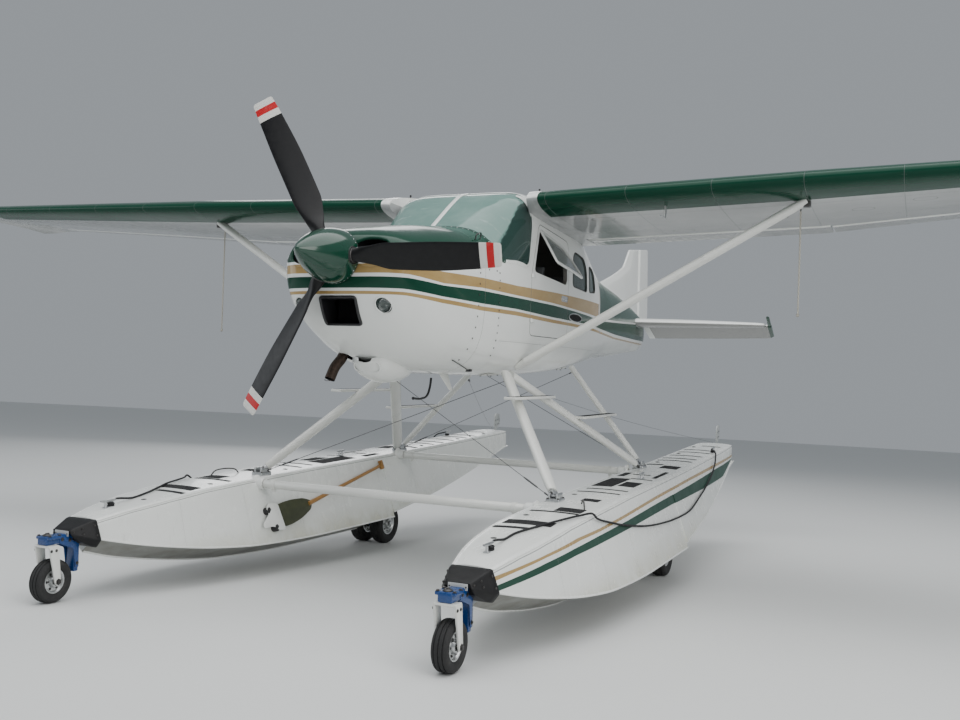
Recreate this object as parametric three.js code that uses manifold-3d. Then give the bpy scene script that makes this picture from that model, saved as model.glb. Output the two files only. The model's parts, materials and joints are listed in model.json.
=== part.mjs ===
// High-wing floatplane on amphibious floats, parked on its wheels.
// Millimetres. Shapes are laid out in the airframe's own axes: x to the aircraft's left,
// y aft from the firewall, z up from the thrust line. One outer group then tips and lifts
// the airframe so that its tyres stand on z = 0 with +Z up and the nose towards -Y.
import * as THREE from 'three';
import { mergeVertices } from 'three/addons/utils/BufferGeometryUtils.js';
import Module from 'manifold-3d';

const wasm = await Module();
wasm.setup();

// Driving dimensions
const stanceDeg = 2.9;                // thrust line to ground, nose down
const seat = 0.3;                     // gap between pieces that touch
const run = 8;                        // gap between a control surface and what carries it

const prop = { hubY: -1079, radius: 1124, startDeg: -0.8, rootR: 150, maxChord: 176, tipChord: 104 };
const spin = { tipY: -1445, baseY: -1030, radius: 168 };
const floats = { x: 1285, bowY: -1705, sternY: 4400, stepY: 1450, stepRise: 85 };
const noseGear = { y: -1923, z: -1961, tyreR: 127, tyreW: 88, trail: 38 };
const mainGear = { y: 1760, tyreR: 180.5, tyreW: 122, gap: 84 };
const wing = { rootX: 606, breakX: 2540, endX: 5180, tipX: 5460, leY: 620, chord: 1626, endChord: 1150,
  endLeY: 735, rootLeZ: 613, dihedral: 0.0302, twist: 5.2, endTwist: 2.6 };
const hinge = { flapAt: 0.775, aileronAt: 0.80, plate: 10, slot: 20, pinR: 6, lugR: 15 };
const doorRange = { front: 800, rear: 1672, sill: -395 };

const mats = {
  white: { color: 0xe9ebe6, roughness: 0.28, metalness: 0.0 },
  green: { color: 0x0b3d2a, roughness: 0.2, metalness: 0.0 },
  black: { color: 0x17181b, roughness: 0.55, metalness: 0.0 },
  rubber: { color: 0x1b1b1c, roughness: 0.85, metalness: 0.0 },
  glass: { color: 0x7fa79c, roughness: 0.05, metalness: 0.0 },
  blue: { color: 0x1d3f66, roughness: 0.35, metalness: 0.7 },
  alloy: { color: 0xb9bcbe, roughness: 0.35, metalness: 0.9 },
  dark: { color: 0x2b2d30, roughness: 0.6, metalness: 0.2 },
  fabric: { color: 0x8b8478, roughness: 0.9, metalness: 0.0 },
  iron: { color: 0x4a4a4a, roughness: 0.6, metalness: 0.8 },
  rope: { color: 0x1c1c1c, roughness: 0.95, metalness: 0.0 },
  paleRope: { color: 0xd8d6cc, roughness: 0.9, metalness: 0.0 },
};

const airframe = new THREE.Group();
const vec = (x, y, z) => new THREE.Vector3(x, y, z);
const lerp = (a, b, t) => a + (b - a) * t;
const rad = THREE.MathUtils.degToRad;

// Solids
function solidOf(geometry) {
  const g = geometry.clone();
  g.deleteAttribute('normal');
  g.deleteAttribute('uv');
  const merged = mergeVertices(g, 1e-3);
  return new wasm.Manifold(new wasm.Mesh({
    numProp: 3,
    vertProperties: new Float32Array(merged.attributes.position.array),
    triVerts: new Uint32Array(merged.index.array),
  }));
}

function geometryOf(solid) {
  const mesh = solid.getMesh();
  const g = new THREE.BufferGeometry();
  g.setAttribute('position', new THREE.BufferAttribute(new Float32Array(mesh.vertProperties), 3));
  g.setIndex(new THREE.BufferAttribute(new Uint32Array(mesh.triVerts), 1));
  g.computeVertexNormals();
  return g;
}

function join(...solids) {
  return solids.reduce((a, b) => a.add(b));
}

function cut(solid, ...tools) {
  return tools.reduce((a, b) => a.subtract(b), solid);
}

function addNode(name, solid, mat) {
  const mesh = new THREE.Mesh(geometryOf(solid), new THREE.MeshStandardMaterial(mats[mat]));
  mesh.name = name;
  airframe.add(mesh);
}

// A closed body through equal rings of points, its two ends closed flat.
// flat names the two coordinates in which an end ring is a plain polygon.
function loft(rings, flat) {
  const n = rings[0].length;
  const pos = rings.flat().flatMap((p) => [p.x, p.y, p.z]);
  const idx = [];
  for (let r = 0; r + 1 < rings.length; r += 1) {
    for (let k = 0; k < n; k += 1) {
      const a = r * n + k;
      const b = r * n + ((k + 1) % n);
      idx.push(a, b, b + n, a, b + n, a + n);
    }
  }
  // each end's triangles run against the first ring and with the last one
  const closeEnd = (ring, offset, withRing) => {
    const outline = ring.map((p) => new THREE.Vector2(p[flat[0]], p[flat[1]]));
    const sense = Math.sign(THREE.ShapeUtils.area(outline)) * (withRing ? 1 : -1);
    for (const f of THREE.ShapeUtils.triangulateShape(outline, [])) {
      const faceSense = Math.sign(THREE.ShapeUtils.area(f.map((k) => outline[k])));
      const order = faceSense === sense ? f : [f[2], f[1], f[0]];
      idx.push(...order.map((k) => k + offset));
    }
  };
  closeEnd(rings[0], 0, false);
  closeEnd(rings[rings.length - 1], (rings.length - 1) * n, true);
  return outward(pos, idx);
}

// Turns a closed triangle list so that its faces point out, and makes it a solid.
function outward(pos, idx) {
  let volume = 0;
  for (let i = 0; i < idx.length; i += 3) {
    const [a, b, c] = [idx[i], idx[i + 1], idx[i + 2]].map((k) => vec(pos[3 * k], pos[3 * k + 1], pos[3 * k + 2]));
    volume += a.dot(b.cross(c));
  }
  if (volume < 0) {
    for (let i = 0; i < idx.length; i += 3) [idx[i + 1], idx[i + 2]] = [idx[i + 2], idx[i + 1]];
  }
  const g = new THREE.BufferGeometry();
  g.setAttribute('position', new THREE.BufferAttribute(new Float32Array(pos), 3));
  g.setIndex(idx);
  return solidOf(g);
}

function box(x0, x1, y0, y1, z0, z1) {
  const g = new THREE.BoxGeometry(Math.abs(x1 - x0), Math.abs(y1 - y0), Math.abs(z1 - z0));
  g.translate((x0 + x1) / 2, (y0 + y1) / 2, (z0 + z1) / 2);
  return solidOf(g);
}

// A round bar or cone between two points.
function bar(a, b, radiusA, radiusB = radiusA, sides = 12) {
  const g = new THREE.CylinderGeometry(radiusB, radiusA, a.distanceTo(b), sides);
  const dir = b.clone().sub(a).normalize();
  g.applyQuaternion(new THREE.Quaternion().setFromUnitVectors(vec(0, 1, 0), dir));
  const mid = a.clone().add(b).multiplyScalar(0.5);
  g.translate(mid.x, mid.y, mid.z);
  return solidOf(g);
}

// A streamlined bar: a teardrop section whose long axis lies along the airflow.
function fairedBar(a, b, chord, thick) {
  const dir = b.clone().sub(a).normalize();
  const along = vec(0, 1, 0).addScaledVector(dir, -dir.y).normalize();
  const across = dir.clone().cross(along);
  const section = [];
  for (let k = 0; k < 10; k += 1) {
    const t = (k / 10) * 2 * Math.PI;
    const fore = Math.cos(t);
    section.push([-0.5 * chord * fore + 0.06 * chord, 0.5 * thick * Math.sin(t) * (0.8 + 0.2 * fore)]);
  }
  const ring = (p) => section.map(([c, w]) => p.clone().addScaledVector(along, c).addScaledVector(across, w));
  return loft([ring(a), ring(b)], Math.abs(dir.z) > Math.abs(dir.x) ? ['x', 'y'] : ['y', 'z']);
}

// A flat plate of an outline in y and z, between two x planes.
function sidePlate(outline, x0, x1) {
  const ring = (x) => outline.map(([y, z]) => vec(x, y, z));
  return loft([ring(x0), ring(x1)], ['y', 'z']);
}

// A body of revolution round an x axis through (y, z): closed profile of [x, radius].
function wheelOf(profile, y, z, sides = 36) {
  const g = new THREE.LatheGeometry(profile.map(([a, r]) => new THREE.Vector2(r, a)), sides);
  g.rotateZ(-Math.PI / 2);
  g.rotateX(Math.PI / sides);
  g.translate(0, y, z);
  const merged = mergeVertices(g.deleteAttribute('normal').deleteAttribute('uv'), 1e-3);
  return outward(Array.from(merged.attributes.position.array), Array.from(merged.index.array));
}

// The same solid moved by a matrix.
function placed(solid, matrix) {
  return solidOf(geometryOf(solid).applyMatrix4(matrix));
}

// A soft line along chosen points.
function cordOf(points, diameter, sides = 8) {
  const curve = new THREE.CatmullRomCurve3(points.map((p) => vec(...p)));
  const ring = [];
  for (let k = 0; k < sides; k += 1) {
    const t = (k / sides) * 2 * Math.PI;
    ring.push(new THREE.Vector2(0.5 * diameter * Math.cos(t), 0.5 * diameter * Math.sin(t)));
  }
  const steps = Math.min(38, Math.max(8, Math.round(curve.getLength() / (5 * diameter))));
  return solidOf(new THREE.ExtrudeGeometry(new THREE.Shape(ring), { steps, extrudePath: curve, bevelEnabled: false }));
}

// Fuselage: one section is a soft box. Columns: y, half width, top, bottom, height of the widest line,
// and the power of the corner curve above and below it.
const noseRows = [
  [-1000, 330, 104, -224, -50, 2.3, 2.3],
  [-980, 372, 130, -276, -50, 2.4, 2.4],
  [-940, 416, 156, -360, -52, 2.5, 2.5],
  [-870, 452, 184, -448, -55, 2.6, 2.5],
  [-740, 480, 214, -545, -60, 2.7, 2.5],
  [-560, 505, 250, -628, -65, 2.7, 2.6],
  [-300, 530, 296, -684, -70, 2.7, 3.0],
  [-seat, 548, 334, -702, -75, 2.7, 3.4],
];
const tubRows = [
  [0, 548, 334, -702, -75, 2.7, 3.4],
  [230, 556, 361, -706, -80, 2.7, 4.0],
  [700, 563, 402, -710, -90, 2.8, 4.8],
  [1300, 563, 430, -696, -90, 3.0, 4.8],
  [2000, 545, 440, -664, -90, 3.0, 4.4],
  [2740, 476, 440, -604, -90, 2.8, 3.6],
];
const houseRows = [
  [236, 500, 366, 60, 150, 2.8, 4],
  [400, 528, 480, 60, 150, 2.8, 4],
  [560, 540, 590, 60, 180, 3.0, 4],
  [720, 548, 676, 60, 240, 3.6, 4],
  [900, 552, 714, 60, 300, 4.4, 4],
  [1300, 554, 728, 60, 300, 4.4, 4],
  [1800, 546, 706, 60, 260, 4.0, 4],
  [2250, 520, 640, 60, 200, 3.4, 4],
  [2740, 470, 486, 60, 120, 2.8, 4],
];
const tailRows = [
  [2740.3, 476, 486, -604, -90, 2.7, 3.6],
  [3050, 437, 392, -580, -90, 2.6, 3.2],
  [3500, 386, 326, -545, -95, 2.5, 2.7],
  [4300, 290, 256, -487, -100, 2.4, 2.5],
  [5100, 192, 160, -428, -110, 2.3, 2.4],
  [5700, 122, 70, -386, -130, 2.2, 2.3],
  [5980, 62, 16, -330, -150, 2.2, 2.2],
];

function sectionRing([y, half, top, bottom, mid, up, down], inset = 0, sides = 20) {
  const ring = [];
  for (let k = 0; k < sides; k += 1) {
    const t = ((k + 0.5) / sides) * 2 * Math.PI;
    const power = Math.sin(t) > 0 ? 2 / up : 2 / down;
    const reach = (Math.sin(t) > 0 ? top - mid : mid - bottom) - inset;
    const c = Math.cos(t);
    const s = Math.sin(t);
    ring.push(vec((half - inset) * Math.sign(c) * Math.abs(c) ** power, y, mid + reach * Math.sign(s) * Math.abs(s) ** power));
  }
  return ring;
}

// The body through all rows; a positive fore or negative aft shift shortens it along its own taper.
function body(rows, inset = 0, foreShift = 0, aftShift = 0) {
  const last = rows.length - 1;
  const slide = (from, to, by) => {
    const t = Math.max(0, by / (to[0] - from[0]));
    return [from[0] + by, ...from.slice(1).map((v, i) => lerp(v, to[i + 1], t))];
  };
  const trimmed = rows.slice();
  if (foreShift) trimmed[0] = slide(rows[0], rows[1], foreShift);
  if (aftShift) trimmed[last] = slide(rows[last], rows[last - 1], aftShift);
  return loft(trimmed.map((row) => sectionRing(row, inset)), ['x', 'z']);
}

// A prism through the fuselage side from an outline in y and z, on one side.
function sideCut(outline, side, fromX = 250, toX = 800) {
  return sidePlate(outline, side * fromX, side * toX);
}

function offsetOutline(outline, by) {
  const n = outline.length;
  const area = THREE.ShapeUtils.area(outline.map(([y, z]) => new THREE.Vector2(y, z)));
  const sign = area > 0 ? 1 : -1;
  return outline.map((p, k) => {
    const a = outline[(k + n - 1) % n];
    const b = outline[(k + 1) % n];
    const u = new THREE.Vector2(p[0] - a[0], p[1] - a[1]).normalize();
    const v = new THREE.Vector2(b[0] - p[0], b[1] - p[1]).normalize();
    const nu = new THREE.Vector2(u.y, -u.x);
    const nv = new THREE.Vector2(v.y, -v.x);
    const m = nu.clone().add(nv).normalize();
    const d = (sign * by) / Math.max(0.35, m.dot(nu));
    return [p[0] + m.x * d, p[1] + m.y * d];
  });
}

const doorOutline = [
  [doorRange.front, doorRange.sill], [doorRange.rear - 60, doorRange.sill], [doorRange.rear, doorRange.sill + 70],
  [doorRange.rear, 300], [doorRange.rear - 40, 420], [960, 470], [926, 440], [812, 90],
];
const doorWindow = [[872, 102], [1596, 64], [1626, 100], [1600, 250], [1530, 352], [1000, 428], [962, 412]];
const rearWindows = [
  [[1790, 66], [2232, 54], [2244, 88], [2226, 250], [2140, 338], [1836, 360], [1790, 320]],
  [[2336, 58], [2560, 72], [2592, 100], [2560, 262], [2420, 296], [2336, 286]],
];

const wall = 32;

function cabin() {
  const outer = join(body(tubRows), body(houseRows));
  const inner = join(body(tubRows, wall, 26, -26), body(houseRows, wall, 30, -26));
  // the glazed nose of the upper house: everything ahead of the door posts
  const outline = [[150, 380], [300, 250], [690, 150], [760, 170], [812, 470], [830, 560], [716, 640], [716, 760], [150, 760]];
  const windshieldSpace = sidePlate(outline, -700, 700);
  const glassSpace = sidePlate(offsetOutline(outline, -seat), -700, 700);
  let shell = cut(outer, inner);
  const glassShell = cut(body(houseRows, 4), body(houseRows, 16), body(tubRows, -2 * seat)).intersect(glassSpace);
  shell = cut(shell, windshieldSpace.intersect(cut(body(houseRows, -20), body(tubRows, -seat))));
  // the floor stops short of the rear wall, which leaves the space under it open to the cabin
  const floor = body(tubRows, wall - 4, 20, -20).intersect(box(-700, 700, 0, 2590, -438, -410));
  shell = join(shell, floor);
  for (const side of [1, -1]) {
    shell = cut(shell, sideCut(doorOutline, side));
    for (const w of rearWindows) shell = cut(shell, sideCut(w, side));
  }
  return { shell, glassShell, outer };
}

function biggest(solid) {
  return solid.decompose().reduce((a, b) => (volumeOf(a) > volumeOf(b) ? a : b));
}

function volumeOf(solid) {
  return typeof solid.volume === 'function' ? solid.volume() : solid.getProperties().volume;
}

const { shell, glassShell } = cabin();

// Door hinges: a pin on two ears of the cabin, and a knuckle of the door between them.
const doorHinge = { x: 574, y: doorRange.front - 4, z: [-280, 60], ear: 10, knuckle: 30 };

function doorParts(side) {
  const skinOuter = join(body(tubRows), body(houseRows, 0));
  const skinInner = join(body(tubRows, wall + 6), body(houseRows, wall + 6));
  const slab = cut(skinOuter, skinInner);
  let leaf = slab.intersect(sideCut(offsetOutline(doorOutline, -5), side));
  leaf = biggest(cut(leaf, sideCut(doorWindow, side)));
  let ears = null;
  for (const z of doorHinge.z) {
    const axisAt = (dz) => vec(side * doorHinge.x, doorHinge.y, z + dz);
    const half = doorHinge.knuckle / 2;
    const barrel = bar(axisAt(-half), axisAt(half), 9, 9, 12);
    const strap = join(
      box(side * (doorHinge.x - 6), side * (doorHinge.x + 3), doorHinge.y, doorHinge.y + 70, z - half, z + half),
      box(side * (doorHinge.x - 34), side * (doorHinge.x + 3), doorHinge.y + 22, doorHinge.y + 70, z - half, z + half),
    );
    const bore = bar(axisAt(-half - 5), axisAt(half + 5), 4.5 + seat, 4.5 + seat, 12);
    leaf = join(leaf, cut(join(barrel, strap), bore));
    const pin = bar(axisAt(-half - seat - doorHinge.ear), axisAt(half + seat + doorHinge.ear), 4.5, 4.5, 12);
    const ear = (z0) => join(
      bar(vec(side * doorHinge.x, doorHinge.y, z0), vec(side * doorHinge.x, doorHinge.y, z0 + doorHinge.ear), 9, 9, 12),
      box(side * (doorHinge.x - 30), side * doorHinge.x, doorHinge.y - 40, doorHinge.y, z0, z0 + doorHinge.ear),
    );
    const pair = join(pin, ear(z + half + seat), ear(z - half - seat - doorHinge.ear));
    ears = ears ? join(ears, pair) : pair;
  }
  return { leaf, ears };
}

// The left door's window stands open: its lower edge swings out round its top edge.
const windowTilt = { x: 543, y: 1000, z: 428, axis: [0, 530, -76], openDeg: 33 };

function windowOpen() {
  const turn = new THREE.Matrix4().makeRotationAxis(vec(...windowTilt.axis).normalize(), -rad(windowTilt.openDeg));
  const there = new THREE.Matrix4().makeTranslation(windowTilt.x, windowTilt.y, windowTilt.z);
  return there.clone().multiply(turn).multiply(there.clone().invert());
}

let cabinShell = shell;
for (const [name, side] of [['left', 1], ['right', -1]]) {
  const { leaf, ears } = doorParts(side);
  cabinShell = join(cabinShell, ears);
  addNode(`door_${name}`, leaf, 'white');
  // window panes, 5 mm thick, set against the inside of the openings
  const paneOuter = join(body(tubRows, 12), body(houseRows, 12));
  const paneInner = join(body(tubRows, 17), body(houseRows, 17));
  const pane = cut(paneOuter, paneInner);
  const doorPane = biggest(pane.intersect(sideCut(offsetOutline(doorWindow, -seat), side)));
  addNode(`door_window_${name}`, side > 0 ? placed(doorPane, windowOpen()) : doorPane, 'glass');
  const sidePane = cut(join(body(tubRows, wall + 1.2), body(houseRows, wall + 1.2)),
    join(body(tubRows, wall + 5), body(houseRows, wall + 5)))
    .intersect(sideCut([[1760, 40], [2640, 40], [2640, 310], [2240, 380], [1760, 380]], side));
  addNode(`side_window_${name}`, biggest(sidePane), 'glass');
}
addNode('windshield', biggest(glassShell), 'glass');

// Engine bay: cowling, engine block with its exhaust stack, propeller and spinner
const inlet = { x: 235, z: 20, halfW: 130, halfH: 82 };
const scoop = { z: -326, halfW: 129, halfH: 85 };
const shaftR = 55;

function ovalCut(x, z, halfW, halfH, y0, y1, power = 2.4) {
  const ring = (y) => Array.from({ length: 16 }, (_, k) => {
    const t = (k / 16) * 2 * Math.PI;
    const c = Math.cos(t);
    const s = Math.sin(t);
    return vec(x + halfW * Math.sign(c) * Math.abs(c) ** (2 / power), y, z + halfH * Math.sign(s) * Math.abs(s) ** (2 / power));
  });
  return loft([ring(y0), ring(y1)], ['x', 'z']);
}

function cowling() {
  const hollow = body(noseRows, 14, 30, 30);
  const chin = loft([
    [-620, 120, -600, -664], [-560, 150, -600, -730], [-420, 160, -600, -772], [-300, 150, -600, -770], [-150, 120, -600, -730],
  ].map(([y, half, top, bottom]) => [vec(half, y, top), vec(half, y, bottom + 50), vec(half - 45, y, bottom),
    vec(-half + 45, y, bottom), vec(-half, y, bottom + 50), vec(-half, y, top)]), ['x', 'z']);
  let cowl = cut(join(body(noseRows), chin), hollow);
  for (const side of [1, -1]) {
    cowl = cut(cowl, ovalCut(side * inlet.x, inlet.z, inlet.halfW, inlet.halfH, -1100, -800));
  }
  cowl = cut(cowl, ovalCut(0, 0, shaftR + 12, shaftR + 12, -1100, -800, 2));
  cowl = cut(cowl, ovalCut(0, scoop.z, scoop.halfW, scoop.halfH, -1100, -700, 8));
  cowl = cut(cowl, box(-250, -130, -640, -520, -800, -480));
  return biggest(cowl);
}

function engine() {
  const block = box(-300, 300, -800, -120, -330, 110);
  const crank = bar(vec(0, -900, 0), vec(0, -790, 0), shaftR, shaftR, 16);
  const mountPads = box(-260, 260, -130, -seat, -260, 60);
  const stack = solidOf(new THREE.ExtrudeGeometry(
    new THREE.Shape(Array.from({ length: 12 }, (_, k) => {
      const t = (k / 12) * 2 * Math.PI;
      return new THREE.Vector2(30 * Math.cos(t), 30 * Math.sin(t));
    })),
    { steps: 12, bevelEnabled: false, extrudePath: new THREE.CatmullRomCurve3([
      vec(-185, -560, -300), vec(-186, -575, -480), vec(-192, -595, -600), vec(-206, -640, -680), vec(-212, -668, -770),
    ]) },
  ));
  return join(block, crank, mountPads, stack);
}

function propeller() {
  const y = prop.hubY;
  let solid = bar(vec(0, -900 - seat, 0), vec(0, y - 70, 0), shaftR, shaftR, 16);
  solid = join(solid, bar(vec(0, y - 70, 0), vec(0, y + 45, 0), 92, 92, 18));
  // radius share, chord, thickness, blade angle from the disc, share of chord ahead of the axis
  const rows = [
    [0.05, 84, 84, 0, 0.5], [0.15, 84, 80, 10, 0.5], [0.24, 128, 42, 38, 0.44], [0.36, prop.maxChord, 30, 33, 0.41],
    [0.6, prop.maxChord, 21, 25, 0.4], [0.82, 158, 14, 19, 0.41], [0.95, 132, 10, 16, 0.43], [1, prop.tipChord, 7, 15, 0.45],
  ];
  for (let k = 0; k < 3; k += 1) {
    const angle = rad(prop.startDeg + 120 * k);
    const outAxis = vec(Math.cos(angle), 0, Math.sin(angle));
    const turnAxis = vec(-Math.sin(angle), 0, Math.cos(angle));
    const rings = rows.map(([share, chord, thick, pitchDeg, ahead]) => {
      const pitch = rad(pitchDeg);
      const chordDir = turnAxis.clone().multiplyScalar(Math.cos(pitch)).add(vec(0, -Math.sin(pitch), 0));
      const thickDir = turnAxis.clone().multiplyScalar(-Math.sin(pitch)).add(vec(0, -Math.cos(pitch), 0));
      return Array.from({ length: 12 }, (_, j) => {
        const t = (j / 12) * 2 * Math.PI;
        const along = chord * (0.5 * Math.cos(t) + ahead - 0.5 + 0.05);
        return vec(0, y, 0).addScaledVector(outAxis, share * prop.radius)
          .addScaledVector(chordDir, along).addScaledVector(thickDir, 0.5 * thick * Math.sin(t));
      });
    });
    const capPlane = Math.abs(outAxis.x) > Math.abs(outAxis.z) ? ['y', 'z'] : ['x', 'y'];
    solid = join(solid, loft(rings, capPlane));
  }
  return solid;
}

function spinner(propSolid) {
  const length = spin.baseY - spin.tipY;
  const profile = [new THREE.Vector2(0, spin.baseY)];
  for (let k = 0; k <= 9; k += 1) {
    const t = k / 9;
    profile.push(new THREE.Vector2(spin.radius * Math.sin(Math.PI * 0.5 * (1 - t)) ** 0.78, spin.baseY - length * t));
  }
  profile[profile.length - 1].x = 0;
  const g = new THREE.LatheGeometry(profile, 24);
  const merged = mergeVertices(g.deleteAttribute('normal').deleteAttribute('uv'), 1e-3);
  const cone = outward(Array.from(merged.attributes.position.array), Array.from(merged.index.array));
  // rooms for the hub and the three blade shanks
  const hubRoom = bar(vec(0, prop.hubY - 70 - seat, 0), vec(0, spin.baseY + 20, 0), 92 + seat, 92 + seat, 18);
  let shape = cut(cone, hubRoom);
  for (let k = 0; k < 3; k += 1) {
    const angle = rad(prop.startDeg + 120 * k);
    const outAxis = vec(Math.cos(angle), 0, Math.sin(angle));
    const at = (r) => vec(0, prop.hubY, 0).addScaledVector(outAxis, r);
    shape = cut(shape, bar(at(60), at(240), 56, 62, 14));
  }
  shape = cut(shape, propSolid);
  return biggest(shape);
}

addNode('cowling', cowling(), 'white');
addNode('engine', engine(), 'iron');
const propSolid = propeller();
addNode('propeller', propSolid, 'black');
addNode('spinner', spinner(propSolid), 'green');

// Cabin fittings
function seatSolid(x, y, width) {
  const half = width / 2;
  const profile = [[y, -409.7], [y + 420, -409.7], [y + 420, -250], [y + 560, 190], [y + 490, 210], [y + 360, -110],
    [y - 20, -90], [y - 30, -190], [y, -200]];
  return sidePlate(profile, x - half, x + half);
}

function instrumentPanel() {
  let panel = box(-440, 440, 372, 440, -60, 262);
  panel = join(panel, box(-370, 370, 275, 400, 200, 240));
  panel = join(panel, box(-120, 120, 372, 430, -409.7, -40));
  for (const side of [1, -1]) {
    const yokeShaft = bar(vec(side * 240, 430, 60), vec(side * 240, 640, 60), 14, 14, 10);
    const wheelBar = box(side * 240 - 130, side * 240 + 130, 632, 660, 46, 74);
    const horns = join(box(side * 240 - 130, side * 240 - 104, 632, 660, 46, 150),
      box(side * 240 + 104, side * 240 + 130, 632, 660, 46, 150));
    panel = join(panel, yokeShaft, wheelBar, horns);
  }
  return panel;
}

addNode('instrument_panel', instrumentPanel(), 'dark');
addNode('seat_front_left', seatSolid(245, 880, 430), 'fabric');
addNode('seat_front_right', seatSolid(-245, 880, 430), 'fabric');
addNode('rear_bench', seatSolid(0, 1760, 900), 'fabric');

// Flying surfaces: a two-digit cambered section as [share of chord, height share] from the nose aft
function foilHeight(x, camber, peak, thick) {
  const yt = 5 * thick * (0.2969 * Math.sqrt(x) - 0.126 * x - 0.3516 * x ** 2 + 0.2843 * x ** 3 - 0.1036 * x ** 4);
  const yc = x < peak ? (camber / peak ** 2) * (2 * peak * x - x * x)
    : (camber / (1 - peak) ** 2) * (1 - 2 * peak + 2 * peak * x - x * x);
  return [yc + yt, yc - yt];
}

const noseShares = [0.01, 0.05, 0.14, 0.3, 0.52];

// Outline from one share of the chord to another. A cut rear is a flat wall; a cut front is a round nose.
function foilOutline(from, to, camber, thick, noseRoom = 0) {
  const peak = 0.4;
  const upper = [];
  const lower = [];
  const end = Math.min(to, 0.995);
  if (from <= 0) {
    for (const s of noseShares.filter((v) => v < end - 0.04)) {
      const [a, b] = foilHeight(s, camber, peak, thick);
      upper.push([s, a]);
      lower.push([s, b]);
    }
    const [a, b] = foilHeight(end, camber, peak, thick);
    upper.push([end, a]);
    lower.push([end, b]);
    return [[0, 0], ...upper, ...lower.reverse()];
  }
  const start = from + noseRoom;
  const [a0, b0] = foilHeight(start, camber, peak, thick);
  const r = (a0 - b0) / 2;
  const mid = (a0 + b0) / 2;
  const centre = start + r;
  const nose = [];
  for (let k = 0; k <= 6; k += 1) {
    const t = Math.PI * (0.5 + k / 6);
    nose.push([centre + r * Math.cos(t), mid + r * Math.sin(t)]);
  }
  for (const s of [0.34, 0.7]) {
    const at = lerp(centre, end, s);
    const [a, b] = foilHeight(at, camber, peak, thick);
    upper.push([at, Math.min(a, mid + r)]);
    lower.push([at, Math.max(b, mid - r)]);
  }
  const [a1, b1] = foilHeight(end, camber, peak, thick);
  return [...nose, ...lower, [end, b1], [end, a1], ...upper.reverse()];
}

// Wing geometry at a span station: nose point, chord and twist.
function wingAt(x) {
  const outer = Math.max(0, (x - wing.breakX) / (wing.endX - wing.breakX));
  return {
    y: lerp(wing.leY, wing.endLeY, outer),
    z: wing.rootLeZ + wing.dihedral * (x - wing.rootX),
    chord: lerp(wing.chord, wing.endChord, outer),
    twist: rad(lerp(wing.twist, wing.endTwist, outer)),
  };
}

function foilPoint(side, x, at, [s, h]) {
  const c = Math.cos(at.twist);
  const k = Math.sin(at.twist);
  return vec(side * x, at.y + at.chord * (s * c + h * k), at.z + at.chord * (h * c - s * k));
}

function wingPiece(side, stations, from, to, noseGap) {
  return loft(stations.map((x) => {
    const at = wingAt(x);
    return foilOutline(from, to, 0.02, 0.12, noseGap ? noseGap / at.chord : 0).map((p) => foilPoint(side, x, at, p));
  }), ['y', 'z']);
}

// Centre of a control surface's round nose at a span station.
function noseCentre(side, x, from, noseGap) {
  const at = wingAt(x);
  const start = from + noseGap / at.chord;
  const [a, b] = foilHeight(start, 0.02, 0.4, 0.12);
  return foilPoint(side, x, at, [start + (a - b) / 2, (a + b) / 2]);
}

// A bracket on the fixed piece, and a slot with a pin across it in the moving piece.
function fitHinge(fixed, moving, centre, axis, foreLength) {
  const a = axis.clone().normalize();
  const aft = Math.abs(a.x) > 0.7 ? vec(0, 1, 0) : vec(0, 1, 0).addScaledVector(a, -a.y).normalize();
  const side = a.clone().cross(aft).normalize();
  const shape = (len0, len1, half, wide) => {
    const g = new THREE.BoxGeometry(wide, len1 - len0, half * 2);
    g.translate(0, (len0 + len1) / 2, 0);
    const m = new THREE.Matrix4().makeBasis(a, aft, side);
    m.setPosition(centre);
    g.applyMatrix4(m);
    return solidOf(g);
  };
  const at = (d) => centre.clone().addScaledVector(a, d);
  const eye = bar(at(-hinge.plate / 2), at(hinge.plate / 2), hinge.lugR, hinge.lugR, 8);
  const arm = shape(-foreLength, 0, hinge.lugR * 0.8, hinge.plate);
  const holeR = (hinge.pinR + seat) / Math.cos(Math.PI / 8);   // its flats clear the pin's corners at any angle
  const hole = bar(at(-hinge.plate), at(hinge.plate), holeR, holeR, 8);
  const bracket = cut(join(eye, arm), hole);
  const slot = shape(-foreLength * 3, hinge.lugR + 8, 160, hinge.slot);
  const pin = bar(at(-hinge.slot / 2 - 6), at(hinge.slot / 2 + 6), hinge.pinR, hinge.pinR, 8);
  return { fixed: join(fixed, bracket), moving: join(cut(moving, slot), pin) };
}

const flapSpan = [640, 2592];
const aileronSpan = [2608, 5150];
const wings = {};

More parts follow.
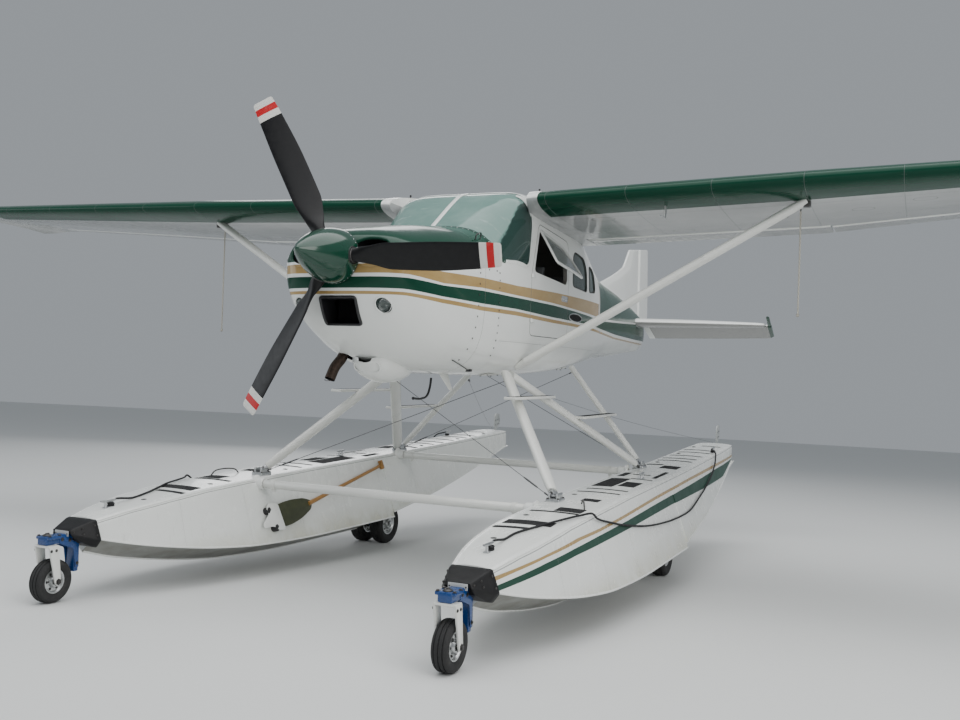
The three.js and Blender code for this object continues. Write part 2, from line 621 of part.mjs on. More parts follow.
for (const [name, side] of [['left', 1], ['right', -1]]) {
  let inner = wingPiece(side, [wing.rootX, flapSpan[1] + 8], 0, hinge.flapAt, 0);
  // a full-depth rib and a root fairing close the wing inboard of the flap
  const fairing = wingPiece(side, [470, flapSpan[0] - run], 0, 1, 0);
  inner = join(inner, biggest(cut(fairing, body(houseRows, -seat), body(tubRows, -seat))));
  const middle = wingPiece(side, [flapSpan[1] + 7.9, aileronSpan[1] + run + 0.1], 0, hinge.aileronAt, 0);
  const outerPanel = wingPiece(side, [aileronSpan[1] + run, wing.endX], 0, 1, 0);
  // drooped tip: the section narrows and bends down
  const endAt = wingAt(wing.endX);
  const tipRows = [[0, 1, 0, 0], [0.5, 0.97, 8, 5], [0.86, 0.87, 40, 16], [1, 0.7, 72, 38]];
  const tip = loft(tipRows.map(([share, size, drop, aft]) => {
    const x = lerp(wing.endX - 0.1, wing.tipX, share);
    const at = { ...endAt, y: endAt.y + aft * 3, z: endAt.z + wing.dihedral * (x - wing.endX) - drop, chord: endAt.chord * size };
    const thin = lerp(0.12, 0.05, share * share);
    return foilOutline(0, 1, 0.02, thin).map((p) => foilPoint(side, x, at, p));
  }), ['y', 'z']);
  let wingSolid = join(inner, middle, outerPanel, tip);
  let flap = wingPiece(side, flapSpan, hinge.flapAt, 1, run);
  let aileron = wingPiece(side, [aileronSpan[0], 3800, aileronSpan[1]], hinge.aileronAt, 1, run);
  const flapA = noseCentre(side, flapSpan[0], hinge.flapAt, run);
  const flapB = noseCentre(side, flapSpan[1], hinge.flapAt, run);
  const ailA = noseCentre(side, aileronSpan[0], hinge.aileronAt, run);
  const ailB = noseCentre(side, aileronSpan[1], hinge.aileronAt, run);
  for (const share of [0.12, 0.88]) {
    const f = fitHinge(wingSolid, flap, flapA.clone().lerp(flapB, share), flapB.clone().sub(flapA), 70);
    wingSolid = f.fixed;
    flap = f.moving;
    const g = fitHinge(wingSolid, aileron, ailA.clone().lerp(ailB, share), ailB.clone().sub(ailA), 56);
    wingSolid = g.fixed;
    aileron = g.moving;
  }
  wings[name] = wingSolid;
  addNode(`wing_${name}`, wingSolid, 'white');
  addNode(`flap_${name}`, flap, 'white');
  addNode(`aileron_${name}`, aileron, 'white');
}

// Tail: cone, fin with its long fillet, rudder, stabilizer and elevator
const tail = { hingeY: 5720, z: -55, rudderHingeY: 5862, elevatorDroop: 24 };
const stabRows = [[0, 5060, 108], [250, 5092, 106], [1480, 5420, 62], [1590, 5490, 48]];
const elevatorRows = [[118, 372, 0.05], [1480, 318, 0.05], [1640, 300, 0.05]];

function thinFoil(x, noseY, tailY, z, thick, squareTail) {
  const shares = [0, 0.04, 0.14, 0.34, 0.62, 1];
  const half = (s) => (thick / 2) * (s === 0 ? 0 : Math.min(1, Math.sqrt(s / 0.34)));
  const upper = shares.map((s) => vec(x, lerp(noseY, tailY, s), z + half(s)));
  const lower = shares.slice(1).reverse().map((s) => vec(x, lerp(noseY, tailY, s), z - half(s)));
  return squareTail ? [...upper, ...lower] : upper.concat(lower);
}

function roundNoseBlade(x, noseCentreY, z, r, tailY, tilt) {
  const pts = [];
  for (let k = 0; k <= 6; k += 1) {
    const t = Math.PI * (0.5 + k / 6);
    pts.push([r * Math.cos(t), r * Math.sin(t)]);
  }
  const len = tailY - noseCentreY;
  pts.push([len * 0.5, -r * 0.62], [len, -2.5], [len, 2.5], [len * 0.5, r * 0.62]);
  const c = Math.cos(tilt);
  const s = Math.sin(tilt);
  return pts.map(([a, h]) => vec(x, noseCentreY + a * c + h * s, z - a * s + h * c));
}

function stabilizer() {
  const right = stabRows.slice(1).reverse().map(([x, noseY, thick]) => thinFoil(-x, noseY, tail.hingeY - 36, tail.z, thick, true));
  const rings = [...right, ...stabRows.map(([x, noseY, thick]) => thinFoil(x, noseY, tail.hingeY - 36, tail.z, thick, true))];
  return loft(rings, ['y', 'z']);
}

let stab = stabilizer();
const droop = rad(tail.elevatorDroop);
let elevatorSolid = bar(vec(-170, tail.hingeY, tail.z), vec(170, tail.hingeY, tail.z), 17, 17, 12);
for (const side of [1, -1]) {
  const blade = loft(elevatorRows.map(([x, len]) => roundNoseBlade(side * x, tail.hingeY, tail.z, 27 - x * 0.006,
    tail.hingeY + len, droop)), ['y', 'z']);
  // horn balance ahead of the hinge at the tip
  const horn = loft([1606, 1650].map((x) => {
    const pts = [[-250, 0], [-200, 16], [-60, 24], [40, 24], [40, -24], [-60, -24], [-200, -16]];
    return pts.map(([a, h]) => vec(side * x, tail.hingeY + a * Math.cos(droop) + h * Math.sin(droop),
      tail.z - a * Math.sin(droop) + h * Math.cos(droop)));
  }), ['y', 'z']);
  elevatorSolid = join(elevatorSolid, blade, horn);
  for (const x of [420, 1300]) {
    const f = fitHinge(stab, elevatorSolid, vec(side * x, tail.hingeY, tail.z), vec(1, 0, 0), 50);
    stab = f.fixed;
    elevatorSolid = f.moving;
  }
}

const finTop = { leY: 5400, leZ: 830, teY: 6270, teZ: 935 };
function finPlate(outline, thickRoot, thickTip) {
  // thickness falls from the root to the top; each outline point keeps its own share
  const zs = outline.map((p) => p[1]);
  const low = Math.min(...zs);
  const high = Math.max(...zs);
  const half = ([y, z, edge]) => (edge ? 4 : lerp(thickRoot, thickTip, (z - low) / (high - low)) / 2);
  return loft([outline.map((p) => vec(-half(p), p[0], p[1])), outline.map((p) => vec(half(p), p[0], p[1]))], ['y', 'z']);
}

const rudderZ = [72, 0];
function topAt(y) {
  return lerp(finTop.leZ, finTop.teZ, (y - finTop.leY) / (finTop.teY - finTop.leY));
}
const finAft = tail.rudderHingeY - 34;
let fin = finPlate([
  [3980, 262, 1], [4420, 372, 1], [5020, 545, 1], [5180, 606, 1], [5270, 690, 1], [finTop.leY, finTop.leZ, 1],
  [finTop.leY + 60, topAt(finTop.leY + 60), 0], [finAft, topAt(finAft), 0], [finAft, 20, 0], [5300, 60, 0], [4400, 180, 0],
], 92, 46);
let rudder = loft([[rudderZ[0], 24, 462], [460, 22, 440], [topAt(finAft + 60) - 4, 19, 400]].map(([z, r, len]) => {
  const pts = [];
  for (let k = 0; k <= 6; k += 1) {
    const t = Math.PI * (0.5 + k / 6);
    pts.push([r * Math.cos(t), r * Math.sin(t)]);
  }
  pts.push([len * 0.5, -r * 0.62], [len, -2.5], [len, 2.5], [len * 0.5, r * 0.62]);
  const lift = (a) => (z > 800 ? (finTop.teZ - finTop.leZ) / (finTop.teY - finTop.leY) * a : 0);
  return pts.map(([a, h]) => vec(h, tail.rudderHingeY + a, z + lift(a)));
}), ['x', 'y']);
for (const z of [200, 700]) {
  const f = fitHinge(fin, rudder, vec(0, tail.rudderHingeY, z), vec(0, 0, 1), 50);
  fin = f.fixed;
  rudder = f.moving;
}

let cone = cut(body(tailRows), body(tailRows, 16, -2, -60));
cone = join(cone, body(tailRows).intersect(box(-600, 600, 2700, 2770, -900, 900)));
const stabRoom = loft([...stabRows.slice(0, 2).reverse().map(([x, noseY, thick]) => thinFoil(-x - 4, noseY - seat - 1,
  tail.hingeY - 30, tail.z, thick + 2 * seat + 1, true)), ...stabRows.slice(0, 2).map(([x, noseY, thick]) => thinFoil(x + 4,
  noseY - seat - 1, tail.hingeY - 30, tail.z, thick + 2 * seat + 1, true))], ['y', 'z']);
cone = cut(cone, stabRoom, box(-400, 400, tail.hingeY - 60, tail.hingeY + 34, tail.z - 34, tail.z + 34));
cone = biggest(cone);
fin = cut(fin, body(tailRows, -seat), box(-400, 400, 5000, 5800, -300, 40));
fin = biggest(fin);
addNode('tail_cone', cone, 'white');
addNode('fin', fin, 'white');
addNode('rudder', rudder, 'white');
addNode('stabilizer', stab, 'white');
addNode('elevator', elevatorSolid, 'white');

// Float hulls. Columns: y, deck height, half deck, half chine, chine height, keel height
const hullRows = [
  [-1700, -1626, 112, 132, -1738, -1826],
  [-1480, -1586, 160, 200, -1792, -1890],
  [-1200, -1552, 198, 270, -1846, -1950],
  [-850, -1520, 214, 328, -1898, -2012],
  [-400, -1500, 218, 366, -1940, -2066],
  [400, -1474, 214, 384, -1966, -2104],
  [1449, -1452, 210, 384, -1972, -2112],
];
const afterRows = [
  [1448, -1452, 210, 382, -1930, -2030],
  [2300, -1432, 204, 346, -1842, -1936],
  [3300, -1404, 196, 272, -1712, -1790],
  [4150, -1376, 184, 200, -1580, -1640],
  [4400, -1368, 174, 178, -1536, -1588],
];

function hullRing([y, deck, halfDeck, halfChine, chineZ, keelZ], fx) {
  const r = 34;
  const right = [
    [halfDeck - r - 8, deck], [halfDeck - 6, deck - 12], [halfDeck + 2, deck - 40],
    [lerp(halfDeck, halfChine, 0.5), lerp(deck, chineZ, 0.5)], [halfChine, chineZ],
  ];
  return [[0, deck + 6], ...right, [0, keelZ], ...right.slice().reverse().map(([x, z]) => [-x, z])]
    .map(([x, z]) => vec(fx + x, y, z));
}

function deckZ(y) {
  const rows = [...hullRows, ...afterRows];
  for (let k = 0; k + 1 < rows.length; k += 1) {
    if (y >= rows[k][0] && y <= rows[k + 1][0]) {
      return lerp(rows[k][1], rows[k + 1][1], (y - rows[k][0]) / (rows[k + 1][0] - rows[k][0]));
    }
  }
  return y < hullRows[0][0] ? hullRows[0][1] : afterRows[afterRows.length - 1][1];
}

const well = { y0: 1500, y1: 2090, half: 205, topZ: -1700 };
const strutFeet = {
  front: vec(1150, -144, deckZ(-144) + 6), rear: vec(1140, 1928, deckZ(1928) + 6),
};
const bodyFittings = { front: vec(500, 560, -712), frontAft: vec(505, 660, -706), rear: vec(468, 2118, -640) };

function cleat(x, y, z) {
  return join(box(x - 14, x + 14, y - 34, y + 34, z - 6, z + 8), bar(vec(x, y - 22, z), vec(x, y - 22, z + 40), 8, 8, 6),
    bar(vec(x, y + 22, z), vec(x, y + 22, z + 40), 8, 8, 6), bar(vec(x, y - 62, z + 38), vec(x, y + 62, z + 38), 9, 9, 6));
}

function footBlock(p, lean) {
  return box(p.x - 46, p.x + 46, p.y - 60 + lean, p.y + 60 + lean, p.z - 14, p.z + 22);
}

const mainAxle = { y: mainGear.y, z: 0 };
// ground line through the nose tyre's foot, level once the airframe is tipped
function groundZ(y) {
  const c = Math.cos(rad(stanceDeg));
  const s = Math.sin(rad(stanceDeg));
  const level = noseGear.y * s + noseGear.z * c - noseGear.tyreR;
  return (level - y * s) / c;
}
mainAxle.z = groundZ(mainGear.y) + mainGear.tyreR / Math.cos(rad(stanceDeg));

const toward = (a, b, d) => b.clone().add(b.clone().sub(a).normalize().multiplyScalar(d));
const fuselage = body(tubRows, -seat);

// A faired strut run on past both ends, so that what it meets can trim it.
function strutBetween(a, b, chord, thick, past = 60) {
  return fairedBar(toward(b, a, past), toward(a, b, past), chord, thick);
}

// Wing struts
const wingStrut = { top: vec(2516, 970, 575), foot: vec(470, 758, -646), chord: 122, thick: 54 };
for (const [name, side] of [['left', 1], ['right', -1]]) {
  const top = vec(side * wingStrut.top.x, wingStrut.top.y, wingStrut.top.z);
  const foot = vec(side * wingStrut.foot.x, wingStrut.foot.y, wingStrut.foot.z);
  const strut = strutBetween(foot, top, wingStrut.chord, wingStrut.thick, 90);
  const lowered = placed(wings[name], new THREE.Matrix4().makeTranslation(0, 0, -seat));
  const trimmed = biggest(cut(strut, fuselage, wings[name], lowered));
  const ring = box(side * 2466, side * 2486, 972, 988, 505, 540);
  addNode(`wing_strut_${name}`, join(trimmed, ring), 'white');
}

// Struts between the hulls and the fuselage, with their boarding steps
const strutSize = { front: [118, 52], diagonal: [104, 46], rear: [92, 42] };
const step = { width: 88, thick: 18, past: 46 };
const spreader = { frontY: -290, frontZ: -1533, rearY: 1787, rearZ: -1463, r: 30, collarR: 42, endX: 1010 };
const sternPost = { y: 4432, earZ: [-1500, -1416], earT: 10, pinR: 6, barrelR: 13, liftY: 4500, liftZ: -1395 };

function treadBetween(p, q) {
  const mid = p.clone().add(q).multiplyScalar(0.5);
  return box(mid.x - step.width / 2, mid.x + step.width / 2, Math.min(p.y, q.y) - step.past,
    Math.max(p.y, q.y) + step.past, mid.z - step.thick / 2, mid.z + step.thick / 2);
}

// Half width of a hull at a station and height.
function hullHalf(y, z) {
  const rows = [...hullRows, ...afterRows];
  const k = Math.max(0, rows.findIndex((row, i) => i + 1 < rows.length && y <= rows[i + 1][0]));
  const t = (y - rows[k][0]) / (rows[k + 1][0] - rows[k][0]);
  const row = rows[k].map((v, i) => lerp(v, rows[k + 1][i], t));
  const down = Math.min(1, Math.max(0, (row[1] - z) / (row[1] - row[4])));
  return lerp(row[2], row[3], down);
}

for (const [name, side] of [['left', 1], ['right', -1]]) {
  const fx = side * floats.x;
  const at = (p) => vec(side * p.x, p.y, p.z);
  let hull = join(loft(hullRows.map((row) => hullRing(row, fx)), ['x', 'z']),
    loft(afterRows.map((row) => hullRing(row, fx)), ['x', 'z']));
  hull = cut(hull, box(fx - well.half, fx + well.half, well.y0, well.y1, -2300, well.topZ));
  const cleats = [[-1500, 0], [1240, 60], [3540, 150]];
  for (const [y, off] of cleats) hull = join(hull, cleat(fx + side * off, y, deckZ(y) + 4));
  hull = join(hull, footBlock(at(strutFeet.front), 0), footBlock(at(strutFeet.rear), 0));
  for (const [y, z] of [[spreader.frontY, spreader.frontZ], [spreader.rearY, spreader.rearZ]]) {
    hull = join(hull, bar(vec(side * spreader.endX, y, z), vec(side * (spreader.endX + 72), y, z), spreader.collarR,
      spreader.collarR, 14));
  }
  // two ears and the pin that the water rudder's post turns on
  const [earLow, earHigh] = sternPost.earZ;
  for (const z of sternPost.earZ) hull = join(hull, box(fx - 18, fx + 18, 4390, sternPost.y + 14, z, z + sternPost.earT));
  hull = join(hull, bar(vec(fx, sternPost.y, earLow + 1), vec(fx, sternPost.y, earHigh + 9), sternPost.pinR, sternPost.pinR, 12));
  addNode(`hull_${name}`, hull, 'white');

  const lift = 22 + seat;
  const frontFoot = at(strutFeet.front).add(vec(0, 0, lift));
  const diagFoot = at(strutFeet.rear).add(vec(0, -34, lift));
  const rearFoot = at(strutFeet.rear).add(vec(0, 34, lift));
  const frontTop = at(bodyFittings.front);
  const diagTop = at(bodyFittings.frontAft);
  const rearTop = at(bodyFittings.rear);
  const under = (foot) => box(-2000, 2000, foot.y - 600, foot.y + 600, -2300, foot.z);
  const trim = (solid, foot) => biggest(cut(solid, fuselage, under(foot)));
  const frontStrut = trim(strutBetween(frontFoot, frontTop, ...strutSize.front, 150), frontFoot);
  const diagonal = trim(strutBetween(diagFoot, diagTop, ...strutSize.diagonal, 150), diagFoot);
  const rearStrut = trim(strutBetween(rearFoot, rearTop, ...strutSize.rear, 150), rearFoot);
  const diagonalRoom = strutBetween(diagFoot, diagTop, strutSize.diagonal[0] + 1, strutSize.diagonal[1] + 1, 150);
  const frontTread = treadBetween(frontTop.clone().lerp(frontFoot, 0.16), diagTop.clone().lerp(diagFoot, 0.17));
  const rearTread = treadBetween(diagTop.clone().lerp(diagFoot, 0.58), rearTop.clone().lerp(rearFoot, 0.5));
  addNode(`front_strut_${name}`, biggest(cut(join(frontStrut, frontTread), diagonalRoom)), 'white');
  addNode(`rear_strut_pair_${name}`, join(diagonal, rearStrut, rearTread), 'white');
}
for (const [name, y, z] of [['front', spreader.frontY, spreader.frontZ], ['rear', spreader.rearY, spreader.rearZ]]) {
  const reach = spreader.endX - seat;
  addNode(`spreader_${name}`, bar(vec(-reach, y, z), vec(reach, y, z), spreader.r, spreader.r, 18), 'white');
}

// Bow bumpers, nose gear, main gear and water rudders
const stem = { r: 14, topZ: -1716 };
const noseBeam = { half: 38, front: -1994, back: hullRows[0][0] - seat, low: -1747.7, high: -1697 };
const bumperRings = [
  [hullRows[0][0] - seat, [[-112, -1627], [112, -1627], [156, -1742], [118, -1792], [-118, -1792], [-156, -1742]]],
  [-1724, [[-108, -1630], [108, -1630], [152, -1742], [114, -1786], [-114, -1786], [-152, -1742]]],
  [-1852, [[-66, -1673], [66, -1673], [78, -1700], [70, -1716], [-70, -1716], [-78, -1700]]],
];
// tyre outline as [width share from the middle, radius share], outer half
const tyreShape = [[0.66, 0.54], [0.98, 0.74], [0.99, 0.87], [0.78, 0.96], [0.34, 1]];

function wheelSolid(x, y, z, radius, width, boreR, hubHalf, sides) {
  const half = tyreShape.map(([w, r]) => [w * width / 2, r * radius]);
  const rimR = 0.5 * radius;
  const hubR = 0.26 * radius;
  const outer = [[hubHalf, boreR], [hubHalf, hubR], [0.34 * width / 2, rimR], ...half];
  const loop = [...outer, ...outer.slice().reverse().map(([a, r]) => [-a, r])];
  return wheelOf([...loop, loop[0]].map(([a, r]) => [a + x, r]), y, z, sides);
}

for (const [name, side] of [['left', 1], ['right', -1]]) {
  const fx = side * floats.x;
  // bumper, open underneath and in front for the nose leg
  let bumper = loft(bumperRings.map(([y, ring]) => ring.map(([x, z]) => vec(fx + x, y, z))), ['x', 'z']);
  bumper = cut(bumper, box(fx - 72, fx + 72, -2000, -1600, -1900, -1690));
  addNode(`bow_bumper_${name}`, bumper, 'black');

  // nose leg: a beam out of the bow that carries the fork's stem, and a leg behind the wheel
  const pivotY = noseGear.y - noseGear.trail;
  let leg = box(fx - noseBeam.half, fx + noseBeam.half, noseBeam.front, noseBeam.back, noseBeam.low, noseBeam.high);
  leg = join(leg, box(fx - 56, fx + 56, -1990, -1900, -1712, noseBeam.high));
  leg = join(leg, box(fx - 32, fx + 32, -1786, -1752, -1930, -1700));
  leg = cut(leg, bar(vec(fx, pivotY, -1760), vec(fx, pivotY, stem.topZ + seat), stem.r + seat, stem.r + seat, 20));
  addNode(`nose_leg_${name}`, leg, 'blue');

  let fork = bar(vec(fx, pivotY, -1750), vec(fx, pivotY, stem.topZ), stem.r, stem.r, 20);
  fork = join(fork, box(fx - 62.5, fx + 62.5, pivotY - 34, pivotY + 34, -1763, -1748));
  for (const end of [1, -1]) {
    const arm = sidePlate([[pivotY - 34, -1750], [pivotY + 34, -1750], [noseGear.y + 20, noseGear.z + 6],
      [noseGear.y + 12, noseGear.z - 20], [noseGear.y - 12, noseGear.z - 20], [noseGear.y - 24, noseGear.z]],
    fx + end * 50, fx + end * 62.5);
    fork = join(fork, arm);
  }
  fork = join(fork, bar(vec(fx - 62, noseGear.y, noseGear.z), vec(fx + 62, noseGear.y, noseGear.z), 10, 10, 16));
  addNode(`nose_fork_${name}`, fork, 'white');
  addNode(`nose_wheel_${name}`, wheelSolid(fx, noseGear.y, noseGear.z, noseGear.tyreR, noseGear.tyreW, 10 + seat, 42, 20), 'rubber');

  // main leg: one post in the well with an axle through both wheels
  const axleAt = (x) => vec(x, mainAxle.y, mainAxle.z);
  let mainLeg = box(fx - 30, fx + 30, mainAxle.y - 55, mainAxle.y + 55, mainAxle.z - 36, well.topZ - seat);
  mainLeg = join(mainLeg, bar(axleAt(fx - 168), axleAt(fx + 168), 14, 14, 16));
  for (const end of [1, -1]) mainLeg = join(mainLeg, bar(axleAt(fx + end * 166), axleAt(fx + end * 176), 26, 26, 16));
  addNode(`main_leg_${name}`, mainLeg, 'alloy');
  const offset = (mainGear.gap + mainGear.tyreW) / 2;
  for (const [which, end] of [['inner', -1], ['outer', 1]]) {
    addNode(`main_wheel_${name}_${which}`, wheelSolid(fx + side * end * offset, mainAxle.y, mainAxle.z, mainGear.tyreR,
      mainGear.tyreW, 14 + seat, 59, 20), 'rubber');
  }

  // water rudder post, turning on the stern's pin, and the blade that folds up over it
  const [earLow, earHigh] = sternPost.earZ;
  const py = sternPost.y;
  let post = bar(vec(fx, py, earLow + sternPost.earT + seat), vec(fx, py, earHigh - seat), sternPost.barrelR, sternPost.barrelR, 16);
  post = join(post, box(fx - 20, fx + 20, py + 6, py + 43, -1483, -1423));
  for (const end of [1, -1]) {
    post = join(post, sidePlate([[py + 38, -1480], [py + 64, -1480], [py + 98, -1410], [py + 92, -1378], [py + 50, -1378],
      [py + 38, -1423]], fx + end * 14, fx + end * 20));
  }
  post = cut(post, bar(vec(fx, py, -1520), vec(fx, py, -1380), sternPost.pinR + seat, sternPost.pinR + seat, 12));
  post = join(post, bar(vec(fx - 19, sternPost.liftY, sternPost.liftZ), vec(fx + 19, sternPost.liftY, sternPost.liftZ), 6, 6, 12));
  addNode(`water_rudder_post_${name}`, post, 'alloy');
  const bladeOutline = [[-14, -16], [14, -16], [16, 30], [60, 62], [112, 98], [100, 215], [-20, 215], [-45, 180], [-45, 40], [-16, 20]];
  let blade = sidePlate(bladeOutline.map(([a, h]) => [sternPost.liftY + a, sternPost.liftZ + h]), fx - 5, fx + 5);
  blade = join(blade, bar(vec(fx - 12, sternPost.liftY, sternPost.liftZ), vec(fx + 12, sternPost.liftY, sternPost.liftZ), 15, 15, 14));
  blade = cut(blade, bar(vec(fx - 30, sternPost.liftY, sternPost.liftZ), vec(fx + 30, sternPost.liftY, sternPost.liftZ), 6 + seat, 6 + seat, 12));
  addNode(`water_rudder_${name}`, blade, 'white');

  // ropes: one hangs from the strut's ring, one runs along the float from cleat to cleat
  const ropeEnd = side > 0 ? -227 : -400;
  addNode(`tie_down_rope_${name}`, cordOf([[side * 2476, 980, 504], [side * 2477, 981, 150], [side * 2478, 980, ropeEnd]], 12),
    'paleRope');
  const out = (y, z, gap) => [fx + side * (hullHalf(y, z) + gap), y, z];
  const onDeck = (y, off) => [fx + side * off, y, deckZ(y) + 15];
  const atCleat = (y, off, lower) => [fx + side * off, y, deckZ(y) + 42 - lower];
  const line = [atCleat(-1437.2, 0, 0), atCleat(-1400, 1, 6), onDeck(-1300, 4), onDeck(-1173, 14), onDeck(-982, 73), onDeck(-857, 117),
    onDeck(-699, 158), onDeck(-600, 190), [fx + side * 232, -520, -1489], out(-440, -1528, 16), out(-197, -1583, 15), out(39, -1627, 14),
    out(454, -1685, 14), out(828, -1717, 14), out(1289, -1738, 14), out(1754, -1732, 14), out(2155, -1684, 14),
    out(2654, -1614, 14), out(3100, -1520, 15), out(3290, -1440, 17), [fx + side * 202, 3372, -1382], atCleat(3440, 153, 4), atCleat(3477.2, 150, 2)];
  addNode(`mooring_line_${name}`, cordOf(line, 14), 'rope');
}

addNode('cabin_shell', cabinShell, 'white');

const group = new THREE.Group();
group.add(airframe);
airframe.rotation.x = rad(stanceDeg);
group.updateMatrixWorld(true);
const bounds = new THREE.Box3().setFromObject(group, true);
airframe.position.set(-(bounds.min.x + bounds.max.x) / 2, -(bounds.min.y + bounds.max.y) / 2, -bounds.min.z);

export default group;
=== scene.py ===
import json
import math

import bmesh
import bpy
import numpy as np
from mathutils import Matrix, Vector
from mathutils.geometry import delaunay_2d_cdt

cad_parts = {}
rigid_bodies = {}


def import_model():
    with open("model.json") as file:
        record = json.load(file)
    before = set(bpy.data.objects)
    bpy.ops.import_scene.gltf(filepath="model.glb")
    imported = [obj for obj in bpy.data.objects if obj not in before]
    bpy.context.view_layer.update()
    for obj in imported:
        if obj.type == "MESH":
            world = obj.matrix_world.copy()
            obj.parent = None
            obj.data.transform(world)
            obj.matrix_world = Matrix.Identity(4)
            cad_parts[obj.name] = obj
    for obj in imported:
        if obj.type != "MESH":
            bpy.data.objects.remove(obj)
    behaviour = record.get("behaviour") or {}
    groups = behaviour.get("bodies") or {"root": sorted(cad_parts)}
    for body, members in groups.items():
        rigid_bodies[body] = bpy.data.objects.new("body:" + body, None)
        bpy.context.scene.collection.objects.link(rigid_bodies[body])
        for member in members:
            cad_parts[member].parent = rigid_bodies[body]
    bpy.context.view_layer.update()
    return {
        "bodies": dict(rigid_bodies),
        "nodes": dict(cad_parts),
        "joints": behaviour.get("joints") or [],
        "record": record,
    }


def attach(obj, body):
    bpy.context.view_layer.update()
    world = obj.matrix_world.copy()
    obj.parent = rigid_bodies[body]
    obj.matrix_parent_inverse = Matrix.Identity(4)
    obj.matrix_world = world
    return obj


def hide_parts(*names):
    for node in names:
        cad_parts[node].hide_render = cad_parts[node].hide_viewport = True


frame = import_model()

# The airframe's axes: x to its left, y aft from the firewall, z up from the thrust line, in metres.
# On its wheels it stands nose down by this angle, and its firewall sits at this place.
stance = {"noseDownDeg": 2.9, "y": -2.1823264656, "z": 2.1820599067}
tiltCos = math.cos(math.radians(stance["noseDownDeg"]))
tiltSin = math.sin(math.radians(stance["noseDownDeg"]))


# ground = airframe turned about x by the stance angle, then shifted
def toGround(p):
    p = np.asarray(p, float)
    return np.stack([p[..., 0], p[..., 1] * tiltCos - p[..., 2] * tiltSin + stance["y"],
                     p[..., 1] * tiltSin + p[..., 2] * tiltCos + stance["z"]], -1)


def turned(v):
    return Vector((v[0], v[1] * tiltCos - v[2] * tiltSin, v[1] * tiltSin + v[2] * tiltCos))


def lerp(a, b, t):
    return a + (b - a) * t


def unit(v):
    v = np.asarray(v, float)
    return v / np.maximum(np.linalg.norm(v, axis=-1, keepdims=True), 1e-12)


def smoothstep(t):
    t = np.clip(t, 0, 1)
    return t * t * (3 - 2 * t)


# Rows of numbers followed smoothly: between two rows a cubic whose slopes are the limited means of
# the neighbouring slopes, so that nothing overshoots.
def follow(rows, at):
    rows = np.asarray(rows, float)
    x, y = rows[:, 0], rows[:, 1:]
    h = np.diff(x)[:, None]
    d = np.diff(y, axis=0) / h
    m = np.zeros_like(y)
    same = d[1:] * d[:-1] > 0
    m[1:-1] = np.where(same, 3 * (h[1:] + h[:-1]) / ((2 * h[1:] + h[:-1]) / np.where(same, d[:-1], 1)
                                                      + (h[1:] + 2 * h[:-1]) / np.where(same, d[1:], 1)), 0)
    m[0], m[-1] = d[0], d[-1]
    at = np.clip(np.asarray(at, float), x[0], x[-1])
    k = np.clip(np.searchsorted(x, at, side="right") - 1, 0, len(x) - 2)
    hk = (x[k + 1] - x[k])[..., None]
    t = (at - x[k])[..., None] / hk
    out = (y[k] * (1 + 2 * t) * (1 - t) ** 2 + m[k] * hk * t * (1 - t) ** 2
           + y[k + 1] * t * t * (3 - 2 * t) + m[k + 1] * hk * t * t * (t - 1))
    return np.moveaxis(out, -1, 0)


# A smooth line through key points: the centripetal curve, sampled evenly by length
def smoothLine(keys, count):
    p = np.asarray(keys, float)
    p = np.vstack([2 * p[0] - p[1], p, 2 * p[-1] - p[-2]])
    knot = np.concatenate([[0],
                           np.cumsum(np.maximum(np.linalg.norm(np.diff(p, axis=0), axis=1), 1e-9) ** 0.5)])
    parts = []
    for i in range(1, len(p) - 2):
        t = np.linspace(knot[i], knot[i + 1], 24, endpoint=False)[:, None]
        a1 = (knot[i] - t) / (knot[i] - knot[i - 1]) * p[i - 1] + (t - knot[i - 1]) / (knot[i]
                                                                                       - knot[i - 1]) * p[i]
        a2 = (knot[i + 1] - t) / (knot[i + 1] - knot[i]) * p[i] + (t - knot[i]) / (knot[i + 1]
                                                                                   - knot[i]) * p[i + 1]
        a3 = (knot[i + 2] - t) / (knot[i + 2] - knot[i + 1]) * p[i + 1] + (t - knot[i + 1]) / (knot[i + 2]
                - knot[i + 1]) * p[i + 2]
        b1 = (knot[i + 1] - t) / (knot[i + 1] - knot[i - 1]) * a1 + (t - knot[i - 1]) / (knot[i + 1]
                                                                                         - knot[i - 1]) * a2
        b2 = (knot[i + 2] - t) / (knot[i + 2] - knot[i]) * a2 + (t - knot[i]) / (knot[i + 2] - knot[i]) * a3
        parts.append((knot[i + 1] - t) / (knot[i + 1] - knot[i]) * b1
                     + (t - knot[i]) / (knot[i + 1] - knot[i]) * b2)
    parts.append(p[-2][None])
    return evenly(np.vstack(parts), count)


def lengthAlong(path):
    return np.concatenate([[0], np.cumsum(np.linalg.norm(np.diff(path, axis=0), axis=1))])


def evenly(path, count):
    s = lengthAlong(path)
    at = np.linspace(0, s[-1], count)
    return np.stack([np.interp(at, s, path[:, k]) for k in range(path.shape[1])], -1)


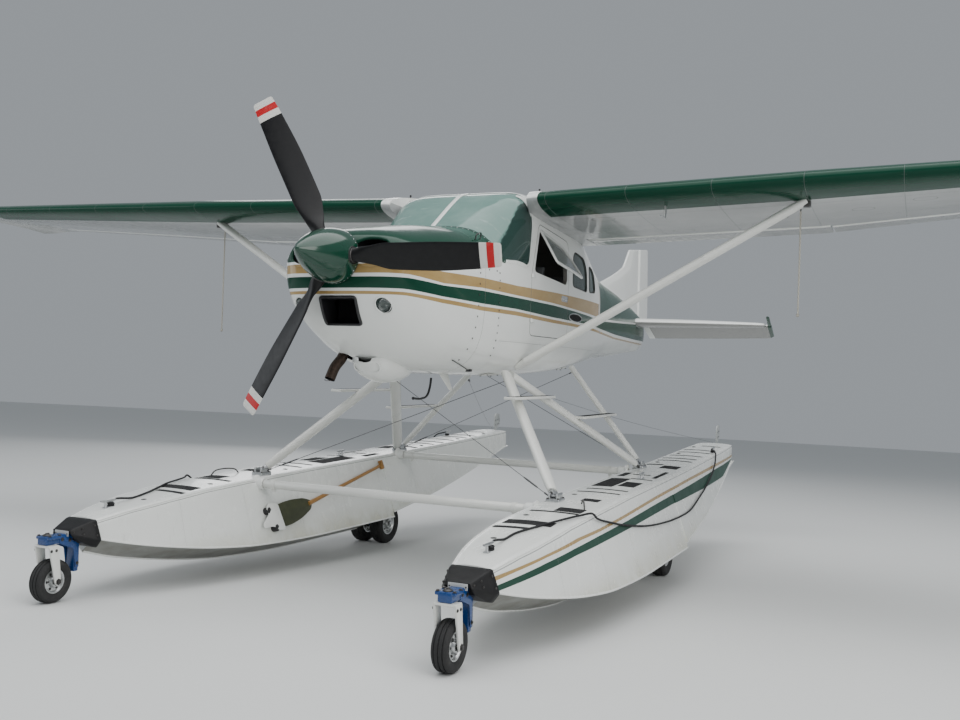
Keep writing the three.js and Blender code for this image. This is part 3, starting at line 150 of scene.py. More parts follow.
# shapes gathered as arrays, then made one mesh
class Shape:
    def __init__(self):
        self.points, self.faces, self.maps, self.count = [], [], [], 0

    # faces index these points; mat is the piece's material number; uv is one pair for each point
    def add(self, points, faces, mat=0, uv=None):
        points = np.asarray(points, float).reshape(-1, 3)
        self.points.append(points)
        self.maps.append(np.zeros((len(points), 2)) if uv is None else np.asarray(uv, float).reshape(-1, 2))
        for f in (faces if isinstance(faces, list) else [faces]):
            if len(f):
                self.faces.append((np.asarray(f, int) + self.count, mat))
        self.count += len(points)
        return self

    def join(self, other, mat=None):
        self.points += other.points
        self.maps += other.maps
        self.faces += [(f + self.count, m if mat is None else mat) for f, m in other.faces]
        self.count += other.count
        return self

    # the other side of the aircraft: x turned about, faces reversed so that they still point out
    def mirrored(self):
        other = Shape()
        other.points = [p * [-1, 1, 1] for p in self.points]
        other.maps = list(self.maps)
        other.faces = [(f[:, ::-1], m) for f, m in self.faces]
        other.count = self.count
        return other

    def on(self, side):
        return self if side > 0 else self.mirrored()

    def moved(self, matrix):
        m = np.array(matrix, float)
        other = Shape()
        other.points = [p @ m[:3, :3].T + m[:3, 3] for p in self.points]
        other.maps, other.faces, other.count = list(self.maps), list(self.faces), self.count
        return other

    # one mesh object at the origin, riding on a body
    def piece(self, name, body, materials, replaces=(), slot=None, sharp=35, ground=False, merge=True):
        co = np.vstack(self.points)
        co = co if ground else toGround(co)
        data = bpy.data.meshes.new(name)
        corners = np.concatenate([f.ravel() for f, m in self.faces])
        sizes = np.concatenate([np.full(len(f), f.shape[1]) for f, m in self.faces])
        data.vertices.add(len(co))
        data.vertices.foreach_set("co", co.astype(np.float32).ravel())
        data.loops.add(len(corners))
        data.polygons.add(len(sizes))
        data.polygons.foreach_set("loop_start", np.concatenate([[0], np.cumsum(sizes)[:-1]]).astype(np.int32))
        data.polygons.foreach_set("vertices", corners.astype(np.int32))
        data.polygons.foreach_set("material_index", np.concatenate(
            [np.full(len(f), m) for f, m in self.faces]).astype(np.int32))
        data.update(calc_edges=True)
        uv = np.vstack(self.maps)[corners]
        data.uv_layers.new(name="map").data.foreach_set("uv", uv.astype(np.float32).ravel())
        data.validate()
        data.polygons.foreach_set("use_smooth", np.ones(len(data.polygons), bool))
        if merge:
            b = bmesh.new()
            b.from_mesh(data)
            bmesh.ops.remove_doubles(b, verts=b.verts, dist=2e-6)
            b.to_mesh(data)
            b.free()
        data.set_sharp_from_angle(angle=math.radians(sharp))
        o = bpy.data.objects.new(name, data)
        bpy.context.scene.collection.objects.link(o)
        for m in (materials if isinstance(materials, (list, tuple)) else [materials]):
            data.materials.append(m)
        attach(o, body)
        if replaces:
            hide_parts(*replaces)
        return o


# the given number of angles spaced evenly round a circle
def turns(count):
    return np.linspace(0, 2 * np.pi, count, endpoint=False)


def sideName(side):
    return "left" if side > 0 else "right"


# quads between the rows of an m by n grid; closed joins the last column to the first
def gridFaces(m, n, closed=False):
    i = np.arange(m - 1)[:, None] * n
    j = np.arange(n if closed else n - 1)[None]
    k = (j + 1) % n
    return np.stack([i + j, i + k, i + n + k, i + n + j], -1).reshape(-1, 4)


# Twice signed volume over all faces, each taken as a fan, tells which way a closed shape's faces point.
def outward(points, faces):
    total = 0.0
    for f in faces:
        for k in range(1, f.shape[1] - 1):
            total += np.einsum("ij,ij->i", points[f[:, 0]],
                               np.cross(points[f[:, k]], points[f[:, k + 1]])).sum()
    return faces if total > 0 else [f[:, ::-1] for f in faces]


# Closed rings joined in order, with a polygon at each end
def loft(rings, capStart=True, capEnd=True, uv=None, keep=False):
    rings = np.asarray(rings, float)
    m, n = rings.shape[:2]
    faces = [gridFaces(m, n, True)]
    if capStart:
        faces.append(np.arange(n)[::-1][None])
    if capEnd:
        faces.append(np.arange(n)[None] + (m - 1) * n)
    pts = rings.reshape(-1, 3)
    shape = Shape()
    shape.add(pts, faces if keep else outward(pts, faces), 0, uv)
    return shape


# An open grid of points; flip turns its faces about
def sheetOf(grid, flip=False, uv=None, mat=0):
    m, n = grid.shape[:2]
    f = gridFaces(m, n)
    return Shape().add(grid, f[:, ::-1] if flip else f, mat, uv)


# The rows with their first column again at the end, so that a sheet of them closes
def wrapped(rows):
    return np.concatenate([rows, rows[:, :1]], 1)


# A shape of one sheet, its faces turned if need be: along way or, where a centre is given, away from it
# (way 1) or toward it (way -1)
def facing(shape, way, centre=None):
    co, f = np.vstack(shape.points), shape.faces[0][0]
    n = np.cross(co[f[:, 1]] - co[f[:, 0]], co[f[:, 2]] - co[f[:, 0]])
    wanted = np.asarray(way, float) if centre is None else np.asarray(way) * (co[f].mean(1) - centre)
    if (n * wanted).sum() < 0:
        shape.faces = [(f[:, ::-1], 0)]
    return shape


# A ring of points carried along a path. The ring stands square to the path, with its first axis as near as
# can be to ref. radius is one number or one for each point; lobes twist(angle, length) may change it.
def tube(path, radius, sides=12, ref=(0, 0, 1), caps=True, lobes=None, flat=1.0):
    path = np.asarray(path, float)
    t = unit(np.gradient(path, axis=0))
    ref = np.broadcast_to(np.asarray(ref, float), path.shape)
    a = unit(ref - np.einsum("ij,ij->i", ref, t)[:, None] * t)
    b = np.cross(t, a)
    angle = turns(sides)
    s = lengthAlong(path)
    r = np.broadcast_to(np.asarray(radius, float), (len(path),))[:, None] * np.ones(sides)
    if lobes is not None:
        r = r * lobes(angle[None], s[:, None])
    rings = path[:, None] + r[..., None] * (np.cos(angle)[None, :, None] * a[:, None]
                                            + flat * np.sin(angle)[None, :, None] * b[:, None])
    uv = np.stack(np.broadcast_arrays(s[:, None], angle[None] / (2 * np.pi)), -1)
    return loft(rings, caps, caps, uv)


# profiles for turnedShape: a solid bar from low to high, and a hoop between two radii
def bar(low, high, radius):
    return [(low, 0), (low, radius), (high, radius), (high, 0)]


def hoop(low, high, inner, outer):
    return [(low, inner), (low, outer), (high, outer), (high, inner), (low, inner)]


# A profile of (distance along the axis, radius) turned about the axis through centre
def turnedShape(profile, centre, axis, sides=32, ref=(0, 0, 1)):
    profile = np.asarray(profile, float)
    axis = unit(axis)
    ref = np.asarray(ref, float)
    if abs(np.dot(ref, axis)) > 0.95:
        ref = np.array([1.0, 0, 0])
    a = unit(ref - ref @ axis * axis)
    b = np.cross(axis, a)
    angle = turns(sides)
    ring = np.cos(angle)[:, None] * a + np.sin(angle)[:, None] * b
    rings = np.asarray(centre, float) + profile[:, 0][:, None, None] * axis + profile[:, 1][:, None,
            None] * ring[None]
    closeFirst, closeLast = profile[0, 1] > 1e-6, profile[-1, 1] > 1e-6
    loop = np.allclose(profile[0], profile[-1])
    s = lengthAlong(profile)
    uv = np.stack(np.broadcast_arrays(s[:, None], angle[None] / (2 * np.pi)), -1)
    return loft(rings, closeFirst and not loop, closeLast and not loop, uv)


# Flat outline moved in or out along the mean of its two edge normals
def offsetLoop(loop, by):
    loop = np.asarray(loop, float)
    before, after = np.roll(loop, 1, 0), np.roll(loop, -1, 0)
    area = np.sum(before[:, 0] * loop[:, 1] - loop[:, 0] * before[:, 1])
    u, v = unit(loop - before), unit(after - loop)
    nu, nv = np.stack([u[:, 1], -u[:, 0]], -1), np.stack([v[:, 1], -v[:, 0]], -1)
    m = unit(nu + nv)
    return loop + m * (np.sign(area) * by / np.maximum(0.4, np.einsum("ij,ij->i", m, nu)))[:, None]


# A loop of straight sides whose corners are rounded by arcs of the given radius
def roundedLoop(loop, radius, steps=5):
    loop = np.asarray(loop, float)
    out = []
    for k in range(len(loop)):
        p, a, b = loop[k], loop[k - 1], loop[(k + 1) % len(loop)]
        r = min(radius, 0.42 * np.linalg.norm(p - a), 0.42 * np.linalg.norm(b - p))
        t = np.linspace(0, 1, steps)[:, None]
        start, end = p + unit(a - p) * r, p + unit(b - p) * r
        out.append((1 - t) ** 2 * start + 2 * t * (1 - t) * p + t * t * end)
    return np.vstack(out)


# A flat outline given a thickness with small round edges. origin, along and across place its plane.
def plate(loop, thick, origin, along, across, edge=0.0015, centred=True):
    loop = np.asarray(loop, float)
    along, across = unit(along), unit(across)
    up = np.cross(along, across)
    low, high = (-thick / 2, thick / 2) if centred else (0, thick)
    edge = min(edge, thick * 0.45)
    steps = [(-edge, low), (-edge * 0.3, low + edge * 0.3), (0, low + edge), (0, high - edge),
             (-edge * 0.3, high - edge * 0.3), (-edge, high)]
    rings = []
    for grow, h in steps:
        flat = offsetLoop(loop, grow) if grow else loop
        rings.append(np.asarray(origin) + flat[:, :1] * along + flat[:, 1:] * across + h * up)
    return loft(rings)


square = np.array([[-1, -1], [1, -1], [1, 1], [-1, 1]])


# A block with rounded edges: a rounded rectangle carried between two ends, drawn in at each
def block(low, high, edge=0.004, steps=4):
    low, high = np.minimum(low, high), np.maximum(low, high)
    size, mid = high - low, (high + low) / 2
    loop = roundedLoop(square * size[:2] / 2, edge, steps)
    return plate(loop, size[2], mid, (1, 0, 0), (0, 1, 0), edge)


def boxBetween(p, q, width, thick, edge=0.002, ref=(0, 0, 1)):
    # a bar of oblong section from p to q; width lies along ref
    p, q = np.asarray(p, float), np.asarray(q, float)
    axis = unit(q - p)
    a = unit(np.asarray(ref, float) - np.dot(ref, axis) * axis)
    b = np.cross(axis, a)
    loop = roundedLoop(square * [width / 2, thick / 2], min(edge, thick * 0.3), 3)
    return plate(loop, float(np.linalg.norm(q - p)), (p + q) / 2, a, b, min(edge, thick * 0.3))


# Many copies of one small shape, each set up with its own place and axes
def scattered(shape, places, normals, refs=None):
    base, count = np.vstack(shape.points), shape.count
    places, n = np.asarray(places, float), unit(normals)
    ref = np.broadcast_to(np.array([0.0, 1.0, 0.0]) if refs is None else np.asarray(refs, float), n.shape)
    a = ref - np.einsum("ij,ij->i", ref, n)[:, None] * n
    a = unit(np.where(np.linalg.norm(a, axis=1, keepdims=True) < 1e-3, [[1.0, 0, 0]], a))
    b = np.cross(n, a)
    pts = places[:, None] + base[None, :, :1] * a[:, None] + base[None, :, 1:2] * b[:, None] + base[None, :,
            2:] * n[:, None]
    out = Shape()
    shift = (np.arange(len(places)) * count)[:, None, None]
    out.add(pts.reshape(-1, 3), [(f[None] + shift).reshape(-1, f.shape[1]) for f, _ in shape.faces])
    return out


def dome(radius, height, sides=8, rows=2):
    t = np.linspace(0, np.pi / 2, rows + 1)
    return turnedShape(np.stack([height * np.sin(t), np.maximum(radius * np.cos(t), radius * 0.02)], -1),
                       (0, 0, 0), (0, 0, 1), sides)


# Flat panel with holes: rows of points inside the outline, and the outlines themselves, joined by Delaunay's
# triangles and then laid on a surface by lay(u, v), which gives points and outward normals. A wall is
# the same net moved in along the normals, with a rim along each outline.
def inside(p, loop):
    a, b = loop, np.roll(loop, -1, 0)
    x, y = p[:, 0][:, None], p[:, 1][:, None]
    cross = (a[:, 1] > y) != (b[:, 1] > y)
    dy = np.where(np.abs(b[:, 1] - a[:, 1]) < 1e-12, 1e-12, b[:, 1] - a[:, 1])
    at = a[:, 0] + (y - a[:, 1]) * (b[:, 0] - a[:, 0]) / dy
    return np.sum(cross & (x < at), 1) % 2 == 1


def denser(loop, step):
    nxt = np.roll(loop, -1, 0)
    out = []
    for p, q in zip(loop, nxt):
        n = max(1, int(math.ceil(np.linalg.norm(q - p) / step)))
        out.append(p + (q - p) * (np.arange(n) / n)[:, None])
    return np.vstack(out)


def panel(outer, holes, lay, step, wall, stretch=(1, 1), uvOf=None, mat=0, wallMat=None):
    scale = np.asarray(stretch, float)
    loops = [denser(np.asarray(l, float) * scale, step) for l in [outer, *holes]]
    low, high = loops[0].min(0), loops[0].max(0)
    gx, gy = [np.arange(low[k] + step / 2, high[k], step) for k in (0, 1)]
    grid = np.stack(np.meshgrid(gx, gy), -1).reshape(-1, 2)
    ok = inside(grid, loops[0])
    for h in loops[1:]:
        ok &= ~inside(grid, h)
    grid = grid[ok]
    rim = np.vstack(loops)
    near = np.ones(len(grid), bool)
    for k in range(0, len(rim), 400):
        near &= (np.linalg.norm(grid[:, None] - rim[None, k:k + 400], axis=2) > step * 0.55).all(1)
    flat = np.vstack([rim, grid[near]])
    edges, start = [], 0
    for l in loops:
        ids = np.arange(len(l)) + start
        edges.append(np.stack([ids, np.roll(ids, -1)], -1))
        start += len(l)
    made = delaunay_2d_cdt([Vector(p) for p in flat], np.vstack(edges).tolist(), [], 0, 1e-9)
    flat = np.array([tuple(v) for v in made[0]])
    tri = np.array(made[2])
    centre = flat[tri].mean(1)
    ok = inside(centre, loops[0])
    for h in loops[1:]:
        ok &= ~inside(centre, h)
    tri = tri[ok]
    area = np.cross(flat[tri[:, 1]] - flat[tri[:, 0]], flat[tri[:, 2]] - flat[tri[:, 0]])
    tri = np.where(area[:, None] > 0, tri, tri[:, ::-1])
    p, n = lay(flat[:, 0] / scale[0], flat[:, 1] / scale[1])
    face = p[tri]
    turn = np.einsum("ij,ij->i", np.cross(face[:, 1] - face[:, 0], face[:, 2] - face[:, 0]),
                     n[tri[:, 0]]).sum()
    tri = tri if turn > 0 else tri[:, ::-1]
    uv = flat / scale if uvOf is None else uvOf(flat / scale)
    shape = Shape()
    if not wall:
        return shape.add(p, tri, mat, uv)
    pair = np.sort(np.vstack([tri[:, [0, 1]], tri[:, [1, 2]], tri[:, [2, 0]]]), 1)
    way = np.vstack([tri[:, [0, 1]], tri[:, [1, 2]], tri[:, [2, 0]]])
    back, count = np.unique(pair, axis=0, return_inverse=True, return_counts=True)[1:]
    border = way[count[back.ravel()] == 1]
    k = len(p)
    shape.add(np.vstack([p, p - n * wall]), [tri], mat, np.vstack([uv, uv]))
    inner = [tri[:, ::-1] + k, np.stack([border[:, 1], border[:, 0], border[:, 0] + k, border[:, 1] + k], -1)]
    shape.faces += [(f, mat if wallMat is None else wallMat) for f in inner]
    return shape


# shader values: an expression on them adds its Math nodes
class Value:
    def __init__(self, finish, socket):
        self.finish, self.socket = finish, socket

    def do(self, operation, *others):
        return self.finish.node("ShaderNodeMath", {"operation": operation}, dict(enumerate((self, *others))))

    def __add__(self, other):
        return self.do("ADD", other)

    def __sub__(self, other):
        return self.do("SUBTRACT", other)

    def __rsub__(self, other):
        return self.finish.node("ShaderNodeMath", {"operation": "SUBTRACT"}, {0: other, 1: self})

    def __mul__(self, other):
        return self.do("MULTIPLY", other)

    def __truediv__(self, other):
        return self.do("DIVIDE", other)

    def __gt__(self, other):
        return self.do("GREATER_THAN", other)

    def __lt__(self, other):
        return self.do("LESS_THAN", other)

    def __abs__(self):
        return self.do("ABSOLUTE")

    def most(self, other):
        return self.do("MAXIMUM", other)

    def least(self, other):
        return self.do("MINIMUM", other)

    def wave(self):
        return self.do("SINE")

    def share(self):
        return self.do("FRACT")

    # distance from the middle of a bay, where bays of one pitch follow each other
    def inBay(self, pitch):
        return ((self * (1 / pitch)).share() - 0.5) * pitch

    __radd__, __rmul__ = __add__, __mul__


# One material: its nodes, its sockets and its places
class Finish:
    def __init__(self, name, **fixed):
        self.material = bpy.data.materials.new(name)
        self.material.use_nodes = True
        self.tree = self.material.node_tree
        self.tree.nodes.clear()
        self.surface = self.tree.nodes.new("ShaderNodeBsdfPrincipled")
        end = self.tree.nodes.new("ShaderNodeOutputMaterial")
        self.tree.links.new(self.surface.outputs[0], end.inputs["Surface"])
        for key, value in fixed.items():
            self.set(key.replace("_", " "), value)

    # any node: its settings come first, then the values or links of its sockets
    def node(self, kind, settings=None, sockets=None, out=0):
        n = self.tree.nodes.new(kind)
        for key, value in (settings or {}).items():
            if key == "curve":
                line = n.mapping.curves[0]
                while len(line.points) < len(value):
                    line.points.new(0.5, 0.5)
                for e, (x, y) in zip(line.points, value):
                    e.location, e.handle_type = (x, y), "VECTOR"
                n.mapping.update()
            else:
                setattr(n, key, value)
        for key, value in (sockets or {}).items():
            self.link(n.inputs[key], value)
        return Value(self, n.outputs[out])

    def link(self, socket, value):
        if isinstance(value, Value):
            self.tree.links.new(value.socket, socket)
        elif socket.type == "RGBA" and len(value) == 3:
            socket.default_value = (*value, 1)
        else:
            socket.default_value = value

    def set(self, name, value):
        self.link(self.surface.inputs[name], value)
        return self

    def place(self):
        return self.node("ShaderNodeTexCoord", out=3)

    # x, y and z in the airframe's own axes
    def airframe(self):
        back = self.node("ShaderNodeMapping", {},
                         {0: self.place(),
                          1: (0, -(stance["y"] * tiltCos + stance["z"] * tiltSin),
                              stance["y"] * tiltSin - stance["z"] * tiltCos),
                          2: (-math.radians(stance["noseDownDeg"]), 0, 0)})
        return back, [self.node("ShaderNodeSeparateXYZ", {}, {0: back}, k) for k in range(3)]

    # the two values of the mesh's own map
    def map(self):
        uv = self.node("ShaderNodeUVMap", {"uv_map": "map"})
        return [self.node("ShaderNodeSeparateXYZ", {}, {0: uv}, k) for k in range(2)]

    def noise(self, at, scale, detail=3, rough=0.55, colour=False):
        return self.node("ShaderNodeTexNoise", {},
                         {"Vector": at, "Scale": scale, "Detail": detail, "Roughness": rough},
                         1 if colour else 0)

    def stretched(self, at, scale=(1, 1, 1), turn=(0, 0, 0), shift=(0, 0, 0)):
        return self.node("ShaderNodeMapping", {}, {0: at, 1: shift, 2: turn, 3: scale})

    def mix(self, factor, a, b):
        return self.node("ShaderNodeMix", {"data_type": "RGBA"}, {0: factor, 6: a, 7: b}, 2)

    def span(self, value, low, high, a=0.0, b=1.0):
        return self.node("ShaderNodeMapRange", {"clamp": True}, {0: value, 1: low, 2: high, 3: a, 4: b})

    # height of a line that follows the table of (x, y) pairs
    def along(self, value, table):
        xs, ys = [p[0] for p in table], [p[1] for p in table]
        x0, x1, y0, y1 = min(xs), max(xs), min(ys), max(ys)
        if y1 - y0 < 1e-9:
            y1 = y0 + 1
        t = self.span(value, x0, x1)
        c = self.node("ShaderNodeFloatCurve",
                      {"curve": [((x - x0) / (x1 - x0), (y - y0) / (y1 - y0)) for x, y in table]}, {1: t})
        return c * (y1 - y0) + y0

    # 1 between two lines of a table, given the station and the height
    def between(self, y, z, table, low, high):
        return (z > self.along(y, table[low])) * (z < self.along(y, table[high]))

    # a round dot where both distances are small
    def dot(self, a, b, radius):
        return self.span((a * a + b * b).do("SQRT"), radius, radius + 0.0014, 1, 0)

    def bump(self, height, distance):
        self.set("Normal",
                 self.node("ShaderNodeBump", {}, {"Height": height, "Distance": distance, "Strength": 1.0}))


# camera and light
viewpoint = {"place": (3.28962, -6.10890, -0.65051), "yawDeg": 24.363, "pitchDeg": 0.463, "rollDeg": 1.879,
             "lens": 36.894}


def photoCamera():
    # forward from yaw and pitch, right level, then both rolled round forward
    yaw, pitch, roll = (math.radians(viewpoint[k]) for k in ("yawDeg", "pitchDeg", "rollDeg"))
    ahead = Vector((-math.sin(yaw) * math.cos(pitch), math.cos(yaw) * math.cos(pitch), math.sin(pitch)))
    level = Vector((math.cos(yaw), math.sin(yaw), 0))
    above = level.cross(ahead)
    right = turned(level * math.cos(roll) + above * math.sin(roll))
    up = turned(-level * math.sin(roll) + above * math.cos(roll))
    ahead = turned(ahead)
    data = bpy.data.cameras.new("photoCamera")
    data.lens, data.sensor_width, data.clip_start, data.clip_end = viewpoint["lens"], 36, 0.05, 400
    o = bpy.data.objects.new("photoCamera", data)
    bpy.context.scene.collection.objects.link(o)
    o.matrix_world = Matrix.Translation(Vector(toGround(viewpoint["place"]))) @ Matrix((right, up,
            -ahead)).transposed().to_4x4()
    bpy.context.scene.camera = o


studio = {"sky": (0.80, 0.86, 0.92), "skyPower": 0.40, "floor": (0.68, 0.69, 0.68),
          "lamps": [("skyPanel", (2, -3, 11), (0, 0, 1.0), 15, 1700, (1, 1, 1)),
                    ("leftPanel", (13, -8, 5.5), (0, 0, 1.2), 8, 760, (1, 0.98, 0.95)),
                    ("rightPanel", (-13, -7, 5), (0, 0, 1.2), 8, 380, (0.93, 0.97, 1)),
                    ("tailPanel", (-10, 13, 8), (0, 0, 1.2), 8, 480, (1, 1, 1))]}


def lightStudio():
    world = bpy.data.worlds.new("studio")
    bpy.context.scene.world = world
    world.use_nodes = True
    world.node_tree.nodes["Background"].inputs[0].default_value = (*studio["sky"], 1)
    world.node_tree.nodes["Background"].inputs[1].default_value = studio["skyPower"]
    for name, place, aim, size, power, colour in studio["lamps"]:
        data = bpy.data.lights.new(name, "AREA")
        data.shape, data.size, data.energy, data.color = "SQUARE", size, power, colour
        o = bpy.data.objects.new(name, data)
        bpy.context.scene.collection.objects.link(o)
        o.matrix_world = Matrix.Translation(place) @ (Vector(aim) - Vector(place)).to_track_quat("-Z",
                "Y").to_matrix().to_4x4()
    finish = Finish("paleFloor", Roughness=0.7)
    finish.set("Base Color",
               finish.mix(finish.noise(finish.place(), 1.5, 4), studio["floor"],
                          tuple(c * 0.97 for c in studio["floor"])))
    data = bpy.data.meshes.new("floor")
    angle = turns(96)
    data.from_pydata([(90 * math.cos(a), 90 * math.sin(a), 0) for a in angle], [], [list(range(96))])
    o = bpy.data.objects.new("floor", data)
    bpy.context.scene.collection.objects.link(o)
    data.materials.append(finish.material)


photoCamera()
lightStudio()
print("camera and studio light made")

# finishes
paint = {"white": (0.80, 0.815, 0.79), "green": (0.004, 0.046, 0.026), "gold": (0.36, 0.235, 0.085),
         "dirt": (0.50, 0.49, 0.42)}


# Glossy paint on sheet metal: a base colour, faint waves as riveted skin has, fine dust and a clear coat
def glossy(name, colour, gloss=0.16, waves=0.0022, dirty=0.0, metal=0.0, coat=0.35):
    f = Finish(name, Coat_Roughness=0.06, Metallic=metal)
    at = f.airframe()[0]
    haze = f.noise(at, 2.2, 5, 0.6)
    fine = f.noise(at, 140, 2, 0.5)
    dull = tuple(c * 0.86 for c in colour)
    base = f.mix(f.span(haze, 0.35, 0.75, 0, 0.55), colour, dull)
    if dirty:
        base = f.mix(f.span(f.noise(at, 5, 6, 0.7), 0.5, 0.8, 0, dirty), base, paint["dirt"])
    f.set("Base Color", base)
    f.set("Coat Weight", f.span(haze, 0.3, 0.8, coat, coat * 0.7))
    f.set("Roughness", f.span(fine * 0.4 + haze * 0.6, 0.3, 0.7, gloss, gloss * 1.6))
    f.bump(f.noise(at, 3.2, 2, 0.4), waves)
    return f.material


def rough(name, colour, other, scale=60, roughness=0.6, height=0.0006, metal=0.0, **fixed):
    # a surface whose grain changes its tone, its roughness and its height together
    f = Finish(name, Metallic=metal, **fixed)
    at = f.place()
    grain = f.noise(at, scale, 5, 0.6)
    f.set("Base Color", f.mix(f.span(grain, 0.3, 0.7), colour, other))
    f.set("Roughness",
          f.span(f.noise(at, scale * 0.17, 4), 0.3, 0.7, roughness * 0.8, min(1, roughness * 1.2)))
    f.bump(grain, height)
    return f.material


# Rope: strands wound round it, from the tube's own length and angle; its colour darkens in the grooves
# between the strands as painted shade, with fibre and hair tone over it
def ropeFinish(name, colour, other, pitch, strands=3):
    f = Finish(name, Roughness=0.9)
    s, turn = f.map()
    lay = ((s * (1 / pitch) + turn * strands) * (2 * math.pi)).wave()
    fibre = ((s * (6 / pitch) - turn * 24) * (2 * math.pi)).wave()
    hairy = f.noise(f.place(), 900, 2)
    # painted shade: the colour goes darker where the lay falls into the grooves between strands, with fibre
    # and hair tone
    f.set("Base Color", f.mix(f.span(lay * 0.5 + fibre * 0.3 + hairy, -0.3, 1.2), other, colour))
    f.bump(lay * 0.7 + fibre * 0.2 + hairy * 0.3, 0.0012)
    return f.material


whitePaint = glossy("whitePaint", paint["white"], 0.15)
floatWhite = glossy("floatWhite", (0.80, 0.81, 0.785), 0.22, 0.0018, 0.12)
strutWhite = glossy("strutWhite", (0.74, 0.745, 0.71), 0.24, 0.0006, 0.1)
greenPaint = glossy("greenPaint", paint["green"], 0.12, 0.0015)
bareAlloy = rough("bareAlloy", (0.62, 0.63, 0.63), (0.46, 0.47, 0.48), 90, 0.34, 0.0002, 0.95)
polished = rough("polishedAlloy", (0.80, 0.80, 0.79), (0.66, 0.66, 0.66), 40, 0.16, 0.0001, 1.0)
darkSteel = rough("darkSteel", (0.045, 0.045, 0.047), (0.09, 0.085, 0.08), 120, 0.42, 0.0002, 0.7)
blackRubber = rough("blackRubber", (0.012, 0.012, 0.013), (0.028, 0.028, 0.028), 160, 0.62, 0.0003)
satinBlack = rough("satinBlack", (0.013, 0.013, 0.015), (0.02, 0.02, 0.022), 70, 0.36, 0.0001)
paleRope = ropeFinish("paleRope", (0.62, 0.60, 0.53), (0.30, 0.285, 0.24), 0.030)
darkRope = ropeFinish("darkRope", (0.030, 0.030, 0.033), (0.006, 0.006, 0.007), 0.022, 4)
seamBlack = rough("seamBlack", (0.006, 0.006, 0.006), (0.015, 0.015, 0.015), 60, 0.7, 0.0001)

# ropes
ropes = {"tieDown": {"x": 2.476, "y": 0.980, "top": 0.504, "lowLeft": -0.227, "lowRight": -0.400,
                     "thick": 0.012},
         "mooring": {"thick": 0.014}}
floatPlace = {"x": 1.285}
# y, deck height, half deck, half chine, chine height, keel height
foreHull = [(-1.700, -1.626, 0.112, 0.132, -1.738, -1.826), (-1.480, -1.586, 0.160, 0.200, -1.792, -1.890),
            (-1.200, -1.552, 0.198, 0.270, -1.846, -1.950), (-0.850, -1.520, 0.214, 0.328, -1.898, -2.012),
            (-0.400, -1.500, 0.218, 0.366, -1.940, -2.066), (0.400, -1.474, 0.214, 0.384, -1.966, -2.104),
            (1.449, -1.452, 0.210, 0.384, -1.972, -2.112)]
aftHull = [(1.448, -1.452, 0.210, 0.382, -1.930, -2.030), (2.300, -1.432, 0.204, 0.346, -1.842, -1.936),
           (3.300, -1.404, 0.196, 0.272, -1.712, -1.790), (4.150, -1.376, 0.184, 0.200, -1.580, -1.640),
           (4.400, -1.368, 0.174, 0.178, -1.536, -1.588)]


def deckHeight(y):
    rows = np.array(foreHull + aftHull)
    return np.interp(y, rows[:, 0], rows[:, 1])


def hullHalf(y, z):
    rows = np.array(foreHull + aftHull)
    top, deck, chine, low = (np.interp(y, rows[:, 0], rows[:, k]) for k in (1, 2, 3, 4))
    return lerp(deck, chine, np.clip((top - z) / (top - low), 0, 1))


def knot(centre, thick):
    # a stopper knot: one closed loop of rope wound three times round a small ring
    t = np.linspace(0, 2 * np.pi, 90)
    r = thick * (0.62 + 0.26 * np.cos(3 * t))
    path = np.stack([r * np.cos(2 * t), r * np.sin(2 * t), thick * 0.62 * np.sin(3 * t)],
                    -1) + np.asarray(centre)
    return tube(path, thick * 0.42, 10, (0.3, 0.2, 1))


def layTieDown(side):
    r = ropes["tieDown"]
    low = r["lowLeft"] if side > 0 else r["lowRight"]
    z = np.linspace(r["top"], low, 34)
    sway = 0.001 * np.sin(np.linspace(0, np.pi, 34))
    path = np.stack([np.full(34, side * r["x"]) + side * sway, np.full(34, r["y"]) + sway, z], -1)
    dense = evenly(path, 240)
    groove = lambda a, s: 0.90 + 0.10 * np.abs(np.cos(1.5 * a - s * (2 * np.pi / 0.060)))
    name = sideName(side)
    rope = tube(dense, r["thick"] / 2, 18, (1, 0, 0), lobes=groove).piece(
        f"tie_rope_{name}", "airframe", paleRope, [f"tie_down_rope_{name}"], "pale_rope", 60)
    end = knot((side * r["x"], r["y"], low + 0.012), r["thick"] * 0.8).piece(f"tie_rope_knot_{name}",
            "airframe", paleRope, slot="pale_rope")
    ground = toGround(path)


def layMooring(side):
    fx = side * floatPlace["x"]
    deck = lambda y, off: (fx + side * off, y, float(deckHeight(y)) + 0.015)
    cleat = lambda y, off, lower: (fx + side * off, y, float(deckHeight(y)) + 0.042 - lower)
    out = lambda y, z, gap: (fx + side * (float(hullHalf(y, z)) + gap), y, z)
    keys = [cleat(-1.4372, 0, 0), cleat(-1.400, 0.001, 0.006), deck(-1.300, 0.004), deck(-1.173, 0.014),
            deck(-0.982, 0.073), deck(-0.857, 0.117), deck(-0.699, 0.158), deck(-0.600, 0.190),
            (fx + side * 0.232, -0.520, -1.489), out(-0.440, -1.528, 0.016), out(-0.197, -1.583, 0.015),
            out(0.039, -1.627, 0.014), out(0.454, -1.685, 0.014), out(0.828, -1.717, 0.014),
            out(1.289, -1.738, 0.014), out(1.754, -1.732, 0.014), out(2.155, -1.684, 0.014),
            out(2.654, -1.614, 0.014), out(3.100, -1.520, 0.015), out(3.290, -1.440, 0.017),
            (fx + side * 0.202, 3.372, -1.382), cleat(3.440, 0.153, 0.004), cleat(3.4772, 0.150, 0.002)]
    dense = smoothLine(keys, 700)
    name = sideName(side)
    thick = ropes["mooring"]["thick"]
    braid = 2 * np.pi / 0.045
    groove = lambda a, s: 0.95 + 0.05 * np.cos(4 * a - s * braid) * np.cos(4 * a + s * braid)
    rope = tube(dense, thick / 2, 16, (0, 0, 1), lobes=groove).piece(
        f"mooring_rope_{name}", "airframe", darkRope, [f"mooring_line_{name}"], "dark_rope", 60)
    ground = toGround(evenly(dense, 140))


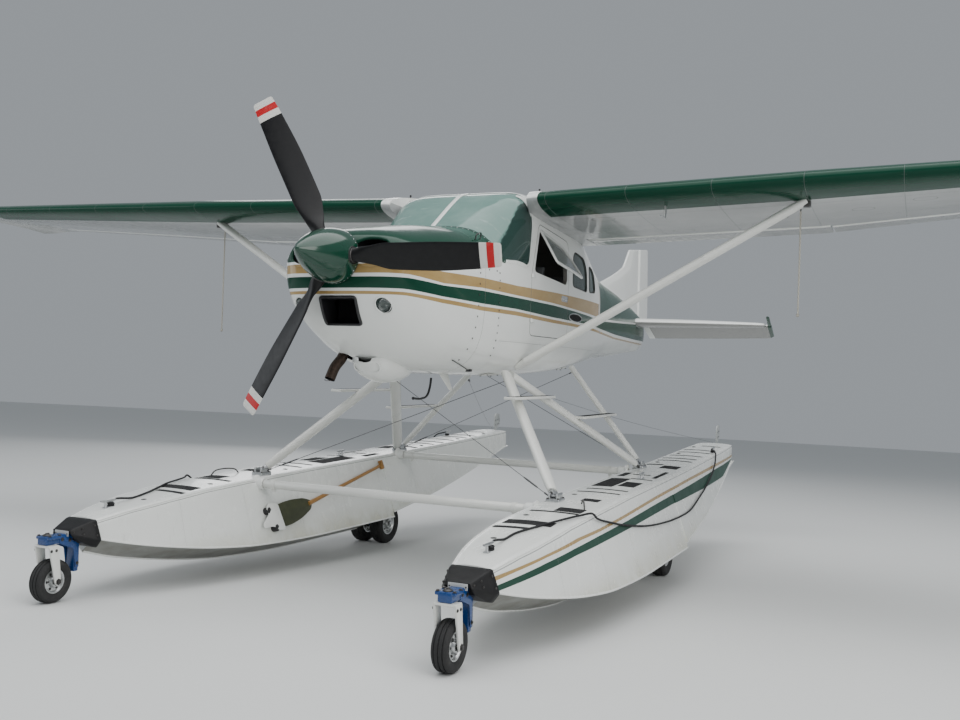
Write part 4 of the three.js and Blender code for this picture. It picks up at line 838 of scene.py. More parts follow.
for side in (1, -1):
    layTieDown(side)
    layMooring(side)
print("ropes laid")


# the fuselage's skin
# y, half width, top, bottom, height of the widest line, and the corner powers above and below it
skinRows = [(-1.012, 0.270, 0.070, -0.180, -0.050, 2.2, 2.2),
            (-1.004, 0.318, 0.098, -0.216, -0.050, 2.3, 2.3),
            (-0.980, 0.372, 0.130, -0.276, -0.050, 2.4, 2.4),
            (-0.940, 0.416, 0.156, -0.360, -0.052, 2.5, 2.5),
            (-0.870, 0.452, 0.184, -0.448, -0.055, 2.6, 2.5),
            (-0.740, 0.480, 0.214, -0.545, -0.060, 2.7, 2.5),
            (-0.560, 0.505, 0.250, -0.628, -0.065, 2.7, 2.6),
            (-0.300, 0.530, 0.296, -0.684, -0.070, 2.7, 3.0),
            (0.000, 0.548, 0.334, -0.702, -0.075, 2.7, 3.4),
            (0.190, 0.555, 0.356, -0.706, -0.080, 2.75, 3.9),
            (0.232, 0.556, 0.362, -0.706, -0.080, 2.8, 4.0),
            (0.262, 0.556, 0.382, -0.706, -0.081, 2.95, 4.0),
            (0.400, 0.558, 0.480, -0.708, -0.083, 3.7, 4.2),
            (0.560, 0.561, 0.590, -0.709, -0.086, 5.2, 4.5),
            (0.700, 0.563, 0.668, -0.710, -0.090, 6.8, 4.8),
            (0.900, 0.563, 0.714, -0.708, -0.090, 7.0, 4.8),
            (1.300, 0.563, 0.728, -0.696, -0.090, 6.5, 4.8),
            (1.800, 0.551, 0.704, -0.675, -0.090, 5.6, 4.5),
            (2.250, 0.525, 0.632, -0.645, -0.090, 4.2, 4.1),
            (2.740, 0.476, 0.482, -0.604, -0.090, 3.1, 3.6),
            (3.050, 0.437, 0.392, -0.580, -0.090, 2.7, 3.2),
            (3.500, 0.386, 0.326, -0.545, -0.095, 2.5, 2.7),
            (4.300, 0.290, 0.256, -0.487, -0.100, 2.4, 2.5),
            (5.100, 0.192, 0.160, -0.428, -0.110, 2.3, 2.4),
            (5.700, 0.122, 0.070, -0.386, -0.130, 2.2, 2.3),
            (5.980, 0.062, 0.016, -0.330, -0.150, 2.2, 2.2)]


# A section is a superellipse, |x/half|^p + |z/reach|^p = 1, walked by its polar angle from the top centre
# (u = 0) round the left side to the bottom centre (u = 1), and then spaced evenly by length. Negative u is
# the right side.
class Skin:
    def __init__(self, rows, first, last, inset=0.0, step=0.010, count=241):
        self.y = np.linspace(first, last, int((last - first) / step) + 2)
        half, top, bottom, mid, up, down = follow(rows, self.y)[:, :, None]
        angle = np.linspace(0, np.pi, 721)[None]
        c, s = np.cos(angle), np.sin(angle)
        p = np.where(c > 0, up, down)
        r = (np.abs(c) ** p + np.abs(s) ** p) ** (-1 / p)
        x = (half - inset) * r * s
        z = mid + (np.where(c > 0, top - mid, mid - bottom) - inset) * r * c
        d = np.concatenate([np.zeros((len(self.y), 1)), np.cumsum(np.hypot(np.diff(x), np.diff(z)), 1)], 1)
        u = np.linspace(0, 1, count)
        self.x = np.array([np.interp(u * k[-1], k, v) for k, v in zip(d, x)])
        self.z = np.array([np.interp(u * k[-1], k, v) for k, v in zip(d, z)])
        self.x[:, [0, -1]] = 0
        self.length = float(d[:, -1].max())
        self.count = count

    def at(self, y, u):
        y, u = np.broadcast_arrays(np.asarray(y, float), np.asarray(u, float))
        fy = np.clip((y - self.y[0]) / (self.y[1] - self.y[0]), 0, len(self.y) - 1.001)
        fu = np.clip(np.abs(u), 0, 1) * (self.count - 1)
        i, j = fy.astype(int), np.minimum(fu.astype(int), self.count - 2)
        a, b = fy - i, fu - j
        take = lambda t: (t[i, j] * (1 - a) * (1 - b) + t[i + 1, j] * a * (1 - b)
                          + t[i, j + 1] * (1 - a) * b + t[i + 1, j + 1] * a * b)
        return np.stack([take(self.x) * np.where(u < 0, -1, 1), y, take(self.z)], -1)

    def lay(self, y, u):
        y, u = np.asarray(y, float), np.asarray(u, float)
        e = 0.012
        sign = np.where(u < 0, -1.0, 1.0)
        a = np.abs(u)
        py = self.at(np.minimum(y + e, self.y[-1]), a) - self.at(np.maximum(y - e, self.y[0]), a)
        pu = self.at(y, np.minimum(a + e / 2, 1)) - self.at(y, np.maximum(a - e / 2, 0))
        n = unit(np.cross(pu, py))
        n = np.where((np.abs(a) < 1e-6)[..., None] | (np.abs(a - 1) < 1e-6)[..., None], n * [0, 1, 1], n)
        return self.at(y, u), unit(n) * np.stack([sign, np.ones_like(sign), np.ones_like(sign)], -1)

    # u of the left side's point at a station and a height
    def uOf(self, y, z):
        y, z = np.atleast_1d(y).astype(float), np.atleast_1d(z).astype(float)
        u = np.linspace(0, 1, self.count)
        return np.array([np.interp(-b, -self.at(a, u)[:, 2], u) for a, b in zip(y, z)])

    def loop(self, outline, side=1, step=0.02):
        outline = denser(np.asarray(outline, float), step)
        return np.stack([outline[:, 0], side * self.uOf(outline[:, 0], outline[:, 1])], -1)


skin = Skin(skinRows, -1.012, 5.980)
door = {"outline": [(0.800, -0.395), (1.612, -0.395), (1.672, -0.325), (1.672, 0.300), (1.632, 0.420),
                    (0.960, 0.470), (0.926, 0.440), (0.812, 0.090)],
        "window": [(0.872, 0.102), (1.596, 0.064), (1.626, 0.100), (1.600, 0.250), (1.530, 0.352),
                   (1.000, 0.428), (0.962, 0.412)],
        "gap": 0.005, "thick": 0.034, "corner": 0.055}
rearWindows = [[(1.790, 0.066), (2.232, 0.054), (2.244, 0.088), (2.226, 0.250), (2.140, 0.338),
                (1.836, 0.360), (1.790, 0.320)],
               [(2.336, 0.058), (2.560, 0.072), (2.592, 0.100), (2.560, 0.262), (2.420, 0.296),
                (2.336, 0.286)]]
glass = {"wall": 0.005, "base": [(0.290, 0.118), (0.262, 0.180), (0.236, 0.245)], "front": 0.238,
         "rear": 0.800, "pillar": [(0.700, 0.118), (0.752, 0.150), (0.800, 0.420), (0.808, 0.560),
                                   (0.786, 0.628), (0.738, 0.655)]}

lines = {"goldTop": [(-1.02, -0.045), (-0.9, -0.045), (-0.55, -0.051), (-0.05, -0.040), (0.53, -0.042),
                     (1.3, -0.026), (2.15, -0.016), (2.9, -0.011)],
         "goldLow": [(-1.02, -0.100), (-0.9, -0.100), (-0.55, -0.123), (-0.05, -0.108), (0.53, -0.112),
                     (1.3, -0.113), (2.15, -0.130), (2.9, -0.140)],
         "greenTop": [(-1.02, -0.122), (-0.9, -0.122), (-0.55, -0.137), (-0.05, -0.127), (0.53, -0.129),
                      (1.3, -0.130), (2.15, -0.147), (2.97, -0.165), (3.86, -0.134), (5.41, -0.072),
                      (6.0, -0.050)],
         "greenLow": [(-1.02, -0.190), (-0.9, -0.190), (-0.55, -0.207), (-0.05, -0.214), (0.53, -0.212),
                      (1.3, -0.227), (2.15, -0.229), (2.64, -0.234), (3.75, -0.260), (5.1, -0.262),
                      (6.0, -0.258)],
         "thinTop": [(-1.02, -0.208), (-0.9, -0.208), (-0.55, -0.222), (-0.05, -0.233), (0.53, -0.229),
                     (1.3, -0.244), (2.15, -0.249), (2.6, -0.255), (3.75, -0.288), (6.0, -0.290)],
         "thinLow": [(-1.02, -0.227), (-0.9, -0.227), (-0.55, -0.248), (-0.05, -0.262), (0.53, -0.260),
                     (1.3, -0.272), (2.36, -0.274), (3.76, -0.306), (6.0, -0.306)],
         "panelTop": [(2.83, 0.232), (3.5, 0.220), (4.22, 0.188), (5.1, 0.100), (5.75, -0.004),
                      (6.0, -0.040)],
         "panelLow": [(2.83, -0.146), (2.97, -0.146), (3.86, -0.114), (5.41, -0.050), (6.0, -0.028)],
         "cowlTop": [(-1.02, -0.030), (-0.75, -0.012), (-0.35, 0.032), (0.25, 0.128)], "cowlEnd": 0.252,
         "panelStart": 2.86, "goldEnd": 2.80}


# The paint scheme of the whole fuselage, laid by height over station: green cowl top, wide gold, green and
# thin gold stripes along the sides, and a green panel with pale borders on the tail cone
def fuselagePaint(name):
    f = Finish(name, Coat_Roughness=0.05, Specular_IOR_Level=0.06)
    at, (x, y, z) = f.airframe()
    between = lambda low, high: f.between(y, z, lines, low, high)
    gold = (between("goldLow", "goldTop") * (y < lines["goldEnd"])).most(between("thinLow", "thinTop"))
    gold = gold.most((y > lines["goldEnd"] + 0.022) * (y < lines["goldEnd"] + 0.038)
                     * between("goldLow", "panelTop"))
    green = between("greenLow", "greenTop")
    green = green.most(between("panelLow", "panelTop") * (y > lines["panelStart"]))
    green = green.most((z > f.along(y, lines["cowlTop"])) * (y < lines["cowlEnd"]))
    haze = f.noise(at, 2.2, 5, 0.6)
    grime = f.noise(f.stretched(at, (1, 0.35, 1)), 7, 6, 0.7)
    white = f.mix(f.span(haze, 0.35, 0.75, 0, 0.5), paint["white"], tuple(c * 0.9 for c in paint["white"]))
    white = f.mix(f.span(z, -0.45, -0.75, 0, 1) * f.span(grime, 0.45, 0.8, 0, 0.35), white, paint["dirt"])
    faded = f.mix(f.span(grime, 0.35, 0.7), paint["gold"], (0.43, 0.30, 0.125))
    base = f.mix(gold, f.mix(green, white, paint["green"]), faded)
    # lap seams round the tail cone and under the floor, each with a row of rivets beside it
    bay = abs((y + 0.02).inBay(0.47))
    aft = (y > 2.70)
    sill = abs(z + 0.455)
    cabin = (y > 0.28) * (y < 2.75) * (z < -0.30)
    seam = (f.span(bay, 0.0012, 0.0028, 1, 0) * aft).most(f.span(sill, 0.0012, 0.0028, 1, 0) * cabin)
    rivet = 0.0020
    rivets = (f.dot(bay - 0.013, z.inBay(0.030), rivet)
              * aft).most(f.dot(sill - 0.013, y.inBay(0.030), rivet) * cabin)
    base = f.mix(seam * 0.35, base, (0.16, 0.17, 0.17))
    f.set("Base Color", f.mix(rivets * 0.2, base, (0.30, 0.31, 0.30)))
    f.set("Coat Weight",
          f.span(haze, 0.3, 0.8, 0.8, 0.55) * (1 - green * 0.55)
          * (1 - green * (y > lines["panelStart"]) * 0.75))
    f.set("Roughness", f.span(haze, 0.3, 0.75, 0.13, 0.2) + green * 0.03)
    # the skin's slight waves under the seams
    wave = f.noise(f.stretched(at, (1, 0.6, 1)), 3.4, 2, 0.4)
    f.bump(wave + rivets * 0.12 - seam * 0.3, 0.0032)
    return f.material


bodyPaint = fuselagePaint("fuselagePaint")
trimGrey = rough("cabinTrim", (0.20, 0.19, 0.175), (0.27, 0.26, 0.24), 240, 0.75, 0.0004)
carpet = rough("carpet", (0.035, 0.034, 0.036), (0.07, 0.068, 0.066), 420, 0.95, 0.0015)


def glazing(name, tint, clearness, reflectionStreaks=0.0):
    # thin acrylic: a tinted see-through sheet whose gloss grows with the viewing angle
    f = Finish(name, Roughness=0.03, IOR=1.49)
    at = f.airframe()[0]
    f.set("Base Color", f.mix(f.noise(at, 1.4, 3), tint, tuple(c * 0.82 for c in tint)))
    alpha = f.span(f.node("ShaderNodeLayerWeight", {}, {"Blend": 0.35}, 1), 0, 1, 1 - clearness, 0.92)
    if reflectionStreaks:
        # painted reflection: pale streaks and cloudy pale patches over the glass, standing in for the bright
        # sky reflected in it
        fan = f.noise(f.stretched(at, (2.2, 9, 5), (0.5, 0.3, 0.9)), 2.1, 3, 0.5)
        reflectionCloud = f.noise(at, 3.2, 5, 0.6)
        reflectionStreak = f.span(fan, 0.60, 0.68, 0, reflectionStreaks) * f.span(reflectionCloud, 0.35, 0.6)
        f.set("Base Color", f.mix(reflectionStreak.most(f.span(reflectionCloud, 0.45, 0.8, 0, 0.28)), tint, (0.50, 0.62, 0.58)))
        alpha = alpha.most(reflectionStreak)
        f.set("Roughness", f.span(reflectionCloud, 0.3, 0.8, 0.03, 0.12))
    f.set("Alpha", alpha)
    return f.material


# painted reflection: the windshield's front takes a far paler tint than the side glass of the same acrylic,
# and pale streaks
screenGlass = glazing("screenGlass", (0.17, 0.30, 0.265), 0.42, 0.6)
sideGlass = glazing("sideGlass", (0.035, 0.075, 0.066), 0.50)
clearGlass = glazing("clearGlass", (0.045, 0.075, 0.068), 0.60)


def skinLoop(low, high, first, last):
    # rectangle over stations first..last and girth low..high
    return [(first, low), (last, low), (last, high), (first, high)]


def screenLoop(grow=0.0):
    base = [(glass["front"], 0.0), *[(y, float(skin.uOf(y, z)[0])) for y, z in reversed(glass["base"])]]
    side = [(y, float(skin.uOf(y, z)[0])) for y, z in glass["pillar"]]
    half = [*base, *side, (glass["rear"], 0.28), (glass["rear"], 0.0)]
    left = np.array(half)
    right = left[::-1] * [1, -1]
    loop = np.vstack([left, right[1:-1]]) * [1, skin.length]
    loop = roundedLoop(loop, 0.03, 4)
    if grow:
        loop = offsetLoop(denser(loop, 0.03), grow)
    return loop / [1, skin.length]


def doorLoop(outline, side, grow=0.0, corner=None):
    loop = roundedLoop(outline, door["corner"] if corner is None else corner, 5)
    if grow:
        loop = offsetLoop(loop, grow)
    return skin.loop(loop, side, 0.03)


def makeCabin():
    holes = [screenLoop()]
    for side in (1, -1):
        holes.append(doorLoop(door["outline"], side))
        holes += [doorLoop(w, side, 0, 0.05) for w in rearWindows]
    shell = panel(skinLoop(-1, 1, 0.0, 2.740), holes, skin.lay, 0.030, 0.026, (1, skin.length), mat=0,
                  wallMat=1)
    # floor, firewall and rear wall inside
    lining = Skin(skinRows, 0.0, 2.75, 0.024, 0.02, 121)
    y = np.linspace(0.03, 2.59, 60)
    u = lining.uOf(y, np.full(60, -0.412))
    edge = lining.at(y, u)
    across = np.linspace(-1, 1, 13)
    top = np.stack([edge[:, :1] * across, np.repeat(y[:, None], 13, 1), np.full((60, 13), -0.412)], -1)
    shell.join(sheetOf(top, uv=np.stack([top[..., 0], top[..., 1]], -1)), 2)
    shell.join(sheetOf(top - [0, 0, 0.02], True), 1)
    for at, turn, mat in ((0.028, False, 3), (2.700, True, 1)):
        ring = lining.at(at, np.linspace(-1, 1, 97)[:-1])
        middle = ring.mean(0)
        rows = np.stack([lerp(middle, ring, k) for k in (0.02, 0.35, 0.7, 1.0)])
        shell.join(sheetOf(wrapped(rows), turn), mat)
    shell.piece("cabin_skin", "airframe", [bodyPaint, trimGrey, carpet, satinBlack], ["cabin_shell"],
                "white_paint", 40)


def makeScreen():
    inner = Skin(skinRows, 0.1, 1.0, 0.003, 0.01, 241)
    loop = screenLoop(-0.001)
    shell = panel(loop, [], inner.lay, 0.024, glass["wall"], (1, skin.length), mat=0)
    # painted reflection and shade: the front glass is kept pale and the side glass behind the fold darker;
    # faces on the side of it take the second glass
    co = np.vstack(shell.points)
    fold = lambda p: (np.abs(p[:, 0]) > 0.505) & (p[:, 2] < 0.228 + (p[:, 1] - 0.27) * 0.862 + 0.01)
    split = []
    for f, _ in shell.faces:
        dark = fold(co[f].mean(1))
        split += [(f[~dark], 0), (f[dark], 1)]
    shell.faces = [(f, m) for f, m in split if len(f)]
    shell.piece("windshield_glass", "airframe", [screenGlass, sideGlass], ["windshield"], "tinted_glazing",
                40)
    # centre strip, a low rail up the middle of the glass, and the strip along its edge with its screws
    trim = Shape()
    y = np.linspace(glass["front"] - 0.012, glass["rear"] + 0.012, 40)
    mid = skin.at(y, 0.0)
    n = skin.lay(y, np.full(40, 0.0))[1]
    across = np.array([[-0.017, -0.002], [-0.017, 0.0025], [-0.009, 0.005], [0.009, 0.005], [0.017, 0.0025],
                       [0.017, -0.002]])
    rings = mid[:, None] + across[None, :, :1] * [1, 0, 0] + across[None, :, 1:] * n[:, None]
    trim.join(loft(rings))
    size = np.array([1, skin.length])
    edge = denser(screenLoop(0.011) * size, 0.012) / size
    outer, inner = (offsetLoop(edge * size, by) / size for by in (0.011, -0.016))
    bands = []
    for loop, lift in ((outer, -0.001), (outer, 0.0015), (edge, 0.0026), (inner, 0.0015), (inner, -0.001)):
        p, n = skin.lay(loop[:, 0], loop[:, 1])
        bands.append(p + n * lift)
    flat = facing(sheetOf(wrapped(np.stack(bands))), (1, 0, 1), 0)
    co, f = np.vstack(flat.points), flat.faces[0][0]
    front = co[f].mean(1)[:, 1] < glass["front"] + 0.09
    flat.faces = [(f[~front], 0), (f[front], 1)]
    trim.join(flat)
    trim.piece("windshield_trim", "airframe", [whitePaint, greenPaint], slot="white_paint", sharp=50)
    screws = edge[:: 6]
    p, n = skin.lay(screws[:, 0], screws[:, 1])
    scattered(dome(0.0035, 0.0014, 8, 2), p + n * 0.0024, n).piece("windshield_screws", "airframe",
            [polished], slot="bare_alloy", merge=False)


windowTilt = {"x": 0.543, "y": 1.000, "z": 0.428, "axis": (0, 0.530, -0.076), "openDeg": 33}


def openWindow():
    at = Matrix.Translation((windowTilt["x"], windowTilt["y"], windowTilt["z"]))
    return at @ Matrix.Rotation(math.radians(-windowTilt["openDeg"]), 4,
                                Vector(windowTilt["axis"]).normalized()) @ at.inverted()


def makeDoor(side):
    name = sideName(side)
    leaf = panel(doorLoop(door["outline"], 1, -door["gap"]), [doorLoop(door["window"], 1, 0.006, 0.04)],
                 skin.lay, 0.030, door["thick"], (1, skin.length), mat=0, wallMat=1)
    # hinge barrels with their straps, the pull handle outside and the arm rest
    for z in (-0.280, 0.060):
        leaf.join(turnedShape(bar(-0.015, 0.015, 0.0085), (0.574, 0.796, z), (0, 0, 1), 16), 0)
        leaf.join(block((0.568, 0.800, z - 0.014), (0.5745, 0.868, z + 0.014), 0.002), 0)
    # a flush grip in its dished plate
    base, n = skin.lay(np.array([1.570]), skin.uOf(1.590, -0.060))
    base, n = base[0], n[0]
    loop = roundedLoop([(-0.075, -0.024), (0.075, -0.024), (0.075, 0.024), (-0.075, 0.024)], 0.02, 6)
    leaf.join(plate(loop, 0.005, base + n * 0.001, (0, 1, 0), (0, 0, 1), 0.002), 2)
    grip = roundedLoop([(-0.055, -0.009), (0.05, -0.012), (0.05, 0.012), (-0.055, 0.009)], 0.008, 5)
    leaf.join(plate(grip, 0.007, base + n * 0.007, (0, 1, 0), (0, 0, 1), 0.002), 2)
    leaf.join(block((0.485, 1.02, -0.165), (0.528, 1.40, -0.125), 0.012), 3)
    leaf.on(side).piece(f"door_leaf_{name}", f"door_{name}", [bodyPaint, trimGrey, polished, satinBlack],
                        [f"door_{name}"], "white_paint", 40)
    # window: a pane in a thin frame; the left one stands open round its top edge
    pane = Skin(skinRows, 0.7, 1.8, 0.010, 0.01, 241)
    window = panel(doorLoop(door["window"], 1, 0.003, 0.04), [], pane.lay, 0.035, 0.004, (1, skin.length),
                   mat=0)
    ring = panel(doorLoop(door["window"], 1, 0.004, 0.04), [doorLoop(door["window"], 1, -0.017, 0.03)],
                 skin.lay, 0.016, 0.014, (1, skin.length), mat=1)
    window.join(ring, 1)
    if side > 0:
        window = window.moved(openWindow())
    window.on(side).piece(f"door_pane_{name}", f"door_{name}", [clearGlass, whitePaint],
                          [f"door_window_{name}"], "clear_glazing", 40)


def makeRearWindows(side):
    name = sideName(side)
    pane = Skin(skinRows, 1.6, 2.74, 0.006, 0.01, 241)
    shape, rubber = Shape(), Shape()
    for w in rearWindows:
        shape.join(panel(doorLoop(w, 1, -0.002, 0.05), [], pane.lay, 0.03, 0.004, (1, skin.length)), 0)
        edge = denser(doorLoop(w, 1, 0.0, 0.05) * [1, skin.length], 0.012) / [1, skin.length]
        p, n = skin.lay(edge[:, 0], edge[:, 1])
        rubber.join(closedTube(p + n * 0.0005, 0.0042, n, 8))
    shape.on(side).piece(f"rear_panes_{name}", "airframe", [clearGlass], [f"side_window_{name}"],
                         "clear_glazing", 40)
    rubber.on(side).piece(f"rear_pane_seals_{name}", "airframe", [seamBlack], slot="bumper_rubber", sharp=60)


# A ring carried round a closed path, standing on the given normals
def closedTube(path, radius, normals, sides=8):
    t = unit(np.roll(path, -1, 0) - np.roll(path, 1, 0))
    a = unit(normals - np.einsum("ij,ij->i", normals, t)[:, None] * t)
    b = np.cross(t, a)
    angle = turns(sides)
    rings = path[:, None] + radius * (np.cos(angle)[None, :, None] * a[:, None]
                                      + np.sin(angle)[None, :, None] * b[:, None])
    m = len(path)
    i = np.arange(m)[:, None] * sides
    j = np.arange(sides)[None]
    k, nxt = (j + 1) % sides, (np.arange(m)[:, None] + 1) % m * sides
    faces = np.stack([i + j, i + k, nxt + k, nxt + j], -1).reshape(-1, 4)
    pts = rings.reshape(-1, 3)
    return Shape().add(pts, outward(pts - pts.mean(0), [faces]))


makeCabin()
makeScreen()
for side in (1, -1):
    makeDoor(side)
    makeRearWindows(side)
print("cabin, glass and doors made")


# cowling, laid by a map seen from the front: each point is named by its way out from the nose centre
# (an angle, and a length measured over the surface), so that one net covers front and sides
class Nose:
    def __init__(self, rows, first=-1.012, last=-0.002, inset=0.0):
        self.centre = np.array([0.0, -0.050])
        phi = np.linspace(-np.pi, np.pi, 361)
        y = first + (last - first) * np.linspace(0, 1, 240) ** 1.6
        half, top, bottom, mid, up, down = follow(rows, y)[:, None, :]
        d = np.stack([np.sin(phi), np.cos(phi)], -1)
        low, high = np.zeros((361, 240)), np.full((361, 240), 0.9)
        for k in range(34):
            r = (low + high) / 2
            x, z = r * d[:, :1], self.centre[1] + r * d[:, 1:]
            above = z > mid
            p = np.where(above, up, down)
            reach = np.where(above, top - mid, mid - bottom) - inset
            out = (np.abs(x) / (half - inset)) ** p + (np.abs(z - mid) / reach) ** p > 1
            high, low = np.where(out, r, high), np.where(out, low, r)
        s = np.concatenate([low[:, :1],
                            low[:, :1] + np.cumsum(np.hypot(np.diff(low, axis=1), np.diff(y)[None]), 1)], 1)
        self.reach = s[:, -1]
        self.s = np.linspace(0, float(s.max()), 600)
        self.r = np.array([np.interp(self.s, np.r_[0, a], np.r_[0, b]) for a, b in zip(s, low)])
        self.y = np.array([np.interp(self.s, a, y) for a in s])
        self.step = self.s[1]

    def point(self, q):
        q = np.asarray(q, float)
        phi, s = np.arctan2(q[..., 0], q[..., 1]), np.hypot(q[..., 0], q[..., 1])
        fi = np.clip((phi + np.pi) / (2 * np.pi) * 360, 0, 359.999)
        fj = np.clip(s / self.step, 0, 598.999)
        i, j = fi.astype(int), fj.astype(int)
        a, b = fi - i, fj - j
        take = lambda t: (t[i, j] * (1 - a) * (1 - b) + t[i + 1, j] * a * (1 - b)
                          + t[i, j + 1] * (1 - a) * b + t[i + 1, j + 1] * a * b)
        r = take(self.r)
        return np.stack([r * np.sin(phi), take(self.y), self.centre[1] + r * np.cos(phi)], -1)

    def lay(self, u, v):
        q = np.stack([u, v], -1)
        e = 0.004
        n = unit(np.cross(self.point(q + [e, 0]) - self.point(q - [e, 0]),
                          self.point(q + [0, e]) - self.point(q - [0, e])))
        return self.point(q), n * np.where(n[:, 1:2] > 0.2, -1, 1)

    # outline given by x and z as seen from the front, turned into the map's own plane
    def front(self, loop):
        loop = denser(np.asarray(loop, float), 0.012)
        d = loop - [0, self.centre[1]]
        phi, r = np.arctan2(d[:, 0], d[:, 1]), np.hypot(d[:, 0], d[:, 1])
        i = np.clip(np.rint((phi + np.pi) / (2 * np.pi) * 360).astype(int), 0, 360)
        s = np.array([np.interp(a, self.r[k] + np.arange(600) * 1e-9, self.s) for a, k in zip(r, i)])
        return np.stack([s * np.sin(phi), s * np.cos(phi)], -1)

    def rim(self):
        phi = np.linspace(-np.pi, np.pi, 361)[:-1:3]
        s = self.reach[:-1:3]
        return np.stack([s * np.sin(phi), s * np.cos(phi)], -1)


def oval(x, z, a, b, power=2.0, count=48):
    t = turns(count)
    c, s = np.cos(t), np.sin(t)
    return np.stack([x + a * np.sign(c) * np.abs(c) ** (2 / power),
                     z + b * np.sign(s) * np.abs(s) ** (2 / power)], -1)


nose = Nose(skinRows)
cowl = {"inlet": {"x": 0.236, "z": 0.032, "a": 0.120, "b": 0.086, "power": 2.3},
        "intake": {"z": -0.326, "a": 0.123, "b": 0.078, "corner": 0.014},
        "lamp": {"x": 0.298, "z": -0.290, "radius": 0.049}, "hub": 0.150, "wall": 0.004,
        "exhaust": {"x": -0.190, "y": -0.585, "a": 0.052, "b": 0.058}}


def lampLoop(side, grow=0.0):
    c = cowl["lamp"]
    return oval(side * c["x"], c["z"], c["radius"] + grow, c["radius"] + grow, 2, 32)


def intakeLoop(grow=0.0):
    c = cowl["intake"]
    a, b = c["a"] + grow, c["b"] + grow
    return roundedLoop([(-a, c["z"] - b), (a, c["z"] - b), (a, c["z"] + b), (-a, c["z"] + b)],
                       c["corner"] + max(grow, 0), 6)


def ringAlong(loop, base, radius, lift=0.0, sides=10):
    q = base.front(loop)
    p, n = base.lay(q[:, 0], q[:, 1])
    return closedTube(p + n * lift, radius, n, sides)


# throat: the opening's rim carried inward, shrinking, to a depth
def throat(loop, base, depth, shrink, rows=7, toward=(0, 1, 0)):
    q = base.front(loop)
    p, n = base.lay(q[:, 0], q[:, 1])
    t = np.linspace(0, 1, rows)[:, None, None]
    c = p.mean(0)
    grid = p[None] + t * np.asarray(toward) * depth + (c - p)[None] * [1, 0, 1] * t ** 2 * shrink
    return facing(sheetOf(wrapped(grid)), -1, c)


def makeCowl():
    i = cowl["inlet"]
    ovals = [oval(side * i["x"], i["z"], i["a"], i["b"], i["power"]) for side in (1, -1)]
    e = cowl["exhaust"]
    under = Skin(skinRows, -1.0, 0.0)
    openings = [*ovals, intakeLoop(), lampLoop(1), lampLoop(-1), oval(0, 0, cowl["hub"], cowl["hub"])]
    holes = [nose.front(loop) for loop in openings]
    # the exhaust leaves through the bottom, so its hole is laid by station and turned into the map
    a = turns(40)
    low = under.at(e["y"] + e["b"] * np.sin(a), -(1 - (abs(e["x"]) + e["a"] * np.cos(a)) / under.length))
    d = low[:, [0, 2]] - [0, nose.centre[1]]
    phi = np.arctan2(d[:, 0], d[:, 1])
    k = np.clip(np.rint((phi + np.pi) / (2 * np.pi) * 360).astype(int), 0, 360)
    s = np.array([np.interp(a, nose.y[j] + np.arange(600) * 1e-9, nose.s) for a, j in zip(low[:, 1], k)])
    holes.append(np.stack([s * np.sin(phi), s * np.cos(phi)], -1))
    shell = panel(nose.rim(), holes, nose.lay, 0.021, cowl["wall"], mat=0, wallMat=1)
    for o in ovals:
        shell.join(ringAlong(o, nose, 0.011, -0.003, 12), 2)
        shell.join(throat(o, nose, 0.105, 0.10), 1)
    shell.join(chinFairing())
    shell.piece("cowl_shell", "airframe", [bodyPaint, satinBlack, bodyPaint], ["cowling"], "white_paint", 42)
    # intake: black frame, a dark duct and a screen of fins
    duct = ringAlong(intakeLoop(0.004), nose, 0.0095, 0.001, 10)
    duct.join(throat(intakeLoop(-0.002), nose, 0.16, 0.0, 6))
    for x in np.linspace(-0.112, 0.112, 25):
        duct.join(boxBetween((x, -0.775, -0.405), (x, -0.775, -0.247), 0.040, 0.0022, 0.0005, (0, 1, 0)))
    for z in np.linspace(-0.395, -0.255, 9):
        duct.join(boxBetween((-0.122, -0.765, z), (0.122, -0.765, z), 0.010, 0.007, 0.002, (0, 1, 0)))
    duct.piece("intake_duct", "airframe", [satinBlack], slot="engine_metal", sharp=50)
    lamp = Shape()
    for side in (1, -1):
        q = nose.front(lampLoop(side))
        p, n = nose.lay(q[:, 0], q[:, 1])
        c, axis = p.mean(0), np.array([0.0, -1.0, 0.0])
        r = cowl["lamp"]["radius"]
        t = np.linspace(0, 1, 14)
        bowl = np.stack([-0.058 + 0.046 * t ** 2, 0.006 + (r - 0.010) * t], -1)
        lamp.join(turnedShape(np.vstack([bowl, bowl[::-1] + [-0.002, 0.002]]), c, axis, 48), 0)
        lamp.join(closedTube(p + n * 0.001, 0.0052, n, 10), 1)
        lamp.join(turnedShape([(-0.052, 0), (-0.052, 0.010), (-0.040, 0.012), (-0.030, 0.008), (-0.026, 0)],
                              c, axis, 24), 2)
        tt = np.linspace(0, 1, 9)[:, None, None]
        disc = c + (p - c)[None] * (1 - tt * 0.999) + axis * 0.004 * (1 - (1 - tt) ** 2)
        lamp.join(facing(sheetOf(wrapped(disc)), (0, -1, 0)), 3)
    lamp.piece("landing_lamps", "airframe", [polished, whitePaint, lampGlass, clearGlass],
               slot="clear_glazing", sharp=50)


# the fairing under the cowl, with two dark outlets side by side
chinRows = [(-0.640, 0.050, -0.610, -0.640), (-0.620, 0.096, -0.600, -0.664),
            (-0.560, 0.140, -0.600, -0.726), (-0.480, 0.156, -0.600, -0.756),
            (-0.400, 0.158, -0.600, -0.770), (-0.300, 0.148, -0.600, -0.766),
            (-0.220, 0.134, -0.600, -0.748), (-0.150, 0.112, -0.600, -0.724),
            (-0.090, 0.080, -0.600, -0.700)]


